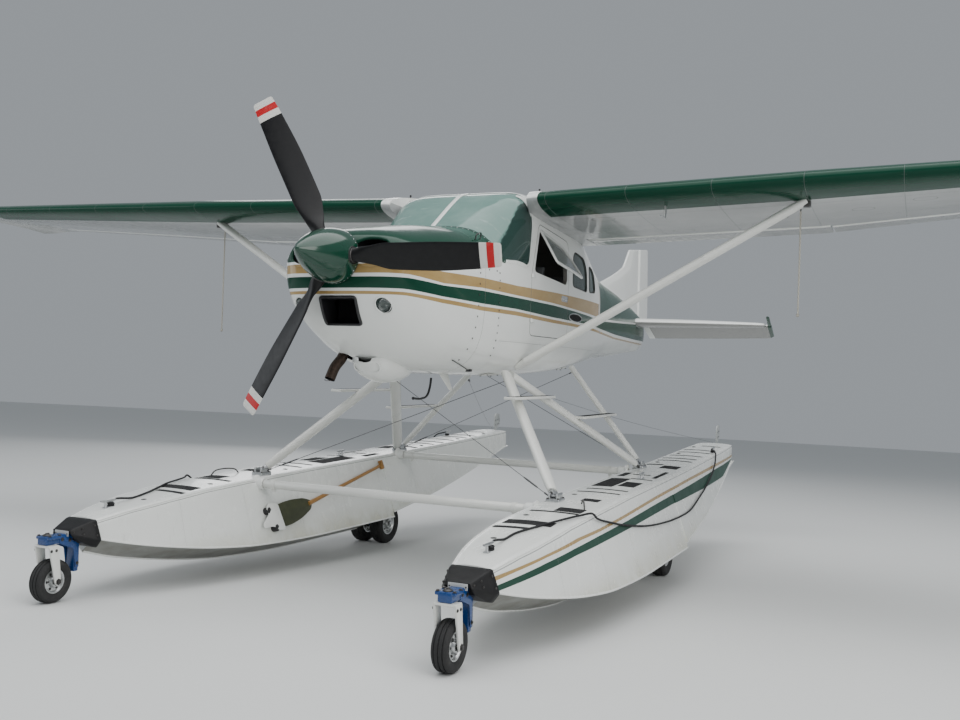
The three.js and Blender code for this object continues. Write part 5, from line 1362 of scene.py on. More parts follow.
def chinFairing():
    y = np.linspace(-0.640, -0.090, 46)
    half, top, bottom = follow(chinRows, y)[:, :, None]
    a = np.linspace(-np.pi / 2, np.pi / 2, 41)[None]
    c = np.cos(a)
    x = half * np.sin(a)
    z = top - (top - bottom) * np.abs(c) ** 0.62
    # the front is scooped: under it lie the outlets
    y3 = np.repeat(y[:, None], 41, 1) - 0.012 * np.abs(c)
    grid = np.stack([x, y3, z], -1)
    return facing(sheetOf(grid, uv=np.stack([x, y3], -1)), (0, 0, -1))


outlets = {"x": 0.052, "z": -0.668, "half": 0.044, "tall": 0.030, "power": 2.3, "rim": 0.0055, "deep": 0.05,
           "inward": (0, 0.9, 0.45), "top": (-0.60, -0.645), "bottom": (-0.72, -0.585)}


# two oval mouths on the chin's front, each closed by a shallow black cup as painted shadow in the opening,
# with a white rim between and round them
def makeOutlets():
    o = outlets
    inward = np.array(o["inward"])
    shape = Shape()
    for side in (1, -1):
        loop = oval(side * o["x"], o["z"], o["half"], o["tall"], o["power"], 40)
        y = np.interp(loop[:, 1], *zip(o["bottom"], o["top"]))
        p = np.stack([loop[:, 0], y, loop[:, 1]], -1)
        shape.join(closedTube(p, o["rim"], np.broadcast_to(unit(-inward), p.shape), 10), 1)
        t = np.linspace(0, 1, 5)[:, None, None]
        # painted shadow: a shallow black cup closes each mouth in place of the shade inside it
        shadowCup = p[None] + (p.mean(0) - p)[None] * t + inward * o["deep"] * np.sin(t * np.pi / 2)
        shape.join(facing(sheetOf(wrapped(shadowCup)), (0, -1, 0)), 0)
    shape.piece("chin_outlets", "airframe", [satinBlack, whitePaint], slot="engine_metal", sharp=50)


# y of the cylinders, then their fins' first place, step, thickness and two radii; the exhaust pipe's route
# and radii
engine = {"cylinders": (-0.700, -0.500, -0.300), "finFrom": 0.13, "finStep": 0.0145, "finThick": 0.0035,
          "finCount": 11, "finIn": 0.052, "finOut": 0.078, "crank": 0.052, "pipe": 0.0345,
          "pipeInside": 0.0315, "lip": 0.0017,
          "route": [(-0.185, -0.560, -0.300), (-0.186, -0.575, -0.480), (-0.193, -0.598, -0.600),
                    (-0.217, -0.655, -0.678), (-0.229, -0.692, -0.755)]}


def makeEngine():
    core = Shape()
    core.join(turnedShape([(-0.83, 0), (-0.83, 0.120), (-0.80, 0.150), (-0.62, 0.165), (-0.30, 0.160),
                           (-0.20, 0.13), (-0.16, 0.10), (-0.16, 0)], (0, 0, -0.02), (0, 1, 0), 24), 0)
    core.join(turnedShape([(-0.985, 0), (-0.985, engine["crank"]), (-0.80, 0.055), (-0.78, 0)], (0, 0, 0),
                          (0, 1, 0), 24), 1)
    for side in (1, -1):
        for y in engine["cylinders"]:
            prof = [(0.10, 0.0)]
            for k in range(engine["finCount"]):
                a = engine["finFrom"] + k * engine["finStep"]
                b = a + engine["finThick"]
                prof += [(a, engine["finIn"]), (a, engine["finOut"]), (b, engine["finOut"]),
                         (b, engine["finIn"])]
            prof += [(0.292, 0.062), (0.298, 0.050), (0.300, 0.0)]
            core.join(turnedShape(prof, (0, y, 0.020), (side, 0, 0), 20), 2)
        core.join(block((side * 0.10, -0.79, 0.075), (side * 0.29, -0.22, 0.100), 0.010), 1)
    core.piece("engine_core", "airframe", [darkSteel, bareAlloy, bareAlloy], ["engine"], "engine_metal", 40)
    path = smoothLine(engine["route"], 40)
    pipe = tube(path, engine["pipe"], 24, (1, 0, 0), caps=False)
    hollow = tube(path[-14:], engine["pipeInside"], 24, (1, 0, 0), caps=False)
    hollow.faces = [(f[:, ::-1], m) for f, m in hollow.faces]
    pipe.join(hollow, 1)
    a = turns(24)
    lip = path[-1] + 0.033 * np.stack([np.cos(a), np.sin(a) * 0.93, np.sin(a) * 0.32], -1)
    pipe.join(closedTube(lip, engine["lip"], np.broadcast_to(unit(path[-1] - path[-2]), (24, 3)), 6), 0)
    pipe.join(turnedShape(hoop(-0.011, 0.011, 0.034, 0.039), path[22], unit(path[23] - path[21]), 24), 0)
    pipe.piece("exhaust_pipe", "airframe", [burntSteel, satinBlack], slot="engine_metal", sharp=50)


lampGlass = glossy("lampGlass", (0.85, 0.87, 0.86), 0.08, 0.0004, 0, 0.2)
burntSteel = rough("burntSteel", (0.026, 0.018, 0.014), (0.062, 0.040, 0.028), 45, 0.55, 0.0005, 0.6)
makeCowl()
makeOutlets()
makeEngine()

# propeller and spinner
prop = {"y": -1.079, "radius": 1.124, "startDeg": -0.8, "tipY": -1.445, "baseY": -1.030, "spinner": 0.168,
        "rows": [(0.050, 0.084, 0.084, 0, 0.5), (0.150, 0.084, 0.080, 10, 0.5),
                 (0.240, 0.128, 0.042, 38, 0.44), (0.360, 0.176, 0.030, 33, 0.41),
                 (0.600, 0.176, 0.021, 25, 0.40), (0.820, 0.158, 0.014, 19, 0.41),
                 (0.950, 0.141, 0.010, 16, 0.43), (0.992, 0.133, 0.008, 15, 0.44),
                 (1.000, 0.120, 0.005, 15, 0.45)],
        "bandsFrom": 0.989, "redFrom": 1.034, "redTo": 1.079}


def bladeFinish():
    f = Finish("bladePaint", Specular_IOR_Level=0.28)
    out, around = f.map()
    at = f.place()
    worn = f.noise(at, 26, 5, 0.65)
    black = f.mix(f.span(worn, 0.4, 0.75), (0.004, 0.004, 0.005), (0.009, 0.009, 0.0095))
    # bright bare metal where grit has worn the leading edge
    edge = f.span(abs(around - 0.5), 0.036, 0.0, 0, 1) * f.span(worn, 0.42, 0.66) * f.span(out, 0.5, 1.0)
    black = f.mix(edge * 0.5, black, (0.35, 0.35, 0.34))
    banded = (out > prop["bandsFrom"])
    colour = f.mix(banded, black, (0.70, 0.69, 0.65))
    colour = f.mix((out > prop["redFrom"]) * (out < prop["redTo"]), colour, (0.50, 0.014, 0.018))
    colour = f.mix(f.span(worn, 0.55, 0.85, 0, 0.35) * banded, colour, (0.28, 0.27, 0.26))
    f.set("Base Color", colour)
    f.set("Roughness", f.span(worn, 0.3, 0.75, 0.34, 0.5))
    f.bump(f.noise(at, 190, 3), 0.0002)
    return f.material


bladePaint = bladeFinish()


# a blade's own axes: outward, and the way it turns
def bladeAxes(k):
    turn = math.radians(prop["startDeg"] + 120 * k)
    return np.array([math.cos(turn), 0, math.sin(turn)]), np.array([-math.sin(turn), 0, math.cos(turn)])


def makePropeller():
    shape = Shape()
    share = np.concatenate([np.linspace(0.085, 0.95, 64), np.linspace(0.955, 1.0, 14)])
    chord, thick, pitch, ahead = follow(prop["rows"], share)[:, :, None]
    pitch = np.radians(pitch)
    a = np.linspace(0, 2 * np.pi, 41)[:-1][None]
    # a section: round at the root, and outboard a blade foil with its thickest place 35% back
    foil = smoothstep((share - 0.14) / 0.14)[:, None]
    c = np.cos(a)
    roundS = np.sin(a)
    s = (1 - c) / 2
    bladeS = np.sign(np.sin(a)) * (2.6 * np.sqrt(np.maximum(s, 0))
                                   * (1 - s) ** 0.85) * np.where(np.sin(a) > 0, 0.62, 0.36)
    h = thick * lerp(roundS * 0.5, bladeS * 0.62, foil)
    length = chord * (0.5 * c + ahead - 0.45)
    tipRound = np.where(share > 0.988, np.sqrt(np.maximum(0, 1 - ((share - 0.988) / 0.0122) ** 2)),
                        1)[:, None, None]
    hub = np.array([0, prop["y"], 0])
    for k in range(3):
        outAxis, turnAxis = bladeAxes(k)
        p = pitch[..., None]
        chordDir = turnAxis * np.cos(p) + np.array([0, -1.0, 0]) * np.sin(p)
        thickDir = -turnAxis * np.sin(p) + np.array([0, -1.0, 0]) * np.cos(p)
        rings = (hub + share[:, None, None] * prop["radius"] * outAxis
                 + length[..., None] * chordDir * (0.88 + 0.12 * tipRound)
                 + h[..., None] * thickDir * tipRound)
        uv = np.stack(np.broadcast_arrays((share * prop["radius"])[:, None],
                                          a / (2 * np.pi) + 0 * share[:, None]), -1)
        shape.join(loft(rings, uv=uv), 0)
        # shank collar just outside the spinner
        shape.join(turnedShape([(0.120, 0.0425), (0.120, 0.047), (0.163, 0.047), (0.168, 0.0425)], hub,
                               outAxis, 28), 1)
    shape.join(turnedShape([(-1.146, 0), (-1.146, 0.070), (-1.128, 0.088), (-1.045, 0.090), (-1.036, 0.080),
                            (-1.036, 0)], (0, 0, 0), (0, 1, 0), 36), 1)
    shape.join(turnedShape(bar(-1.036, -0.905, 0.053), (0, 0, 0), (0, 1, 0), 28), 1)
    shape.piece("propeller_blades", "propeller", [bladePaint, darkSteel], ["propeller"], "black_paint", 40)


def makeSpinner():
    t = np.linspace(1, 0, 56)
    radius = prop["spinner"] * np.sin(np.pi / 2 * (1 - t)) ** 0.78
    y = prop["baseY"] - (prop["baseY"] - prop["tipY"]) * t
    a = np.linspace(0, 2 * np.pi, 145)
    grid = np.stack([radius[:, None] * np.sin(a), np.repeat(y[:, None], 145, 1),
                     radius[:, None] * np.cos(a)], -1)
    # where a shank passes, the skin opens: those faces are left out and the opening gets a dark boot
    faces = gridFaces(56, 145)
    co = grid.reshape(-1, 3)
    mid = co[faces].mean(1)
    keep = np.ones(len(faces), bool)
    for k in range(3):
        outAxis, side = bladeAxes(k)
        near = np.hypot(mid @ side, mid[:, 1] - prop["y"]) < 0.050
        keep &= ~(near & (mid @ outAxis > 0.05))
    uv = np.stack(np.broadcast_arrays(y[:, None], a[None]), -1)
    shape = facing(Shape().add(co, faces[keep], 0, uv), (1, 0, 1), 0)
    lastR = float(radius[-1])
    shape.join(turnedShape([(-1.0345, 0.080), (-1.0345, lastR - 0.001), (-1.029, lastR + 0.0008),
                            (-1.024, lastR - 0.002), (-1.024, 0.080), (-1.0345, 0.080)], (0, 0, 0),
                           (0, 1, 0), 96), 1)
    for k in range(3):
        outAxis, sideAxis = bladeAxes(k)
        ring = []
        for b in turns(48):
            dy, dt = 0.052 * math.cos(b), 0.052 * math.sin(b)
            rr = float(np.interp(prop["y"] + dy, y, radius))
            ring.append(outAxis * math.sqrt(max(rr * rr - dt * dt, 0)) + sideAxis * dt
                        + np.array([0, prop["y"] + dy, 0]))
        ring = np.array(ring)
        shape.join(closedTube(ring, 0.0032, unit(ring * [1, 0, 1]), 8), 1)
    shape.piece("spinner_shell", "propeller", [greenPaint, satinBlack], ["spinner"], "green_paint", 40)
    ang = turns(36) + 0.05
    p = np.stack([(lastR - 0.0005) * np.sin(ang), np.full(36, -1.040), (lastR - 0.0005) * np.cos(ang)], -1)
    scattered(dome(0.0042, 0.0018, 8, 2), p, p * [1, 0, 1]).piece("spinner_screws", "propeller", [polished],
                                                                  slot="bare_alloy", merge=False)


makePropeller()
makeSpinner()
print("cowl, engine and propeller made")

# tail
tail = {"hingeY": 5.720, "z": -0.055, "rudderY": 5.862, "droopDeg": 24,
        "stab": [(0.000, 5.060, 0.108), (0.250, 5.092, 0.106), (1.480, 5.420, 0.062), (1.560, 5.456, 0.054),
                 (1.590, 5.490, 0.044)],
        "stabEnd": 5.684,
        "elevator": [(0.118, 0.372), (0.300, 0.368), (1.480, 0.318), (1.600, 0.304), (1.640, 0.262)]}


# A symmetric foil of given chord and thickness: nose at 0, round nose, thickest at 30%, and a blunt or thin
# end
def foilHalf(s, thick, end=0.0):
    return thick / 2 * (2.969 * np.sqrt(s) - 1.26 * s - 3.516 * s ** 2 + 2.843 * s ** 3
                        - (1.036 - end) * s ** 4)


def makeStabilizer():
    x = np.concatenate([np.linspace(0.0, 1.48, 40), np.linspace(1.495, 1.590, 10)])
    noseY, thick = follow(tail["stab"], x)
    s = np.concatenate([(1 - np.cos(np.linspace(0, np.pi, 26))) / 2 * 0.86, [0.93, 1.0]])
    shape = Shape()
    # above and below run from the nose to the blunt rear face
    length = tail["stabEnd"] - noseY
    whole = length * 1.12
    h = foilHalf(np.clip(s[None] * length[:, None] / whole[:, None], 0, 1), thick[:, None] * 0.97)
    top = np.stack([np.repeat(x[:, None], len(s), 1), noseY[:, None] + s * length[:, None], tail["z"] + h],
                   -1)
    low = top * [1, 1, -1] + [0, 0, 2 * tail["z"]]
    ring = np.concatenate([top, low[:, ::-1][:, :-1]], 1)
    both = np.concatenate([ring[::-1] * [-1, 1, 1], ring[1:]], 0)
    shape = loft(both)
    shape.piece("stabilizer_skin", "airframe", [tailPaint], ["stabilizer"], "white_paint", 40)


def elevatorShape():
    shape = Shape()
    for side in (1, -1):
        x = np.concatenate([np.linspace(0.118, 1.60, 42), np.linspace(1.610, 1.645, 5)])
        reach, = follow(tail["elevator"], x)
        r = 0.0268 - 0.006 * x
        a = np.linspace(np.pi / 2, 3 * np.pi / 2, 9)
        noseY, noseZ = r[:, None] * np.cos(a), r[:, None] * np.sin(a)
        s = np.linspace(0.04, 1, 15)
        z = r[:, None] * (1 - s) + 0.0025 * s
        # corrugations: shallow chordwise beads every 95 mm
        bead = 0.0016 * np.clip(np.cos((x - 0.16) * 2 * np.pi / 0.095), 0.55, 1)[:, None] * np.sin(np.pi * s)
        yy = reach[:, None] * s
        ring = np.concatenate([np.stack([yy[:, ::-1], (z + bead)[:, ::-1]], -1),
                               np.stack([noseY, noseZ], -1), np.stack([yy, -(z + bead)], -1)], 1)
        rings = np.concatenate([np.repeat(x[:, None, None], ring.shape[1], 1), ring], -1)
        part = loft(rings)
        # the balance horn ahead of the hinge at the tip
        hornX = np.linspace(1.608, 1.644, 6)
        hornA = turns(24)
        yy2 = -0.105 + 0.143 * np.cos(hornA)
        zz2 = 0.013 * np.sin(hornA) * (1 - 0.1 * np.cos(hornA))
        horn = np.stack(np.broadcast_arrays(hornX[:, None],
                                            yy2[None] * np.array([0.93, 0.99, 1, 1, 0.98, 0.92])[:, None],
                                            zz2[None] * np.array([0.6, 0.9, 1, 1, 0.9, 0.6])[:, None]), -1)
        part.join(loft(horn))
        shape.join(part if side > 0 else part.mirrored())
    droop = Matrix.Translation((0, tail["hingeY"],
                                tail["z"])) @ Matrix.Rotation(-math.radians(tail["droopDeg"]), 4, "X")
    return shape.moved(droop)


def makeElevator():
    shape = elevatorShape()
    shape.join(turnedShape(bar(-0.120, 0.120, 0.021), (0, tail["hingeY"], tail["z"]), (1, 0, 0), 20), 1)
    shape.piece("elevator_skin", "elevator", [elevatorPaint, darkSteel], ["elevator"], "white_paint", 40)


finRows = {"front": [(0.262, 3.980), (0.372, 4.420), (0.470, 4.780), (0.545, 5.020), (0.606, 5.180),
                     (0.690, 5.270), (0.830, 5.400)],
           "rear": 5.828}


def makeFin():
    # the fin is a stack of level foils; its front edge sweeps forward into the fillet along the tail cone's
    # back
    z = np.concatenate([np.linspace(0.020, 0.60, 40), np.linspace(0.62, 0.878, 18)])
    keys = finRows["front"]
    front = np.interp(z, [k[0] for k in keys], [k[1] for k in keys])
    front = np.where(z < 0.262, 3.980 + (0.262 - z) * 4.2, front)
    front = np.where(z > 0.83, 5.400 + (z - 0.83) * 8.286, front)
    thick = np.interp(z, [0.0, 0.25, 0.55, 0.88], [0.096, 0.088, 0.066, 0.044])
    s = (1 - np.cos(np.linspace(0, np.pi, 30))) / 2
    length = np.maximum(finRows["rear"] - front, 0.03)
    whole = length * 1.10
    h = foilHalf(np.clip(s[None] * length[:, None] / whole[:, None], 0, 1), thick[:, None])
    # in the thin fillet far ahead the foil keeps a slim nose
    along = s * length[:, None]
    h = np.minimum(h, 0.011 + along * 0.10)
    left = np.stack([h, front[:, None] + along, np.repeat(z[:, None], 30, 1)], -1)
    ring = np.concatenate([left, left[:, ::-1][:, :-1] * [-1, 1, 1]], 1)
    shape = loft(ring)
    shape.piece("fin_skin", "airframe", [tailPaint], ["fin"], "white_paint", 40)


def makeRudder():
    rows = [(0.004, 0.0235, 0.440), (0.10, 0.0235, 0.462), (0.460, 0.0215, 0.438), (0.860, 0.0186, 0.398),
            (0.885, 0.0180, 0.392), (0.897, 0.0130, 0.360)]
    z = np.concatenate([np.linspace(0.006, 0.86, 50), np.linspace(0.866, 0.897, 8)])
    r, length = follow(rows, z)
    turn = np.linspace(-np.pi / 2, np.pi / 2, 9)
    s = np.linspace(0.04, 1, 14)
    half = r[:, None] * (1 - s) + 0.0022 * s
    bead = 0.0013 * np.clip(np.cos(z * 2 * np.pi / 0.085), 0.55, 1)[:, None] * np.sin(np.pi * s)
    yy = length[:, None] * s
    ring = np.concatenate([np.stack([-(half + bead)[:, ::-1], yy[:, ::-1]], -1),
                           np.stack([r[:, None] * np.sin(turn), -r[:, None] * np.cos(turn)], -1),
                           np.stack([half + bead, yy], -1)], 1)
    rings = np.concatenate([ring[..., :1], tail["rudderY"] + ring[..., 1:],
                            np.repeat(z[:, None, None], ring.shape[1], 1)], -1)
    # the top slopes with the fin's, so the last rows are laid along it
    share = np.clip((z - 0.80) / 0.097, 0, 1)[:, None]
    rings[..., 2] += share * ((rings[..., 1] - tail["rudderY"]) * 0.1207 - 0.012)
    shape = loft(rings)
    shape.piece("rudder_skin", "rudder", [tailPaint], ["rudder"], "white_paint", 40)


def tailFinish(name, tips):
    f = Finish(name, Coat_Roughness=0.06)
    at, (x, y, z) = f.airframe()
    haze = f.noise(at, 2.2, 5, 0.6)
    base = f.mix(f.span(haze, 0.35, 0.75, 0, 0.55), paint["white"], tuple(c * 0.88 for c in paint["white"]))
    # painted shade: the undersides of the stabilizer and the drooped elevator are darkened to a grey
    droop = math.tan(math.radians(tail["droopDeg"]))
    low = (z < tail["z"]) * (y < tail["hingeY"]) if not tips else (z < (tail["hingeY"] - y) * droop
                                                                   + tail["z"])
    base = f.mix(low * (abs(x) > 0.19) * (y < 6.2), base, (0.27, 0.27, 0.26))
    if tips:
        base = f.mix((abs(x) > 1.602), base, paint["green"])
    f.set("Base Color", base)
    f.set("Coat Weight", f.span(haze, 0.3, 0.8, 0.4, 0.25))
    f.set("Roughness", f.span(f.noise(at, 90, 3), 0.3, 0.7, 0.17, 0.26))
    f.bump(f.noise(at, 4.2, 2, 0.4), 0.0016)
    return f.material


tailPaint = tailFinish("tailPaint", False)
elevatorPaint = tailFinish("elevatorPaint", True)


def makeTailCone():
    end = 5.972
    shell = panel(skinLoop(-1, 1, 2.7405, end), [], skin.lay, 0.030, 0, (1, skin.length), mat=0)
    # closing face behind, and the seam down the middle stays shut
    ring = skin.at(end, np.linspace(-1, 1, 65)[:-1])
    c = ring.mean(0)
    rows = np.stack([lerp(ring, c, k) + [0, 0.008 * (1 - (1 - k) ** 2), 0]
                     for k in (0, 0.25, 0.5, 0.75, 0.985)])
    shell.join(facing(sheetOf(wrapped(rows)), (0, 1, 0)), 0)
    front = skin.at(2.742, np.linspace(-1, 1, 97)[:-1])
    rows = np.stack([lerp(front.mean(0), front, k) for k in (0.02, 0.35, 0.7, 0.995)])
    shell.join(facing(sheetOf(wrapped(rows)), (0, -1, 0)), 1)
    shell.piece("tail_cone_skin", "airframe", [bodyPaint, trimGrey], ["tail_cone"], "white_paint", 40)


makeTailCone()
makeStabilizer()
makeElevator()
makeFin()
makeRudder()
print("tail made")


# wings
wing = {"rootX": 0.606, "breakX": 2.540, "endX": 5.180, "tipX": 5.460, "leY": 0.620, "endLeY": 0.735,
        "chord": 1.626, "endChord": 1.150, "rootLeZ": 0.613, "dihedral": 0.0302, "twistDeg": 5.2,
        "endTwistDeg": 2.6, "camber": 0.02, "peak": 0.4, "thick": 0.12, "flapAt": 0.775, "aileronAt": 0.80,
        "flap": (0.640, 2.592), "aileron": (2.608, 5.150), "gap": 0.008, "fairX": 0.632,
        "tip": [(0, 1, 0, 0), (0.5, 0.97, 0.008, 0.005), (0.86, 0.87, 0.040, 0.016),
                (1, 0.70, 0.072, 0.038)],
        "covers": [(1.50, 1.72, 0.085, 0.055), (2.86, 1.34, 0.075, 0.055), (3.26, 1.17, 0.075, 0.055),
                   (1.02, 1.10, 0.09, 0.06)],
        "beadPitch": 0.090, "beadDepth": 0.0018}


# heights of a wing section over its chord line, as shares of the chord, above and below
def foilHeights(s, thick=None):
    w = wing
    yt = 5 * (w["thick"] if thick is None else thick) * (0.2969 * np.sqrt(s) - 0.126 * s - 0.3516 * s ** 2
                                                         + 0.2843 * s ** 3 - 0.1036 * s ** 4)
    yc = np.where(s < w["peak"], w["camber"] / w["peak"] ** 2 * (2 * w["peak"] * s - s * s),
                  w["camber"] / (1 - w["peak"]) ** 2 * (1 - 2 * w["peak"] + 2 * w["peak"] * s - s * s))
    return yc + yt, yc - yt


def wingAt(x):
    x = np.asarray(x, float)
    t = np.maximum(0, (x - wing["breakX"]) / (wing["endX"] - wing["breakX"]))
    return (lerp(wing["leY"], wing["endLeY"], t), wing["rootLeZ"] + wing["dihedral"] * (x - wing["rootX"]),
            lerp(wing["chord"], wing["endChord"], t),
            np.radians(lerp(wing["twistDeg"], wing["endTwistDeg"], t)))


# a point named by its share of the chord and its height share, at a span station
def wingPoint(x, s, h, at=None):
    y, z, chord, twist = wingAt(x) if at is None else at
    c, k = np.cos(twist), np.sin(twist)
    return np.stack(np.broadcast_arrays(x, y + chord * (s * c + h * k), z + chord * (h * c - s * k)), -1)


def wingFinish(name, seamed):
    f = Finish(name, Coat_Roughness=0.06, Specular_IOR_Level=0.06)
    x, s = f.map()
    at = f.place()
    share = abs(s)
    green = (share < 0.196) * (abs(x) > 0.660) * (abs(x) < 5.205)
    haze = f.noise(at, 2.0, 5, 0.6)
    base = f.mix(f.span(haze, 0.35, 0.75, 0, 0.6), paint["white"], tuple(c * 0.82 for c in paint["white"]))
    # painted shade: the underside (s < 0) takes a mid grey in place of the white, standing in for the shadow
    # under the wing; the same holds for the flaps and ailerons
    base = f.mix((s < 0), base, f.mix(f.span(haze, 0.35, 0.75), (0.41, 0.42, 0.42), (0.33, 0.34, 0.34)))
    base = f.mix(green, base, paint["green"])
    # lap seams: across the span at each rib bay, along it behind the nose skin and at the rear spar
    rib = abs((abs(x) * (1 / 0.604) + 0.31).share() - 0.5) * 0.604
    spar = abs(share - 0.262) * 1.5
    rear = abs(share - 0.60) * 1.5
    seam = rib.least(spar).least(rear)
    line = f.span(seam, 0.0014, 0.0032, seamed, 0)
    base = f.mix(line * 0.45, base, (0.16, 0.17, 0.17))
    # rivets stand in two rows beside each seam
    rivet = 0.0016
    rows = f.dot(rib - 0.012, (share * 1.5).inBay(0.030),
                 rivet).most(f.dot(spar - 0.012, abs(x).inBay(0.030), rivet))
    rows = rows.most(f.dot(rear - 0.010, abs(x).inBay(0.030), rivet)) * seamed
    ax, ay = f.airframe()[1][:2]
    cover = None
    for cx, cy, rx, ry in wing["covers"]:
        du, dv = (abs(ax) - cx) * (1 / rx), (ay - cy) * (1 / ry)
        rim = f.span(abs((du * du + dv * dv).do("SQRT") - 1), 0.035, 0.06, seamed, 0) * (s < 0)
        cover = rim if cover is None else cover.most(rim)
    base = f.mix(cover * 0.6, base, (0.14, 0.145, 0.145))
    f.set("Base Color", f.mix(rows * 0.22, base, (0.25, 0.26, 0.26)))
    f.set("Coat Weight", f.span(haze, 0.3, 0.8, 0.6, 0.4) * (1 - green * 0.7))
    f.set("Roughness", f.span(haze, 0.3, 0.75, 0.12, 0.2) + green * 0.06)
    oil = f.noise(f.stretched(at, (1.0, 2.2, 1.0)), 2.6, 2, 0.4)
    f.bump(rows * 0.12 - line * 0.3 + oil * 1.0, 0.0045)
    return f.material


wingPaint = wingFinish("wingPaint", 1)
controlPaint = wingFinish("controlPaint", 0)


def wingShape():
    n = 46
    t = (1 - np.cos(np.linspace(0, np.pi, n))) / 2
    # stations along the span, with the share of the chord at which the fixed wing ends there
    rows = [(x, 0.995) for x in np.linspace(0.470, wing["fairX"], 12)]
    rows += [(x, wing["flapAt"]) for x in np.linspace(wing["fairX"] + 0.0002, 2.600, 60)]
    rows += [(x, wing["aileronAt"]) for x in np.linspace(2.6002, 5.158, 70)]
    rows += [(x, 0.995) for x in (5.1582, 5.180)]
    rings, maps = [], []
    for x, end in rows:
        s = t * end
        up, low = foilHeights(s)
        # the root fairing swells a little toward the cabin, most at the nose
        swell = smoothstep((0.70 - x) / 0.10)
        scale = 1 + 0.05 * swell
        at = wingAt(x)
        at = (at[0] - 0.008 * swell, at[1], at[2], at[3])
        if x < wing["fairX"]:
            inner = lerp(0.578, 0.470, smoothstep(s / 0.24))
            x = lerp(inner, wing["fairX"], (x - 0.470) / (wing["fairX"] - 0.470))
        top, bottom = wingPoint(x, s, up * scale, at), wingPoint(x, s, low * scale, at)
        wall = np.linspace(0, 1, 5)[1:-1, None]
        hollow = 0.012 * np.sin(np.pi * wall) * (end < 0.9)
        rear = lerp(top[-1], bottom[-1], wall) - hollow * [0, 1, 0]
        rings.append(np.concatenate([top[::-1], bottom[1:], rear[::-1]]))
        share = np.concatenate([s[::-1], -s[1:] - 1e-4, np.full(3, -end)])
        maps.append(np.stack([np.full(len(share), np.mean(x)), share], -1))
    # the tip narrows and bends down
    y0, z0, chord0, twist0 = wingAt(wing["endX"])
    share = np.concatenate([np.linspace(0.02, 0.86, 16), np.linspace(0.885, 1.0, 10)])
    size, drop, aft = follow(wing["tip"], share)
    for q, sz, dr, af in zip(share, size, drop, aft):
        x = lerp(wing["endX"], wing["tipX"], q)
        thin = lerp(0.12, 0.05,
                    q * q) * (1 if q < 0.86 else math.sqrt(max(1 - ((q - 0.86) / 0.1405) ** 2, 0)))
        s = t * 0.995
        up, low = foilHeights(s, thin)
        at = (y0 + 3 * af, z0 + wing["dihedral"] * (x - wing["endX"]) - dr, chord0 * sz, twist0)
        top, bottom = wingPoint(x, s, up, at), wingPoint(x, s, low, at)
        wall = np.linspace(0, 1, 5)[1:-1, None]
        rings.append(np.concatenate([top[::-1], bottom[1:], lerp(top[-1], bottom[-1], wall)[::-1]]))
        v = np.concatenate([s[::-1], -s[1:] - 1e-4, np.full(3, -0.995)])
        maps.append(np.stack([np.full(len(v), x), v], -1))
    return loft(np.array(rings), uv=np.array(maps))


# A control surface: a round nose in the wing's cove, and beaded skins from there to the trailing edge
def surfaceShape(span, start):
    lo, hi = span
    x = np.unique(np.concatenate([[lo, lo + 0.006],
                                  np.linspace(lo + 0.02, hi - 0.02, int((hi - lo) / wing["beadPitch"] * 9)),
                                  [hi - 0.006, hi]]))
    y, z, chord, twist = wingAt(x)
    at = (y[:, None], z[:, None], chord[:, None], twist[:, None])
    first = start + wing["gap"] / chord[:, None]
    a0, b0 = foilHeights(first)
    r, mid = (a0 - b0) / 2, (a0 + b0) / 2
    centre = first + r
    s = centre + (0.995 - centre) * np.linspace(0, 1, 17)[None] ** 1.1
    up, low = foilHeights(s)
    blend = smoothstep((s - centre) / (0.34 * (0.995 - centre)))
    up, low = lerp(np.minimum(mid + r, up + r), up, blend), lerp(np.maximum(mid - r, low - r), low, blend)
    bead = wing["beadDepth"] / chord[:,
                                     None] * smoothstep(1
                                                        - np.abs(((x - lo) / wing["beadPitch"]) % 1 - 0.5)
                                                        / 0.17)[:, None]
    bead = bead * np.sin(np.pi * np.clip(np.linspace(0, 1, 17)[None] * 1.25 - 0.2, 0, 1)) ** 0.5
    up, low = up - bead, low + bead
    angle = np.linspace(np.pi / 2, 3 * np.pi / 2, 13)[None]
    ns, nh = centre + r * np.cos(angle), mid + r * np.sin(angle)
    S = np.concatenate([s[:, ::-1], ns, s], 1)
    H = np.concatenate([up[:, ::-1], nh, low], 1)
    rings = wingPoint(x[:, None], S, H, at)
    uv = np.stack([np.repeat(x[:, None], S.shape[1], 1), np.concatenate([s[:, ::-1], ns, -s], 1)], -1)
    return loft(rings, uv=uv)


def makeWing(side):
    name = sideName(side)
    wingShape().on(side).piece(f"wing_skin_{name}", "airframe", [wingPaint], [f"wing_{name}"],
                               "white_paint", 38)
    surfaceShape(wing["flap"], wing["flapAt"]).on(side).piece(f"flap_skin_{name}", f"flap_{name}",
            [controlPaint], [f"flap_{name}"], "white_paint", 38)
    surfaceShape(wing["aileron"], wing["aileronAt"]).on(side).piece(f"aileron_skin_{name}",
            f"aileron_{name}", [controlPaint], [f"aileron_{name}"], "white_paint", 38)


for side in (1, -1):
    makeWing(side)
print("wings made")


# struts
gripBlack = rough("gripBlack", (0.007, 0.007, 0.008), (0.020, 0.020, 0.021), 420, 0.85, 0.0012,
                  Specular_IOR_Level=0.25)
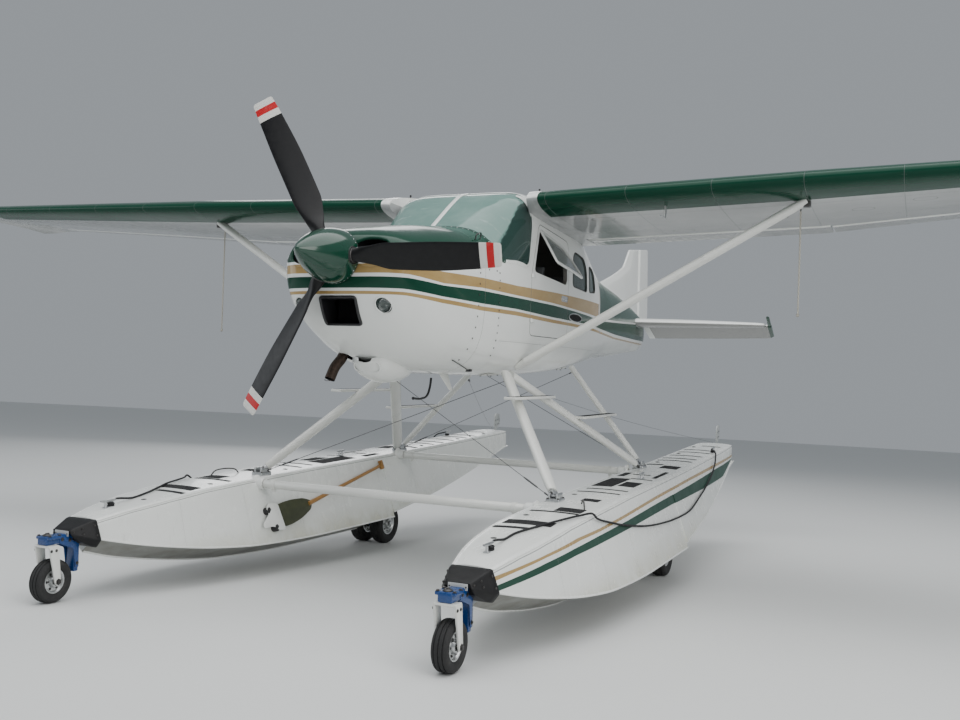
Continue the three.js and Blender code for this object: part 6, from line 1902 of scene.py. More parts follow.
# a faired bar: a teardrop section of chord by thick, its nose forward, from p to q
def faired(p, q, chord, thick, rows=24, swell=None):
    p, q = np.asarray(p, float), np.asarray(q, float)
    d = unit(q - p)
    aft = unit(np.array([0, 1.0, 0]) - d[1] * d)
    sideways = np.cross(d, aft)
    a = np.linspace(0, 2 * np.pi, 41)[:-1]
    s = (1 - np.cos(a)) / 2
    h = np.sign(np.sin(a)) * 1.98 * np.sqrt(s) * (1 - s) ** 0.72 * 0.66
    t = np.linspace(0, 1, rows)
    scale = np.ones(rows) if swell is None else 1 + np.interp(t * np.linalg.norm(q - p), *swell)
    rings = (lerp(p, q, t[:, None])[:, None] + ((s - 0.5) * chord)[None, :, None] * aft * scale[:, None, None]
             + (h * thick)[None, :, None] * sideways * scale[:, None, None])
    uv = np.stack(np.broadcast_arrays(t[:, None] * np.linalg.norm(q - p), a[None] / (2 * np.pi)), -1)
    return loft(rings, uv=uv)


wingStrut = {"foot": (0.470, 0.758, -0.646), "top": (2.516, 0.970, 0.575), "chord": 0.122, "thick": 0.054}
strutFeet = {"front": np.array([1.150, -0.144, deckHeight(-0.144) + 0.006]),
             "rear": np.array([1.140, 1.928, deckHeight(1.928) + 0.006])}
bodyFittings = {"front": np.array([0.500, 0.560, -0.712]), "frontAft": np.array([0.505, 0.660, -0.706]),
                "rear": np.array([0.468, 2.118, -0.640])}
strutSize = {"front": (0.118, 0.052), "diagonal": (0.104, 0.046), "rear": (0.092, 0.042)}
footLift = 0.0223


def boltHead(place, axis, radius=0.009, height=0.006, sides=6):
    return turnedShape([(0, radius), (height * 0.8, radius), (height, radius * 0.8), (height, 0)], place,
                       axis, sides)


def boltRow(places, axes, radius=0.007, height=0.005):
    return scattered(turnedShape([(0, radius * 1.5), (0.0012, radius * 1.5), (0.0013, radius),
                                  (height * 0.85, radius), (height, radius * 0.82), (height, 0)], (0, 0, 0),
                                 (0, 0, 1), 12), places,
                     np.broadcast_to(np.asarray(axes, float), np.shape(places)))


def makeWingStrut(side):
    name = sideName(side)
    foot, top = np.array(wingStrut["foot"]), np.array(wingStrut["top"])
    d = unit(top - foot)
    length = float(np.linalg.norm(top - foot))
    shape = faired(foot + d * 0.012, top - d * 0.004, wingStrut["chord"], wingStrut["thick"], 60,
                   ([0, 0.06, 0.14, length - 0.24, length - 0.14, length], [-0.30, -0.10, 0, 0, 0.0, -0.14]))
    # a lapped sleeve near the foot, and the bracket at the wing with its bolts
    shape.join(faired(foot + d * 0.100, foot + d * 0.230, wingStrut["chord"] * 1.03,
                      wingStrut["thick"] * 1.08, 12, ([0, 0.10, 0.13], [-0.02, 0.0, -0.02])), 0)
    shape.join(block(top + [-0.052, -0.034, -0.045], top + [0.026, 0.034, 0.004], 0.010), 1)
    for k in (-0.020, 0.016):
        shape.join(boltHead(top + [-0.030 + k * 0.5, -0.035, -0.022], (0, -1, 0), 0.0085), 1)
        shape.join(boltHead(top + [-0.030 + k * 0.5, 0.035, -0.022], (0, 1, 0), 0.0085), 1)
    # tie-down shackle under the strut's end
    c = np.array([2.476, 0.980, 0.519])
    a = turns(30)
    shape.join(closedTube(c + np.stack([0 * a, 0.0125 * np.cos(a), 0.0150 * np.sin(a)], -1), 0.0036,
                          np.broadcast_to([1.0, 0, 0], (30, 3)), 10), 1)
    shape.join(block(c + [-0.010, -0.012, 0.010], c + [0.010, 0.012, 0.042], 0.004), 1)
    shape.on(side).piece(f"wing_strut_faired_{name}", "airframe", [strutWhite, darkSteel],
                         [f"wing_strut_{name}"], "white_paint", 40)


# boarding steps lie on the outer faces of the struts: x of the middle, first and last y, and z
steps = {"front": (0.700, 0.120, 0.930, -0.853), "rear": (0.845, 1.200, 2.080, -1.012), "width": 0.088,
         "thick": 0.020}


def tread(x, first, last, z):
    lo = np.array([x - steps["width"] / 2, first, z - steps["thick"] / 2])
    hi = np.array([x + steps["width"] / 2, last, z + steps["thick"] / 2])
    shape = Shape().join(block(lo, hi, 0.006), 0)
    shape.join(block((lo[0] + 0.012, lo[1] + 0.012, hi[2] - 0.001),
                     (hi[0] - 0.012, hi[1] - 0.012, hi[2] + 0.0012), 0.001, 3), 2)
    return shape


def makeFloatStruts(side):
    name = sideName(side)
    lift = np.array([0, 0, footLift])
    frontFoot, frontTop = strutFeet["front"] + lift, bodyFittings["front"]
    diagFoot, diagTop = strutFeet["rear"] + lift + [0, -0.034, 0], bodyFittings["frontAft"]
    rearFoot, rearTop = strutFeet["rear"] + lift + [0, 0.034, 0], bodyFittings["rear"]

    def leg(foot, top, size, reach):
        d = unit(top - foot)
        s = faired(foot + d * 0.050, top + d * reach, *size, 44, ([0, 0.05, 0.12, 5], [-0.18, -0.06, 0, 0]))
        # end fitting: a narrow machined fork held by a through bolt
        s.join(boxBetween(foot + d * 0.004, foot + d * 0.085, size[0] * 0.52, size[1] * 0.62, 0.006,
                          (0, 1, 0)), 1)
        axis = unit(np.cross(d, np.cross([0, 1.0, 0], d)))
        s.join(turnedShape([(-0.040, 0), (-0.040, 0.010), (-0.033, 0.0105), (-0.033, 0.0075),
                            (0.033, 0.0075), (0.033, 0.0105), (0.040, 0.010), (0.040, 0)], foot + d * 0.020,
                           axis, 12), 3)
        for k in (0.115, 0.150):
            flat = np.cross(d, axis)
            for way in (1, -1):
                s.join(boltRow(np.array([foot + d * k + way * flat * size[1] * 0.475]),
                               np.array([way * flat]), 0.0042, 0.003), 1)
        return s

    front = leg(frontFoot, frontTop, strutSize["front"], 0.030)
    front.join(tread(*steps["front"]))
    front.on(side).piece(f"front_strut_faired_{name}", "airframe",
                         [strutWhite, bareAlloy, gripBlack, darkSteel], [f"front_strut_{name}"],
                         "white_paint", 40)
    pair = leg(diagFoot, diagTop, strutSize["diagonal"], 0.030)
    pair.join(leg(rearFoot, rearTop, strutSize["rear"], 0.030))
    pair.join(tread(*steps["rear"]))
    pair.on(side).piece(f"rear_struts_faired_{name}", "airframe",
                        [strutWhite, bareAlloy, gripBlack, darkSteel], [f"rear_strut_pair_{name}"],
                        "white_paint", 40)
    # where the struts leave the belly: plates with bolts
    plates, heads, ways = Shape(), [], []
    for c, half in ((bodyFittings["front"] + [0, 0.045, 0.010], (0.040, 0.115)),
                    (bodyFittings["rear"] + [0, 0, 0.006], (0.036, 0.060))):
        u = skin.uOf(c[1], c[2] + 0.004)
        p, n = skin.lay(np.array([c[1]]), u)
        p, n = p[0], n[0]
        across = unit(np.cross(n, [0, 1.0, 0]))
        loop = roundedLoop(square * [half[1], half[0]], 0.016, 5)
        plates.join(plate(loop, 0.006, p + n * 0.002, (0, 1, 0), across, 0.002))
        for a in (-0.82, 0.82):
            for b in (-0.7, 0.7):
                heads.append(p + np.array([0, 1.0, 0]) * half[1] * a + across * half[0] * b + n * 0.005)
                ways.append(n)
    plates.join(boltRow(heads, ways, 0.0055, 0.005), 1)
    plates.on(side).piece(f"belly_fittings_{name}", "airframe", [strutWhite, darkSteel], slot="white_paint",
                          sharp=40, merge=False)


for side in (1, -1):
    makeWingStrut(side)
    makeFloatStruts(side)
print("struts made")


# floats
hullLines = {"goldTop": [(-1.717, -1.665), (-1.523, -1.647), (-1.222, -1.621), (-0.802, -1.594),
                         (-0.400, -1.589), (0.081, -1.575), (0.962, -1.542), (2.129, -1.509),
                         (3.316, -1.483), (4.435, -1.471)],
             "goldLow": [(-1.701, -1.686), (-1.526, -1.664), (-1.227, -1.636), (-0.753, -1.611),
                         (-0.417, -1.607), (0.062, -1.593), (0.936, -1.563), (2.097, -1.531),
                         (3.333, -1.509), (4.430, -1.494)],
             "greenTop": [(-1.700, -1.710), (-1.533, -1.691), (-1.237, -1.662), (-0.881, -1.641),
                          (-0.500, -1.628), (0.142, -1.614), (0.901, -1.592), (2.051, -1.563),
                          (3.309, -1.528), (4.430, -1.511)],
             "greenLow": [(-1.700, -1.738), (-1.540, -1.723), (-1.251, -1.699), (-0.882, -1.678),
                          (-0.420, -1.670), (0.346, -1.659), (1.328, -1.642), (2.748, -1.634),
                          (3.503, -1.629), (4.200, -1.600)],
             "deck": [(r[0], r[1]) for r in foreHull + aftHull[1:]], "seamDrop": 0.022}
# offsets from the float's middle toward its outer side, then y
deckStrips = [(-0.180, 0.040, -1.050, -1.010), (-0.165, 0.130, -0.945, -0.840),
              (-0.155, 0.150, -0.545, -0.510), (-0.020, 0.150, -0.490, -0.360),
              (0.005, 0.120, -0.060, 0.040), (-0.149, 0.151, 0.324, 0.356), (-0.136, 0.160, 0.490, 0.522),
              (-0.150, 0.000, 0.650, 1.155), (0.020, 0.140, 0.720, 0.976), (-0.155, -0.100, 1.310, 1.550),
              (-0.066, 0.072, 1.438, 1.468), (-0.005, 0.158, 1.166, 1.194), (0.118, 0.150, 1.307, 1.742),
              (0.004, 0.150, 1.985, 2.185), (-0.160, -0.020, 2.205, 2.262), (-0.160, 0.145, 2.580, 2.620),
              (-0.160, 0.145, 2.780, 2.820), (-0.155, 0.145, 3.045, 3.085), (-0.152, 0.145, 3.366, 3.406),
              (-0.150, 0.142, 3.596, 3.636), (-0.060, 0.127, 4.005, 4.045)]
spreader = {"frontY": -0.290, "frontZ": -1.533, "rearY": 1.787, "rearZ": -1.463, "r": 0.030, "endX": 1.010}
well = {"y0": 1.500, "y1": 2.090, "half": 0.205, "top": -1.700}


def hullFinish():
    f = Finish("hullPaint", Coat_Roughness=0.07)
    at, (x, y, z) = f.airframe()
    between = lambda low, high: f.between(y, z, hullLines, low, high)
    outer = (abs(x) > floatPlace["x"] + 0.11)
    gold = between("goldLow", "goldTop") * outer
    green = between("greenLow", "greenTop") * outer * (y < (z + 1.513) * 7.3 + 4.45)
    drop = f.along(y, hullLines["deck"]) - z
    seam = f.span(abs(drop - hullLines["seamDrop"]), 0.0012, 0.0030, 1, 0)
    haze = f.noise(at, 2.2, 5, 0.6)
    grime = f.noise(f.stretched(at, (1.5, 0.8, 0.5)), 6, 6, 0.7)
    runs = f.noise(f.stretched(at, (9, 9, 0.6)), 4, 3, 0.6)
    white = f.mix(f.span(haze, 0.35, 0.75, 0, 0.5), (0.80, 0.815, 0.79), (0.71, 0.735, 0.70))
    # below the water's usual line the paint is yellowed and stained
    wet = (f.span(z, -1.80, -2.00) * f.span(grime, 0.28, 0.60)).most(f.span(grime, 0.60, 0.78, 0, 0.28))
    white = f.mix(wet * 0.7, white, (0.40, 0.375, 0.22))
    white = f.mix(f.span(runs, 0.60, 0.78, 0, 0.22) * f.span(z, -1.45, -1.6), white, (0.42, 0.43, 0.40))
    tone = f.mix(gold, f.mix(green, white, paint["green"]), (0.37, 0.25, 0.10))
    tone = f.mix(seam * 0.75, tone, (0.10, 0.11, 0.11))
    # skin panels: seams every 0.61 m with rivets beside them on the sides
    bay = abs((y + 5.07).inBay(0.61))
    line = f.span(bay, 0.0010, 0.0026, 1, 0)
    rivet = 0.0018
    rivets = f.dot(bay - 0.012, z.inBay(0.028), rivet).most(f.dot(drop - 0.024, y.inBay(0.028), rivet))
    f.set("Base Color", f.mix((line.most(rivets)) * 0.22, tone, (0.30, 0.31, 0.30)))
    f.set("Coat Weight", f.span(haze, 0.3, 0.8, 0.4, 0.2) * (1 - green))
    f.set("Roughness", f.span(grime, 0.3, 0.75, 0.18, 0.34) + green * 0.18)
    f.bump(rivets * 0.10 - (line.most(seam)) * 0.3 + f.noise(at, 4.5, 2, 0.4), 0.0035)
    return f.material


hullPaint = hullFinish()
# painted shade: the hull bottoms and the step well take a grey far darker than the white sides, mottled with
# brownish stains
shadedHullBottom = rough("shadedHullBottom", (0.30, 0.305, 0.29), (0.17, 0.165, 0.14), 8, 0.42, 0.001)


# Half a hull section from the deck's middle out, down the side and in to the keel, in metres from the float's
# centre, and the number of its points before the bottom
def hullSection(rows, y):
    deck, hd, hc, cz, kz = (v[:, None] for v in follow(rows, y))
    t = np.linspace(0, 1, 9)[None]
    top = np.stack([t[:, :-1] * (hd - 0.034), deck + 0.006 * (1 - t[:, :-1] ** 2)], -1)
    b = np.linspace(0, 1, 9)[None]
    slope = (hc - hd) / (deck - cz)
    a1, a2, a3 = np.concatenate([hd - 0.034, deck], 1), np.concatenate([hd - 0.001, deck - 0.001],
            1), np.concatenate([hd + 0.002 + slope * 0.036, deck - 0.036], 1)
    arc = (1 - b)[..., None] ** 2 * a1[:, None] + 2 * (b * (1 - b))[..., None] * a2[:, None] + b[...,
            None] ** 2 * a3[:, None]
    t = np.linspace(0, 1, 16)[None]
    sideX, sideZ = lerp(a3[:, :1], hc - 0.002, t), lerp(a3[:, 1:], cz + 0.002, t)
    side = np.stack([sideX[:, 1:], sideZ[:, 1:]], -1)
    t = np.linspace(0, 1, 13)[None, 1:]
    low = np.stack([np.broadcast_to(hc * (1 - t), (len(y), 12)),
                    lerp(cz, kz, t) + 0.012 * np.sin(np.pi * t)], -1)
    return np.concatenate([top, arc, side, low], 1), top.shape[1] + arc.shape[1] + side.shape[1]


# one half of the hull, from station y0 to y1, open where the well is
def hullShell(rows, y0, y1):
    y = np.unique(np.concatenate([np.linspace(y0, y1, 150),
                                  [v for v in (well["y0"], well["y1"]) if y0 < v < y1]]))
    half, chineAt = hullSection(rows, y)
    # points of the bottom line up with the well's walls
    if y0 > 1:
        _, _, hc, cz, kz = follow(rows, y)
        inner = np.full((len(y), 1), well["half"])
        bx = np.concatenate([np.linspace(1, 0, 7)[None, 1:-1] * (hc - well["half"])[:, None] + well["half"],
                             inner, np.linspace(1, 0, 7)[None, 1:] * inner], 1)
        t = 1 - bx / hc[:, None]
        low = np.stack([bx, lerp(cz[:, None], kz[:, None], t) + 0.012 * np.sin(np.pi * t)], -1)
        half = np.concatenate([half[:, :chineAt], low], 1)
    ring = np.concatenate([half, (half[:, 1:-1] * [-1, 1])[:, ::-1]], 1)
    across = ring[..., 0] + floatPlace["x"]
    shell = loft(np.stack([across, np.repeat(y[:, None], ring.shape[1], 1), ring[..., 1]], -1))
    points = np.vstack(shell.points)
    faces = []
    for f, _ in shell.faces:
        if f.shape[1] > 4:
            faces.append((f, 0))
            continue
        x, y, z = points[f].mean(1).T
        bottom = z < follow(rows, y)[3] - 0.001
        inWell = bottom & (abs(x - floatPlace["x"]) < well["half"]) & (y > well["y0"]) & (y < well["y1"])
        faces += [(f[bottom & ~inWell], 1), (f[~bottom], 0)]
    shell.faces = [(f, m) for f, m in faces if len(f)]
    return shell


# the well's walls and its roof, seen from below
def wellShape():
    fx, y0, y1, top = floatPlace["x"], well["y0"], well["y1"], well["top"]
    x0, x1 = fx - well["half"], fx + well["half"]
    near = np.array(aftHull[:2])
    at = lambda y, k: np.interp(y, near[:, 0], near[:, k])
    lowZ = lambda x, y: float(lerp(at(y, 4), at(y, 5), 1 - abs(x - fx) / at(y, 3)))
    corners = np.array([(x0, y0), (x1, y0), (x1, y1), (x0, y1)])
    walls = np.array([lerp(p, q, t) for p, q in zip(corners, np.roll(corners, -1, 0))
                      for t in np.linspace(0, 1, 12)[:-1]])
    bottomZ = np.array([lowZ(x, y) for x, y in walls]) + 0.010
    rows = np.stack([np.column_stack([walls, lerp(bottomZ, np.full(len(walls), top), t)])
                     for t in np.linspace(0, 1, 5)])
    shape = facing(sheetOf(wrapped(rows)), (-1, -1, 0), (fx, (y0 + y1) / 2, 0))
    return shape.join(Shape().add([(x0, y0, top), (x0, y1, top), (x1, y1, top), (x1, y0, top)],
                                  np.array([[0, 1, 2, 3]])))


# the rails' ends, and each length of keel with its number of points
rails = ((foreHull, (-1.690, 1.446), ((-1.690, 1.446, 90),)),
         (aftHull, (1.452, 4.398), ((1.452, 1.499, 40), (2.092, 4.398, 40))))
# cleats as y and offset; y of the bilge holes' covers
cleats = ((-1.500, 0.0), (1.240, 0.060), (3.540, 0.150))
bilgeCovers = (-1.270, -0.690, 0.180, 1.090, 2.420, 3.230, 3.900)


# chine rails, the rub strip under the deck's edge, and the keel
def hullRails():
    shape = Shape()

    def run(x, y, z, radius):
        shape.join(tube(np.stack([floatPlace["x"] + x, y, z], -1), radius, 8, (0, 0, 1)))

    for rows, ends, keels in rails:
        y = np.linspace(*ends, 90)
        deck, hd, hc, cz, _ = follow(rows, y)
        for way in (1, -1):
            run(way * (hc - 0.003), y, cz - 0.001, 0.0065)
            run(way * (hd - 0.004), y, deck - 0.010, 0.0045)
        for first, last, count in keels:
            y = np.linspace(first, last, count)
            run(np.zeros(count), y, follow(rows, y)[4] + 0.002, 0.008)
    return shape


# feet for the struts, collars for the spreaders, and cleats
def hullFittings():
    shape = Shape()
    for foot in strutFeet.values():
        shape.join(block(foot + [-0.046, -0.060, -0.014], foot + [0.046, 0.060, 0.016], 0.006), 3)
        for way in (1, -1):
            shape.join(block(foot + [way * 0.020, -0.048, 0.012], foot + [way * 0.034, 0.048, 0.052],
                             0.005), 3)
        heads = np.array([foot + [a * 0.036, b * 0.050, 0.016] for a in (1, -1) for b in (1, -1)])
        shape.join(boltRow(heads, (0, 0, 1), 0.006, 0.006), 4)
    collar = [(0, 0.0305), (0, 0.040), (0.006, 0.042), (0.050, 0.042), (0.060, 0.055), (0.072, 0.060),
              (0.078, 0.0305), (0, 0.0305)]
    for y, z in ((spreader["frontY"], spreader["frontZ"]), (spreader["rearY"], spreader["rearZ"])):
        shape.join(turnedShape(collar, (spreader["endX"], y, z), (1, 0, 0), 28), 2)
    s = np.linspace(-1, 1, 25)
    for y, offset in cleats:
        c = np.array([floatPlace["x"] + offset, y, float(deckHeight(y)) + 0.004])
        shape.join(block(c + [-0.016, -0.036, -0.006], c + [0.016, 0.036, 0.006], 0.004), 3)
        for way in (1, -1):
            shape.join(turnedShape([(0, 0.011), (0.012, 0.0075), (0.032, 0.0075), (0.036, 0.008)],
                                   c + [0, way * 0.022, 0], (0, 0, 1), 14), 3)
        horns = np.stack([np.full(25, c[0]), c[1] + 0.062 * s, c[2] + 0.038 + 0.004 * np.abs(s) ** 3], -1)
        shape.join(tube(horns, 0.0092 - 0.0035 * np.abs(s) ** 2.5, 12, (0, 0, 1)), 3)
    return shape


def makeHull(side):
    shape = hullShell(foreHull, -1.7003, 1.4485)
    shape.join(hullShell(aftHull, 1.4490, 4.400))
    shape.join(wellShape(), 1)
    shape.join(hullRails(), 2)
    shape.join(hullFittings())
    shape.on(side).piece(f"float_hull_{sideName(side)}", "airframe",
                         [hullPaint, shadedHullBottom, floatWhite, bareAlloy, darkSteel],
                         [f"hull_{sideName(side)}"], "white_paint", 32)


# grip strips laid over the cambered deck, and small round covers of the bilge holes
def makeDeckStrips(side):
    fx = floatPlace["x"]
    strips = Shape()
    for o0, o1, y0, y1 in deckStrips:
        y, x = np.meshgrid(np.linspace(y0, y1, max(2, int((y1 - y0) / 0.05))), np.linspace(o0, o1, 9),
                           indexing="ij")
        deck, hd = (v.reshape(y.shape) for v in follow(foreHull + aftHull[1:], y.ravel())[:2])
        z = deck + 0.006 * (1 - (x / (hd - 0.034)) ** 2) + 0.0016
        top = np.stack([fx + x, y, z], -1)
        strips.join(facing(sheetOf(top), (0, 0, 1)), 0)
        rim = np.concatenate([top[0, :-1], top[:-1, -1], top[-1, :0:-1], top[:0:-1, 0]])
        band = np.stack([rim, rim - [0, 0, 0.0026]])
        strips.join(facing(sheetOf(wrapped(band)), 1, rim.mean(0)), 0)
    for y in bilgeCovers:
        strips.join(turnedShape([(0, 0.020), (0.004, 0.019), (0.006, 0.010), (0.006, 0)],
                                (fx - 0.115 if y > -1.2 else fx - 0.07, y, float(deckHeight(y)) + 0.002),
                                (0, 0, 1), 20), 1)
    strips.on(side).piece(f"deck_strips_{sideName(side)}", "airframe", [gripBlack, blackRubber],
                          slot="black_paint", sharp=40)


def makeSpreaders():
    for name, y, z in (("front", spreader["frontY"], spreader["frontZ"]),
                       ("rear", spreader["rearY"], spreader["rearZ"])):
        reach = spreader["endX"] - 0.0003
        r = spreader["r"]
        shape = turnedShape([(-reach, 0), (-reach, r - 0.002), (-reach + 0.003, r), (reach - 0.003, r),
                             (reach, r - 0.002), (reach, 0)], (0, y, z), (1, 0, 0), 36)
        for x in (-0.93, 0.93):
            shape.join(turnedShape(hoop(-0.016, 0.016, r - 0.001, r + 0.004), (x, y, z), (1, 0, 0), 36), 0)
            shape.join(block((x - 0.012, y - 0.012, z - r - 0.022), (x + 0.012, y + 0.012, z - r + 0.002),
                             0.003), 0)
            shape.join(boltHead((x, y + 0.012, z - r - 0.012), (0, 1, 0), 0.007), 2)
        shape.piece(f"spreader_bar_{name}", "airframe", [strutWhite, bareAlloy, darkSteel],
                    [f"spreader_{name}"], "white_paint", 40)


for side in (1, -1):
    makeHull(side)
    makeDeckStrips(side)
makeSpreaders()
print("floats made")


# bow bumpers
bumper = {"fore": [(-1.7003, (0.112, -1.627), (0.156, -1.742), (0.118, -1.792)),
                   (-1.724, (0.108, -1.630), (0.152, -1.742), (0.114, -1.786)),
                   (-1.852, (0.066, -1.673), (0.078, -1.700), (0.070, -1.716))],
          "beamTop": -1.697}
bumperGrey = rough("bumperRubber", (0.004, 0.004, 0.0045), (0.010, 0.010, 0.011), 30, 0.5, 0.0006,
                   Specular_IOR_Level=0.3)
legBlue = glossy("legBlue", (0.004, 0.045, 0.185), 0.2, 0.0004, 0.05)
blankPlate = rough("blankPlate", (0.55, 0.56, 0.56), (0.47, 0.48, 0.48), 8, 0.4, 0.0001)


# corner j of the bumper's outline at a station
def bumperCorner(y, j):
    rows = bumper["fore"]
    return np.array([np.interp(-y, [-r[0] for r in rows], [r[j][i] for r in rows]) for i in (0, 1)])


def makeBumper(side):
    name = sideName(side)
    fx = floatPlace["x"]
    rings = []
    for t in np.linspace(0, 1, 19):
        y = lerp(-1.7003, -1.852, t)
        a, b, c = (bumperCorner(y, j) for j in (1, 2, 3))
        shrink = 0.004 * smoothstep((t - 0.93) / 0.07)
        loop = np.array([a * [-1, 1], a, b, c, c * [-1, 1], b * [-1, 1]])
        loop = roundedLoop(loop, 0.010, 5)
        if shrink:
            loop = offsetLoop(loop, -shrink)
        rings.append(np.column_stack([loop[:, 0] + fx, np.full(len(loop), y), loop[:, 1]]))
    # the bumper's underside is cut away over the gear's beam: points there rise to its top
    rings = np.array(rings)
    under = (rings[..., 2] < bumper["beamTop"]) & (np.abs(rings[..., 0] - fx) < 0.072)
    rings[..., 2] = np.where(under, bumper["beamTop"] + 0.0004, rings[..., 2])
    shape = loft(rings)
    # bolts along both slanting cheeks, and a pale blank plate let into the front
    heads, ways = [], []
    for way in (1, -1):
        for y, k in ((-1.722, 0.25), (-1.722, 0.75), (-1.790, 0.3), (-1.790, 0.7), (-1.838, 0.5)):
            a, b = bumperCorner(y, 1), bumperCorner(y, 2)
            p = lerp(a, b, k)
            n = unit(np.array([b[1] - a[1], 0, -(b[0] - a[0])]) * [-1, 1, 1])
            heads.append((fx + way * (p[0] - 0.0005), y, p[1]))
            ways.append((way * n[0], -0.15, n[2]))
    shape.join(boltRow(heads, ways, 0.0055, 0.005), 1)
    shape.join(block((fx - 0.052, -1.8560, -1.712), (fx + 0.052, -1.8515, -1.680), 0.0015), 2)
    for x in (-0.044, 0.044):
        shape.join(boltRow(np.array([[fx + x, -1.856, -1.696]]), np.array([[0, -1.0, 0]]), 0.003, 0.002), 1)
    shape.on(side).piece(f"bow_bumper_block_{name}", "airframe", [bumperGrey, darkSteel, blankPlate],
                         [f"bow_bumper_{name}"], "bumper_rubber", 30)


# landing gear
gear = {"noseAxle": (-1.923, -1.961), "noseR": 0.1262, "noseW": 0.088, "mainAxle": (1.760, -2.094),
        "mainR": 0.1797, "mainW": 0.122, "mainAt": 0.103}
tyreShape = [(0.66, 0.54), (0.98, 0.74), (0.99, 0.87), (0.78, 0.96), (0.34, 1.0)]


def tyreFinish():
    f = Finish("tyreRubber", Roughness=0.78)
    at = f.place()
    grain = f.noise(at, 130, 4, 0.6)
    dust = f.noise(at, 9, 5, 0.65)
    base = f.mix(f.span(grain, 0.3, 0.7), (0.012, 0.012, 0.0125), (0.024, 0.024, 0.024))
    f.set("Base Color", f.mix(f.span(dust, 0.52, 0.8, 0, 0.3), base, (0.10, 0.095, 0.085)))
    f.bump(grain, 0.0004)
    return f.material


tyreRubber = tyreFinish()
hubSilver = rough("hubSilver", (0.60, 0.61, 0.61), (0.48, 0.49, 0.49), 60, 0.30, 0.0002, 0.85)


# Half a tyre's section is a smooth line through the shares; grooves are cut straight round the tread.
def wheelShape(R, W, centre, grooves, hubHalf, spokes):
    rim = 0.52 * R
    half = smoothLine([(0.312, 0.50), *tyreShape, (0.0, 1.004)], 34)
    half = half[half[:, 1] >= 0.499]
    side = np.minimum(half[:-1], [np.inf, 1.0]) * [W / 2, R]
    # tread: the flat middle part with its grooves
    edge = 0.34 * W / 2 * 1.9
    keep = side[side[:, 0] > edge]
    tread = []
    for g in sorted(grooves, reverse=True):
        x = g * W / 2
        w, deep = 0.0030, 0.0045
        r = lambda q: R - (abs(q) / (W / 2)) ** 2.6 * 0.035 * R
        tread += [(x + w, r(x + w)), (x + w * 0.7, r(x) - deep), (x - w * 0.7, r(x) - deep),
                  (x - w, r(x - w))]
    right = [(a, b) for a, b in keep]
    left = [(-a, b) for a, b in keep[::-1]]
    profile = right + tread + left
    profile = [(profile[0][0], rim)] + profile + [(profile[-1][0], rim)] + [(profile[0][0], rim)]
    shape = turnedShape(profile, centre, (1, 0, 0), 72)
    # wheel: flanges, dished web with lightening holes suggested by bosses, hub, bolts
    h = hubHalf
    hub = [(-h, 0.020), (-h, 0.24 * R), (-h * 0.78, 0.28 * R), (-h * 0.55, 0.30 * R), (-h * 0.52, 0.44 * R),
           (-0.36 * W, 0.50 * R), (-0.37 * W, 0.555 * R), (-0.34 * W, 0.56 * R), (-0.30 * W, 0.525 * R),
           (0.30 * W, 0.525 * R), (0.34 * W, 0.56 * R), (0.37 * W, 0.555 * R), (0.36 * W, 0.50 * R),
           (h * 0.52, 0.44 * R), (h * 0.55, 0.30 * R), (h * 0.78, 0.28 * R), (h, 0.24 * R), (h, 0.020),
           (-h, 0.020)]
    shape.join(turnedShape(hub, centre, (1, 0, 0), 56), 1)
    a = turns(spokes)
    for way in (1, -1):
        places = np.stack([np.full(spokes, centre[0] + way * h * 0.535), centre[1] + 0.37 * R * np.cos(a),
                           centre[2] + 0.37 * R * np.sin(a)], -1)
        shape.join(boltRow(places, (way, 0, 0), 0.0052, 0.007), 2)
    a = a + np.pi / spokes
    for way in (1, -1):
        places = np.stack([np.full(spokes, centre[0] + way * (h - 0.001)),
                           centre[1] + 0.165 * R * np.cos(a), centre[2] + 0.165 * R * np.sin(a)], -1)
        shape.join(boltRow(places, (way, 0, 0), 0.0028, 0.002), 2)
    # valve
    shape.join(turnedShape([(0, 0.004), (0.016, 0.004), (0.017, 0.0055), (0.024, 0.005), (0.025, 0)],
                           np.array(centre) + [h * 0.5, 0.30 * R, 0.30 * R], (1, 0.3, 0.3), 10), 3)
    return shape


# The nose leg, x from the float's middle and the rest as y and z: its blocks as two corners and a radius, its
# side plates' outline with the bolts, y of the head bolts and of the king pin, and the fork's arms
noseLeg = {"blocks": (((-0.038, -1.994, -1.7477), (0.038, -1.7005, -1.6975), 0.007),
                      ((-0.056, -1.990, -1.716), (0.056, -1.900, -1.6972), 0.006),
                      ((-0.032, -1.786, -1.930), (0.032, -1.752, -1.700), 0.007)),
           "plate": [(-1.905, -1.704), (-1.760, -1.704), (-1.757, -1.905), (-1.781, -1.905),
                     (-1.800, -1.790), (-1.905, -1.746)],
           "bolts": ((-1.885, -1.724), (-1.775, -1.724), (-1.769, -1.880), (-1.830, -1.735)),
           "heads": (-1.978, -1.912), "top": -1.6972, "pinY": -1.961,
           "arm": [(-1.995, -1.750), (-1.927, -1.750), (-1.903, -1.955), (-1.911, -1.981),
                   (-1.935, -1.981), (-1.947, -1.961)],
           "armBolts": (-1.980, -1.945)}


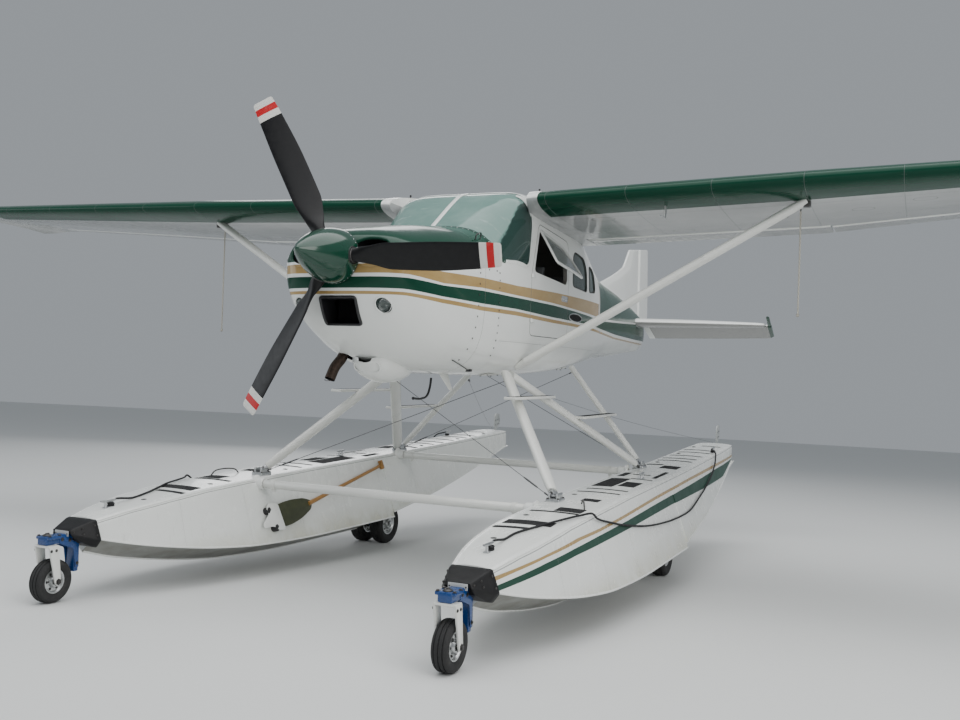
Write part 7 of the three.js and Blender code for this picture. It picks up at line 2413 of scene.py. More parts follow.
def makeNoseLeg(side):
    fx, top = floatPlace["x"], noseLeg["top"]
    leg = Shape()
    for low, high, radius in noseLeg["blocks"]:
        leg.join(block(np.add(low, (fx, 0, 0)), np.add(high, (fx, 0, 0)), radius))
    for way in (1, -1):
        leg.join(plate(roundedLoop(np.array(noseLeg["plate"]), 0.010, 4), 0.005,
                       (fx + way * 0.0385, 0, 0), (0, 1, 0), (0, 0, 1), 0.0015))
        places = np.array([[fx + way * 0.041, y, z] for y, z in noseLeg["bolts"]])
        leg.join(boltRow(places, (way, 0, 0), 0.0075, 0.006), 1)
    heads = np.array([[fx + way * 0.044, y, top] for way in (1, -1) for y in noseLeg["heads"]])
    leg.join(boltRow(heads, (0, 0, 1), 0.0075, 0.007), 1)
    leg.join(turnedShape([(0, 0.024), (0.004, 0.024), (0.010, 0.018), (0.012, 0.010), (0.016, 0.009),
                          (0.017, 0)], (fx, noseLeg["pinY"], top), (0, 0, 1), 24), 1)
    name = sideName(side)
    leg.on(side).piece(f"nose_leg_blue_{name}", "airframe", [legBlue, darkSteel], [f"nose_leg_{name}"],
                       "blue_leg", 35)


def makeNoseFork(side):
    fx = floatPlace["x"]
    y, z = gear["noseAxle"]
    fork = turnedShape(bar(0, 0.034, 0.014), (fx, noseLeg["pinY"], -1.750), (0, 0, 1), 28)
    fork.join(block((fx - 0.0625, -1.995, -1.763), (fx + 0.0625, -1.927, -1.748), 0.006))
    arm = roundedLoop(noseLeg["arm"], 0.011, 6)
    for way in (1, -1):
        fork.join(plate(arm, 0.0122, (fx + way * 0.0563, 0, 0), (0, 1, 0), (0, 0, 1), 0.003))
        fork.join(turnedShape([(0, 0.019), (0.0025, 0.019), (0.003, 0.0135), (0.010, 0.0130), (0.0105, 0)],
                              (fx + way * 0.0620, y, z), (way, 0, 0), 6), 1)
        places = np.array([[fx + way * 0.0625, boltY, -1.778] for boltY in noseLeg["armBolts"]])
        fork.join(boltRow(places, (way, 0, 0), 0.006, 0.005), 1)
    fork.join(turnedShape(bar(-0.062, 0.062, 0.0098), (fx, y, z), (1, 0, 0), 20), 1)
    name = sideName(side)
    fork.on(side).piece(f"nose_fork_arms_{name}", f"nose_fork_{name}", [strutWhite, darkSteel],
                        [f"nose_fork_{name}"], "white_paint", 35)
    wheel = wheelShape(gear["noseR"], gear["noseW"], (fx, y, z), (-0.52, 0, 0.52), 0.042, 6)
    wheel.on(side).piece(f"nose_tyre_{name}", f"nose_wheel_{name}",
                         [tyreRubber, hubSilver, darkSteel, blackRubber], [f"nose_wheel_{name}"], "tyre",
                         34)


def makeMainGear(side):
    name = sideName(side)
    fx = floatPlace["x"]
    y, z = gear["mainAxle"]
    leg = Shape().join(block((fx - 0.030, y - 0.055, z - 0.036), (fx + 0.030, y + 0.055, -1.7005), 0.010))
    leg.join(turnedShape(bar(-0.168, 0.168, 0.014), (fx, y, z), (1, 0, 0), 24), 1)
    for way in (1, -1):
        leg.join(turnedShape([(0, 0.0), (0, 0.023), (0.001, 0.026), (0.008, 0.026), (0.010, 0.022),
                              (0.010, 0)], (fx + way * 0.166, y, z), (way, 0, 0), 6), 1)
        leg.join(turnedShape([(0, 0.046), (0.010, 0.043), (0.012, 0.015)], (fx + way * 0.0295, y, z),
                             (way, 0, 0), 28), 1)
    # a brake line runs down the leg, held by three bands
    line = smoothLine([(fx + 0.018, y + 0.058, -1.72), (fx + 0.018, y + 0.062, -1.86),
                       (fx + 0.012, y + 0.060, -2.00), (fx + 0.024, y + 0.050, -2.06)], 40)
    leg.join(tube(line, 0.0042, 8, (1, 0, 0)), 2)
    for q in (-1.80, -1.92, -2.02):
        leg.join(block((fx - 0.032, y - 0.057, q - 0.006), (fx + 0.032, y + 0.0605, q + 0.006), 0.003), 1)
    leg.on(side).piece(f"main_leg_blue_{name}", "airframe", [legBlue, bareAlloy, blackRubber],
                       [f"main_leg_{name}"], "blue_leg", 35)
    for k, which in ((-1, "inner"), (1, "outer")):
        wheel = wheelShape(gear["mainR"], gear["mainW"], (fx + k * gear["mainAt"], y, z),
                           (-0.56, -0.19, 0.19, 0.56), 0.059, 8)
        wheel.on(side).piece(f"main_tyre_{name}_{which}", f"main_wheels_{name}",
                             [tyreRubber, hubSilver, darkSteel, blackRubber],
                             [f"main_wheel_{name}_{which}"], "tyre", 34)


# Water rudders: a bracket's outline as y from the post and z; the blade's outline, straps and rivets from
# the lift hinge. A strap is its rise toward the back and the height where it starts.
waterRudder = {"postY": 4.432, "lift": (4.500, -1.395),
               "bracket": [(0.038, -1.480), (0.064, -1.480), (0.098, -1.410), (0.092, -1.378),
                           (0.050, -1.378), (0.038, -1.423)],
               "blade": np.array([(-14, -16), (14, -16), (16, 30), (60, 62), (112, 98), (100, 215),
                                  (-20, 215), (-45, 180), (-45, 40), (-16, 20)]) / 1000,
               "straps": ((0.010, 0.085), (0.020, 0.135)),
               "rivets": ((-0.022, 0.087), (0.030, 0.0905), (0.076, 0.0945), (-0.020, 0.138),
                          (0.035, 0.146), (0.074, 0.152))}


def makeWaterRudder(side):
    name = sideName(side)
    fx, py = floatPlace["x"], waterRudder["postY"]
    post = turnedShape(hoop(-1.4983, -1.418, 0.0075, 0.013), (fx, py, 0), (0, 0, 1), 28)
    post.join(block((fx - 0.020, py + 0.006, -1.483), (fx + 0.020, py + 0.043, -1.423), 0.004))
    loop = roundedLoop([(py + y, z) for y, z in waterRudder["bracket"]], 0.010, 5)
    for way in (1, -1):
        post.join(plate(loop, 0.0058, (fx + way * 0.0168, 0, 0), (0, 1, 0), (0, 0, 1), 0.0015))
    post.join(turnedShape([(-0.026, 0), (-0.026, 0.0095), (-0.0200, 0.0095), (-0.0200, 0.006),
                           (0.0200, 0.006), (0.0200, 0.0095), (0.026, 0.0095), (0.026, 0)],
                          (fx, *waterRudder["lift"]), (1, 0, 0), 12), 1)
    post.on(side).piece(f"water_rudder_fork_{name}", f"water_rudder_post_{name}", [bareAlloy, darkSteel],
                        [f"water_rudder_post_{name}"], "bare_alloy", 35)
    loop = roundedLoop(waterRudder["blade"], 0.030, 9) + waterRudder["lift"]
    blade = plate(loop, 0.0100, (fx, 0, 0), (0, 1, 0), (0, 0, 1), 0.003)
    ly, lz = waterRudder["lift"]
    blade.join(turnedShape(hoop(-0.0122, 0.0122, 0.0072, 0.015), (fx, ly, lz), (1, 0, 0), 24), 1)
    for way in (1, -1):
        for rise, low in waterRudder["straps"]:
            blade.join(boxBetween((fx + way * 0.0056, ly - 0.030, lz + low),
                                  (fx + way * 0.0056, ly + 0.085, lz + low + rise), 0.012, 0.0030, 0.001,
                                  (0, 0, 1)), 1)
        places = np.array([[fx + way * 0.007, ly + y, lz + z] for y, z in waterRudder["rivets"]])
        blade.join(boltRow(places, (way, 0, 0), 0.0035, 0.0025), 2)
    blade.on(side).piece(f"water_rudder_blade_{name}", f"water_rudder_{name}",
                         [rudderGrey, bareAlloy, darkSteel], [f"water_rudder_{name}"], "bare_alloy", 35)


rudderGrey = rough("rudderGrey", (0.47, 0.485, 0.48), (0.36, 0.375, 0.37), 12, 0.42, 0.0004, 0.2)
for side in (1, -1):
    makeBumper(side)
    makeNoseLeg(side)
    makeNoseFork(side)
    makeMainGear(side)
    makeWaterRudder(side)
print("gear and water rudders made")


# seats
seats = {"frontX": 0.245, "frontY": 0.880, "frontWide": 0.430, "benchY": 1.760, "benchWide": 0.900,
         "floor": -0.4097, "seam": 0.0042, "channel": 0.007}


def clothFinish(name, colour, other, scale):
    f = Finish(name, Roughness=0.9)
    u, v = f.map()
    weave = (u * scale).wave() * (v * scale).wave()
    worn = f.noise(f.place(), 7, 5, 0.6)
    base = f.mix(f.span(weave, -0.6, 0.8), colour, other)
    f.set("Base Color", f.mix(f.span(worn, 0.4, 0.75, 0, 0.35), base, tuple(c * 0.7 for c in colour)))
    f.bump(weave * 0.6 + f.noise(f.place(), 500, 2) * 0.4, 0.0006)
    return f.material


seatCloth = clothFinish("seatCloth", (0.150, 0.155, 0.160), (0.235, 0.240, 0.245), 1500)
seatLeather = rough("seatLeather", (0.045, 0.046, 0.048), (0.075, 0.076, 0.078), 130, 0.55, 0.0012)


# A stuffed pad. Its outline is a square pulled to round corners, with sides drawn in a little between them;
# its height falls to the seam as the root of one less the sixth power of each share; channels press it down.
def padShape(centre, along, across, size, channels=(), crown=1.0):
    n = 44
    t = np.sin(np.linspace(-1, 1, n) * np.pi / 2)
    u, v = np.meshgrid(t, t, indexing="ij")
    a, b, h = size
    x = a * u * np.sqrt(1 - 0.10 * v ** 2) * (1 - 0.022 * (1 - v ** 4) * np.abs(u) ** 3)
    y = b * v * np.sqrt(1 - 0.10 * u ** 2) * (1 - 0.022 * (1 - u ** 4) * np.abs(v) ** 3)
    height = h * (np.clip((1 - u ** 6) * (1 - v ** 6), 0, 1)) ** 0.40 * (0.86
            + 0.14 * (1 - u ** 2) * (1 - v ** 2) * crown)
    press = sum(seats["channel"] * np.exp(-((u - c) * a / 0.006) ** 2) * (np.abs(v) < 0.80)
                * smoothstep((0.80 - np.abs(v)) / 0.08) for c in channels) if len(channels) else 0
    along, across = unit(along), unit(across)
    up = np.cross(along, across)
    top = centre + x[..., None] * along + y[..., None] * across + (height - press)[..., None] * up
    low = centre + x[..., None] * along + y[..., None] * across - (height * 0.92)[..., None] * up
    uv = np.stack([x, y], -1)
    shape = sheetOf(top, False, uv)
    shape.join(sheetOf(low, True, uv))
    rim = np.concatenate([top[:-1, 0], top[-1, :-1], top[:0:-1, -1], top[0, :0:-1]])
    return shape, rim, up


def makeSeat(name, x, y, wide, replaces, channels):
    # cushion and back, with piping round both
    cushion = padShape(np.array([x, y + 0.192, -0.147]), (1, 0, 0), (0, 1, 0.03),
                       (wide / 2 - 0.008, 0.206, 0.050), channels)
    back = padShape(np.array([x, y + 0.448, 0.022]), (1, 0, 0), unit(np.array([0, 0.376, 0.926])),
                    (wide / 2 - 0.008, 0.186, 0.041), channels)
    for (shape, rim, up), label in ((cushion, "cushion"), (back, "back")):
        path = evenly(np.vstack([rim, rim[:1]]), 160)[:-1]
        shape.join(closedTube(path, seats["seam"], np.broadcast_to(up, path.shape), 10), 1)
        o = shape.piece(f"{name}_{label}", "airframe", [seatCloth, seatLeather],
                        replaces if label == "cushion" else (), "seat_fabric", 60, merge=True)
    # pan, pedestal, rails and back frame
    frame = Shape().join(block((x - wide / 2 + 0.012, y - 0.008, -0.212),
                               (x + wide / 2 - 0.012, y + 0.400, -0.194), 0.006))
    frame.join(boxBetween((x, y + 0.380, -0.205), (x, y + 0.520, 0.140), wide - 0.05, 0.010, 0.003,
                          (1, 0, 0)))
    for k in (-1, 1):
        px = x + k * (wide / 2 - 0.060)
        frame.join(block((px - 0.014, y + 0.004, -0.4095), (px + 0.014, y + 0.416, -0.392), 0.004), 1)
        for low, middle, high in ((0.030, 0.052, 0.080), (0.396, 0.380, 0.365)):
            leg = smoothLine([(px, y + low, -0.392), (px, y + middle, -0.300), (px, y + high, -0.206)], 14)
            frame.join(tube(leg, 0.011, 12, (1, 0, 0)), 1)
    frame.piece(f"{name}_frame", "airframe", [satinBlack, bareAlloy], slot="panel_black", sharp=35)


makeSeat("seat_left", seats["frontX"], seats["frontY"], seats["frontWide"], ["seat_front_left"],
         (-0.36, 0.36))
makeSeat("seat_right", -seats["frontX"], seats["frontY"], seats["frontWide"], ["seat_front_right"],
         (-0.36, 0.36))
makeSeat("bench", 0.0, seats["benchY"], seats["benchWide"], ["rear_bench"], (-0.66, -0.33, 0.0, 0.33, 0.66))
print("seats made")


# instrument panel
# radios as lower edge and height, the first two standing proud; keys and switches as first x, step and
# count; dials as x, z and radius
board = {"half": 0.440, "y": (0.372, 0.440), "z": (-0.060, 0.262), "wheelX": 0.240, "wheelZ": 0.060,
         "radios": ((0.040, 0.052), (-0.018, 0.048), (-0.110, 0.044), (-0.165, 0.044), (-0.220, 0.044)),
         "knobs": (-0.064, 0.052, 0.068), "keys": (-0.044, 0.016, 5), "levers": (-0.045, 0.0, 0.045),
         "switches": (0.395, 0.022, 7),
         "dials": [(x, z, 0.040) for x in (0.330, 0.240, 0.150) for z in (0.190, 0.100)]
         + [(x, z, 0.027) for x, z in ((0.075, 0.205), (0.075, 0.145), (-0.180, 0.200), (-0.180, 0.140),
                                       (-0.250, 0.200), (-0.250, 0.140), (-0.320, 0.170))]}


def dialFinish():
    f = Finish("dialFace", Roughness=0.35)
    s, turn = f.map()
    tick = (abs((turn * 24).share() - 0.5) > 0.40) * (s > 0.62) * (s < 0.86)
    ring = (s > 0.88) * (s < 0.91)
    grain = f.noise(f.place(), 60, 3)
    base = f.mix(f.span(grain, 0.3, 0.7), (0.006, 0.006, 0.007), (0.011, 0.011, 0.012))
    f.set("Base Color", f.mix(tick.most(ring), base, (0.75, 0.75, 0.72)))
    return f.material


dialFace = dialFinish()
boardGrey = rough("boardGrey", (0.040, 0.041, 0.043), (0.060, 0.061, 0.064), 220, 0.6, 0.0004)


# padded coaming over the dials
def coaming():
    t = np.linspace(-1, 1, 61)
    path = np.stack([0.358 * t, 0.345 - 0.012 * (1 - t ** 2), 0.2205 + 0.004 * (1 - t ** 4)], -1)
    a = turns(24)
    end = np.sqrt(np.clip(1 - np.abs(t) ** 10, 0.004, 1))[:, None]
    deep = 0.058 * np.sign(np.cos(a)) * np.abs(np.cos(a)) ** 0.7 * end
    high = 0.0155 * np.sign(np.sin(a)) * np.abs(np.sin(a)) ** 0.8 * end
    return loft(path[:, None] + np.stack([0 * deep, deep, high], -1))


# a radio: its case, screen, knobs and a row of keys
def radio(z, h):
    y = board["y"][1] - 0.001
    front, face = (y + 0.005, y + 0.0052) if z > -0.05 else (y + 0.001, y + 0.0012)
    shape = Shape().join(block((-0.080, y - 0.010, z), (0.080, front, z + h), 0.003), 2)
    shape.join(block((-0.048, face - 0.003, z + h * 0.42), (0.034, face + 0.0006, z + h * 0.86), 0.001, 3), 3)
    for x in board["knobs"]:
        shape.join(turnedShape([(0, 0.0075), (0.010, 0.0066), (0.011, 0.0)],
                               (x, face - 0.001, z + h * 0.42), (0, 1, 0), 16), 1)
    first, step, count = board["keys"]
    for k in range(count):
        x = first + k * step
        shape.join(block((x, face - 0.002, z + h * 0.14), (x + 0.010, face + 0.0016, z + h * 0.30),
                         0.0008, 3), 1)
    return shape


# a dial's ring, its face and its hand with the hub; each hand points its own way
def dial(x, z, r):
    c = np.array([x, board["y"][1], z])
    ring = turnedShape([(-0.004, r), (0.003, r), (0.0048, r * 0.94), (0.0030, r * 0.86),
                        (-0.002, r * 0.85)], c, (0, 1, 0), 28)
    shares = (0, 0.25, 0.87)
    disc = turnedShape([(0.0002, r * share) for share in shares], c, (0, 1, 0), 28)
    disc.maps = [np.column_stack([np.repeat(shares, 28), m[:, 1]]) for m in disc.maps]
    disc.faces = disc.faces[:1]
    way = 0.7 + 9.1 * x + 5.3 * z
    d, lift = np.array([math.cos(way), 0, math.sin(way)]), [0, 0.0014, 0]
    hand = boxBetween(c + lift - d * r * 0.14, c + lift + d * r * 0.66, 0.0018, 0.0008, 0.0002, (0, 1, 0))
    hand.join(turnedShape([(0.0004, 0.004), (0.0024, 0.004), (0.0028, 0)], c, (0, 1, 0), 12))
    return ring, disc, hand


def makePanel():
    y0, y1 = board["y"]
    z0, z1 = board["z"]
    half = board["half"]
    loop = roundedLoop([(-half, z0), (-0.135, z0), (0.135, z0), (half, z0), (0.436, 0.170), (0.385, z1),
                        (-0.385, z1), (-0.436, 0.170)], 0.022, 6)
    shape = plate(loop, y1 - y0 - 0.002, (0, (y0 + y1) / 2 - 0.001, 0), (1, 0, 0), (0, 0, 1), 0.004)
    shape.join(block((-0.120, y0, -0.4099), (0.120, y1 - 0.004, -0.058), 0.008))
    shape.join(coaming(), 1)
    for z, h in board["radios"]:
        shape.join(radio(z, h))
    # engine controls in a row under the radios, switches at the left
    for k, x in enumerate(board["levers"]):
        shape.join(turnedShape([(0, 0.004), (0.034, 0.004), (0.036, 0.013), (0.046, 0.015), (0.054, 0.012),
                                (0.057, 0)], (x, y1 - 0.006, -0.262), (0, 1, 0), 20), 4 + k % 3)
    y = y1 - 0.001
    first, step, count = board["switches"]
    for k in range(count):
        x = first - k * step
        shape.join(block((x, y, -0.040), (x - 0.012, y + 0.007, -0.016), 0.002, 3), 2)
    shape.join(block((-0.400, y - 0.002, 0.000), (-0.200, y + 0.0015, 0.085), 0.004), 2)
    faces, hands = Shape(), Shape()
    for x, z, r in board["dials"]:
        ring, disc, hand = dial(x, z, r)
        shape.join(ring, 1)
        faces.join(disc)
        hands.join(hand, 0)
    shape.piece("panel_board", "airframe",
                [boardGrey, satinBlack, darkSteel, screenGlow, satinBlack, knobBlue, knobRed],
                ["instrument_panel"], "panel_black", 38)
    faces.piece("panel_dials", "airframe", dialFace, slot="panel_black")
    hands.piece("panel_hands", "airframe", whitePaint, slot="white_paint")


def makeControlWheels():
    shape = Shape()
    for side in (1, -1):
        x, z = side * board["wheelX"], board["wheelZ"]
        shape.join(turnedShape([(0.436, 0.0), (0.436, 0.021), (0.446, 0.021), (0.448, 0.0125),
                                (0.634, 0.0125), (0.634, 0)], (x, 0, z), (0, 1, 0), 24), 1)
        shape.join(block((x - 0.034, 0.628, z - 0.026), (x + 0.034, 0.664, z + 0.026), 0.009))
        for way in (1, -1):
            path = smoothLine([(x + way * 0.025, 0.646, z), (x + way * 0.090, 0.646, z + 0.003),
                               (x + way * 0.122, 0.648, z + 0.020), (x + way * 0.128, 0.652, z + 0.055),
                               (x + way * 0.118, 0.655, z + 0.088)], 40)
            s = np.linspace(0, 1, 40)
            shape.join(tube(path,
                            0.0105 + 0.0035 * smoothstep((s - 0.5) / 0.12) * smoothstep((1.02 - s) / 0.08),
                            14, (0, 1, 0)))
    shape.piece("control_wheels", "airframe", [satinBlack, polished], slot="panel_black", sharp=40)


screenGlow = rough("screenGlass", (0.010, 0.020, 0.022), (0.016, 0.032, 0.030), 25, 0.12, 0.0001)
knobBlue = rough("knobBlue", (0.010, 0.035, 0.20), (0.014, 0.045, 0.24), 60, 0.4, 0.0001)
knobRed = rough("knobRed", (0.30, 0.010, 0.008), (0.36, 0.015, 0.012), 60, 0.4, 0.0001)
makePanel()
makeControlWheels()
print("cabin fitted")


# wires, paddle and the small fittings
wood = rough("paddleWood", (0.38, 0.20, 0.055), (0.26, 0.125, 0.030), 22, 0.4, 0.0004)
paddleGreen = rough("paddleGreen", (0.030, 0.034, 0.014), (0.055, 0.060, 0.026), 14, 0.5, 0.0004)
wireSteel = rough("wireSteel", (0.07, 0.07, 0.075), (0.14, 0.14, 0.14), 200, 0.4, 0.0001, 0.8)
redLens = rough("redLens", (0.45, 0.010, 0.008), (0.36, 0.008, 0.006), 30, 0.1, 0.0001)
greenLens = rough("greenLens", (0.004, 0.22, 0.060), (0.003, 0.16, 0.045), 30, 0.1, 0.0001)
wires = {"thick": 0.0046, "thin": 0.0026, "turnbuckle": 0.15}


def wireBetween(p, q, radius):
    # a straight wire with a fork at each end and a turnbuckle near its lower end
    p, q = np.asarray(p, float), np.asarray(q, float)
    d = unit(q - p)
    long = float(np.linalg.norm(q - p))
    shape = tube(lerp(p, q, np.linspace(0, 1, 6)[:, None]), radius, 8, (0, 1, 0))
    at = long - 0.10 - wires["turnbuckle"]
    shape.join(turnedShape([(at, radius), (at + 0.012, radius * 2.2), (at + 0.04, radius * 2.5),
                            (at + wires["turnbuckle"] - 0.04, radius * 2.5),
                            (at + wires["turnbuckle"] - 0.012, radius * 2.2),
                            (at + wires["turnbuckle"], radius)], p, d, 12))
    for a in (0.0, long - 0.034):
        shape.join(turnedShape([(a, 0.0), (a, radius * 2.6), (a + 0.034, radius * 2.2), (a + 0.034, 0)], p,
                               d, 10))
    return shape


def makeWires():
    shape = Shape()
    for side in (1, -1):
        foot = strutFeet["front"] * [-side, 1, 1] + [side * 0.050, 0.0, 0.030]
        shape.join(wireBetween(bodyFittings["front"] * [side, 1, 1] + [0, 0.0, -0.020], foot,
                               wires["thick"] / 2))
        foot = strutFeet["rear"] * [-side, 1, 1] + [side * 0.050, 0.0, 0.030]
        shape.join(wireBetween(bodyFittings["rear"] * [side, 1, 1] + [0, -0.02, -0.020], foot,
                               wires["thick"] / 2))
        # the water rudder's cables run from the belly to the stern
        p, q = np.array([side * 0.16, 1.30, -0.758]), np.array([side * 1.270, 4.380, -1.355])
        shape.join(tube(lerp(p, q, np.linspace(0, 1, 24)[:, None])
                        - [0, 0, 1] * (0.035 * np.sin(np.linspace(0, np.pi, 24)))[:, None],
                        wires["thin"] / 2, 6, (0, 0, 1)))
        shape.join(turnedShape([(0, 0.0), (0, 0.009), (0.05, 0.009), (0.055, 0)], p + [0, 0, 0.004],
                               unit(q - p), 10))
    shape.piece("bracing_wires", "airframe", [wireSteel], slot="bare_alloy", sharp=50)


def onInner(y, z, gap):
    # a point beside the right float's inner side
    return np.stack(np.broadcast_arrays(-floatPlace["x"] + hullHalf(y, z) + gap, y, z), -1)


# places are (y, z) beside the right float's inner side, gap being their distance from it
paddle = {"gap": 0.030, "gripEnd": (1.345, -1.535), "neck": (0.190, -1.725), "shaft": 0.0135,
          "neckMore": 0.004, "handle": ((1.385, -1.487), (1.395, -1.562)), "handleSize": (0.030, 0.040),
          "bladeThick": 0.009, "bladeGap": 0.028, "middle": (0.02, -1.76), "holderThick": 0.004,
          "holderAhead": 0.011,
          "blade": [(0.245, -1.705), (0.144, -1.672), (-0.010, -1.668), (-0.120, -1.676), (-0.205, -1.690),
                    (-0.165, -1.855), (-0.060, -1.848), (0.075, -1.820), (0.215, -1.765)],
          "holder": [(-0.190, -1.676), (-0.294, -1.664), (-0.330, -1.700), (-0.312, -1.740),
                     (-0.400, -1.800), (-0.396, -1.835), (-0.290, -1.832), (-0.235, -1.868),
                     (-0.160, -1.872)],
          "feet": ((-0.300, -1.722), (-0.255, -1.845)), "footRadius": 0.026}


def makePaddle():
    w = paddle
    s = np.linspace(0, 1, 20)
    path = lerp(onInner(*w["gripEnd"], w["gap"]), onInner(*w["neck"], w["gap"]), s[:, None])
    shape = tube(path, w["shaft"] + w["neckMore"] * s ** 4, 16, (1, 0, 0))
    ends = [onInner(*end, w["gap"]) for end in w["handle"]]
    shape.join(boxBetween(*ends, *w["handleSize"], 0.008, (1, 0, 0)))
    y, z = w["middle"]
    origin = onInner(y, z, w["bladeGap"])
    along = unit(onInner(0.20, z, 0) - onInner(-0.20, z, 0))
    across = unit(onInner(0.0, -1.70, 0) - onInner(0.0, -1.82, 0))
    blade = roundedLoop(w["blade"], 0.05, 7) - w["middle"]
    shape.join(plate(blade, w["bladeThick"], origin, along, across, 0.003), 1)
    shape.piece("paddle", "airframe", [wood, paddleGreen], slot="bare_alloy", sharp=45)
    # the holder: a white plate with two dark feet
    loop = roundedLoop(w["holder"], 0.025, 6) - w["middle"]
    holder = plate(loop, w["holderThick"], origin + [w["holderAhead"], 0, 0], along, across, 0.001)
    r = w["footRadius"]
    for y, z in w["feet"]:
        foot = [(-0.032, r), (0.006, r), (0.010, 0.020), (0.010, 0)]
        holder.join(turnedShape(foot, onInner(y, z, 0.032), (1, 0.1, 0.2), 18), 1)
    holder.piece("paddle_holder", "airframe", [floatWhite, blackRubber], slot="white_paint", sharp=40)


# the aerial's front edge, chord and thickness at its root and tip, with the height of each
belly = {"breather": [(0, 0.300, -0.735), (0, 0.285, -0.800), (0, 0.245, -0.862), (0, 0.150, -0.884),
                      (0, 0.030, -0.880)],
         "breatherRadius": 0.0085, "lip": (0, 0.032, -0.880), "lipRadius": 0.0088, "aerialX": 0.175,
         "lead": (0.060, 0.250), "chord": (0.150, 0.050), "thick": (0.016, 0.007),
         "height": (-0.690, -0.818), "cableY": (-0.190, 0.150), "cableZ": (-0.600, -0.668), "cable": 0.0034,
         "cableGap": 0.006}


def makeBellyItems():
    v = belly
    a = turns(24)
    shape = tube(smoothLine(v["breather"], 60), v["breatherRadius"], 16, (1, 0, 0))
    lip = np.array(v["lip"]) + v["lipRadius"] * np.stack([np.cos(a), 0 * a, np.sin(a)], -1)
    shape.join(closedTube(lip, 0.0028, np.broadcast_to([0, 1.0, 0], (24, 3)), 8))
    shape.piece("breather_pipe", "airframe", [satinBlack], slot="black_paint", sharp=50)
    # white blade aerial, swept back
    rings = []
    for k in np.linspace(0, 1, 12):
        lead, chord, thick, z = (lerp(*v[name], k) for name in ("lead", "chord", "thick", "height"))
        x, y = v["aerialX"] + thick / 2 * np.sin(a), lead + chord * (1 - np.cos(a)) / 2
        rings.append(np.stack([x, y, np.full(24, z)], -1))
    loft(rings).piece("belly_aerial", "airframe", [strutWhite], slot="white_paint", sharp=50)
    # cable clipped along the nose's lower left side
    y, z = np.linspace(*v["cableY"], 30), np.linspace(*v["cableZ"], 30)
    p, n = skin.lay(y, skin.uOf(y, z))
    cable = tube(p + n * v["cableGap"], v["cable"], 8, (0, 0, 1))
    cable.join(block(p[-1] + [-0.018, -0.010, -0.012], p[-1] + [0.016, 0.030, 0.008], 0.003))
    cable.piece("belly_cable", "airframe", [satinBlack], slot="black_paint", sharp=50)


# the step pad's place and half sizes; rows of cowling fasteners as y and z of both ends, and their number;
# the grab handle's two feet
sideItems = {"pad": (1.900, -0.196), "padHalf": (0.190, 0.034), "padLift": 0.0030, "padRim": 0.0045,
             "fasteners": ((0.225, 0.020, 0.225, -0.560, 12), (-0.080, -0.010, -0.110, -0.600, 9),
                           (-0.930, -0.005, 0.180, 0.030, 10)),
             "handleY": (0.045, 0.135), "handleZ": (0.235, 0.252), "handleWay": (0.25, 0, 0.97),
             "handleRadius": 0.0045}


def makeSideItems(side):
    name = sideName(side)
    shape = Shape()
    v = sideItems
    # boarding step pad: an oval of grip tape with a raised rim
    (y0, z0), (halfY, halfZ) = v["pad"], v["padHalf"]
    a = np.linspace(0, 2 * np.pi, 49)[:-1]
    y, z = y0 + halfY * np.cos(a), z0 + halfZ * np.sin(a)
    p, n = skin.lay(y, skin.uOf(y, z))
    mid, nm = skin.lay(np.array([y0]), skin.uOf(y0, z0))
    rings = [lerp(mid[0], p, k) + lerp(nm[0], n, k) * v["padLift"] for k in (0.02, 0.35, 0.7, 1.0)]
    shape.join(facing(sheetOf(wrapped(np.stack(rings))), (1, 0, 0)), 0)
    shape.join(closedTube(p + n * 0.002, v["padRim"], n, 8), 1)
    # fasteners of the cowling, in the rows where its panels meet
    places, ways = [], []
    for y0, z0, y1, z1, count in v["fasteners"]:
        yy, zz = np.linspace(y0, y1, count), np.linspace(z0, z1, count)
        q, m = skin.lay(yy, skin.uOf(yy, zz))
        places.append(q + m * 0.0008)
        ways.append(m)
    screws = boltRow(np.vstack(places), np.vstack(ways), 0.0042, 0.0022)
    shape.join(screws, 2)
    # a grab handle stands on the cowl's shoulder, before the windshield
    foot, way = skin.at(v["handleY"], skin.uOf(v["handleY"], v["handleZ"])), np.array(v["handleWay"])
    low, high = way * 0.030, way * 0.040
    handle = smoothLine([foot[0] - way * 0.004, foot[0] + low + [0, -0.004, 0],
                         foot[0] + high + [0, 0.010, 0], foot[1] + high + [0, -0.010, 0],
                         foot[1] + low + [0, 0.004, 0], foot[1] - way * 0.004], 48)
    shape.join(tube(handle, v["handleRadius"], 10, (1, 0, 0)), 2)
    shape.on(side).piece(f"side_fittings_{name}", "airframe", [gripBlack, bareAlloy, darkSteel],
                         slot="black_paint", sharp=45)


# span stations, shares of the chord, and the vent's profile as height over the wing and radius
wingItems = {"vent": (0.560, 0.920), "ventShare": 0.19, "lightX": 5.405, "lightBehind": 0.185,
             "lightDrop": 0.040, "lightHalf": (0.045, 0.0165), "mastX": 1.560, "mastShare": 0.14,
             "mastDrop": 0.090, "drainX": 2.350, "drainShare": 0.42,
             "ventProfile": [(-0.010, 0.014), (0.004, 0.012), (0.008, 0.006), (0.020, 0.0055),
                             (0.023, 0.0085), (0.036, 0.0075), (0.040, 0)]}


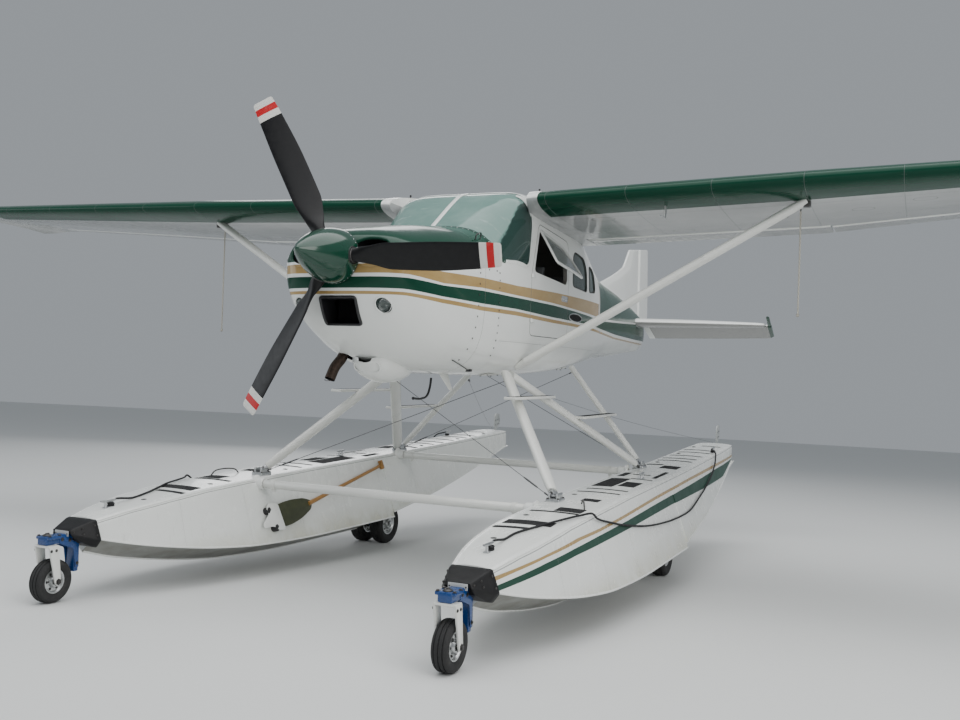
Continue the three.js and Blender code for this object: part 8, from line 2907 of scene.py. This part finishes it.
def makeWingItems(side):
    v = wingItems
    name = sideName(side)
    # a point on the wing's upper (0) or lower (1) skin
    onWing = lambda x, share, which: wingPoint(x, share, float(foilHeights(np.array([share]))[which][0]))
    shape = Shape()
    # fuel vent post on the root fairing
    top = float(onWing(v["vent"][0], v["ventShare"], 0)[2])
    shape.join(turnedShape([(top + h, r) for h, r in v["ventProfile"]], (*v["vent"], 0), (0, 0, 1), 16), 1)
    # tip light: a teardrop lens, red on the left and green on the right
    y, z = (float(k) for k in wingAt(wing["endX"])[:2])
    c = np.array([v["lightX"], y + v["lightBehind"], z - v["lightDrop"]])
    long, wide = v["lightHalf"]
    prof = [(-long * math.cos(k), wide * math.sin(k) ** 0.8) for k in np.linspace(0, np.pi, 13)]
    shape.join(turnedShape(prof, c, (0.10, 1, 0), 18), 2)
    lens = redLens if side > 0 else greenLens
    shape.on(side).piece(f"wing_fittings_{name}", "airframe", [strutWhite, satinBlack, lens],
                         slot="white_paint", sharp=45)
    if side < 0:
        return
    # the air-speed mast under the left wing, and a drain farther out
    low = onWing(v["mastX"], v["mastShare"], 1)
    a = turns(20)
    rings = []
    for t in np.linspace(0, 1, 6):
        x = low[0] + lerp(0.009, 0.006, t) * np.sin(a)
        y = low[1] + 0.02 - 0.012 * t + 0.026 * np.cos(a)
        rings.append(np.stack([x, y, np.full(20, low[2] + 0.004 - v["mastDrop"] * t)], -1))
    mast = loft(rings)
    probe = [(-0.150, 0.0), (-0.150, 0.0042), (-0.145, 0.0048), (0.030, 0.0055), (0.045, 0.003), (0.048, 0)]
    mast.join(turnedShape(probe, low + [0, 0.02, -0.084], (0, 1, 0.05), 14), 1)
    mast.piece("air_speed_mast", "airframe", [bareAlloy, polished], slot="white_paint", sharp=45)
    drain = [(-0.030, 0.0), (-0.030, 0.0040), (-0.010, 0.0045), (-0.008, 0.010), (0.002, 0.010)]
    drain = turnedShape(drain, onWing(v["drainX"], v["drainShare"], 1), (0, 0, 1), 12)
    drain.piece("wing_drain", "airframe", [darkSteel], slot="bare_alloy", sharp=45)


# the deck handle as offset, y and height over the deck; the mooring line's turns as y of the cleat, y of
# the turns and offset
deckItems = {"handle": [(0.050, -0.170, 0.0), (0.066, -0.196, 0.034), (0.125, -0.345, 0.036),
                        (0.140, -0.378, 0.0)],
             "handleRadius": 0.0050, "turns": ((-1.437, -1.478, 0.0), (3.477, 3.518, 0.150)),
             "turnRadius": 0.0165, "turnStep": 0.0125, "rope": 0.0062}


def makeDeckItems(side):
    v = deckItems
    name = sideName(side)
    fx = floatPlace["x"]
    handle = [(fx + off, y, float(deckHeight(y)) + up) for off, y, up in v["handle"]]
    shape = tube(smoothLine(handle, 40), v["handleRadius"], 12, (0, 0, 1))
    # the bow line's turns round its cleat, and those at the stern
    t = turns(60)
    r = v["turnRadius"]
    for y, middle, off in v["turns"]:
        top = float(deckHeight(y)) + 0.030
        for k in range(2):
            height = top - 0.012 - v["turnStep"] * k + 0.002 * np.sin(2 * t)
            path = np.stack([fx + off + r * np.sin(t), middle + r * np.cos(t), height], -1)
            shape.join(closedTube(path, v["rope"], np.broadcast_to([0, 0, 1.0], path.shape), 10), 1)
    shape.on(side).piece(f"deck_fittings_{name}", "airframe", [darkSteel, darkRope], slot="black_paint",
                         sharp=50)


makeWires()
makePaddle()
makeBellyItems()
for side in (1, -1):
    makeSideItems(side)
    makeWingItems(side)
    makeDeckItems(side)
print("fittings made")
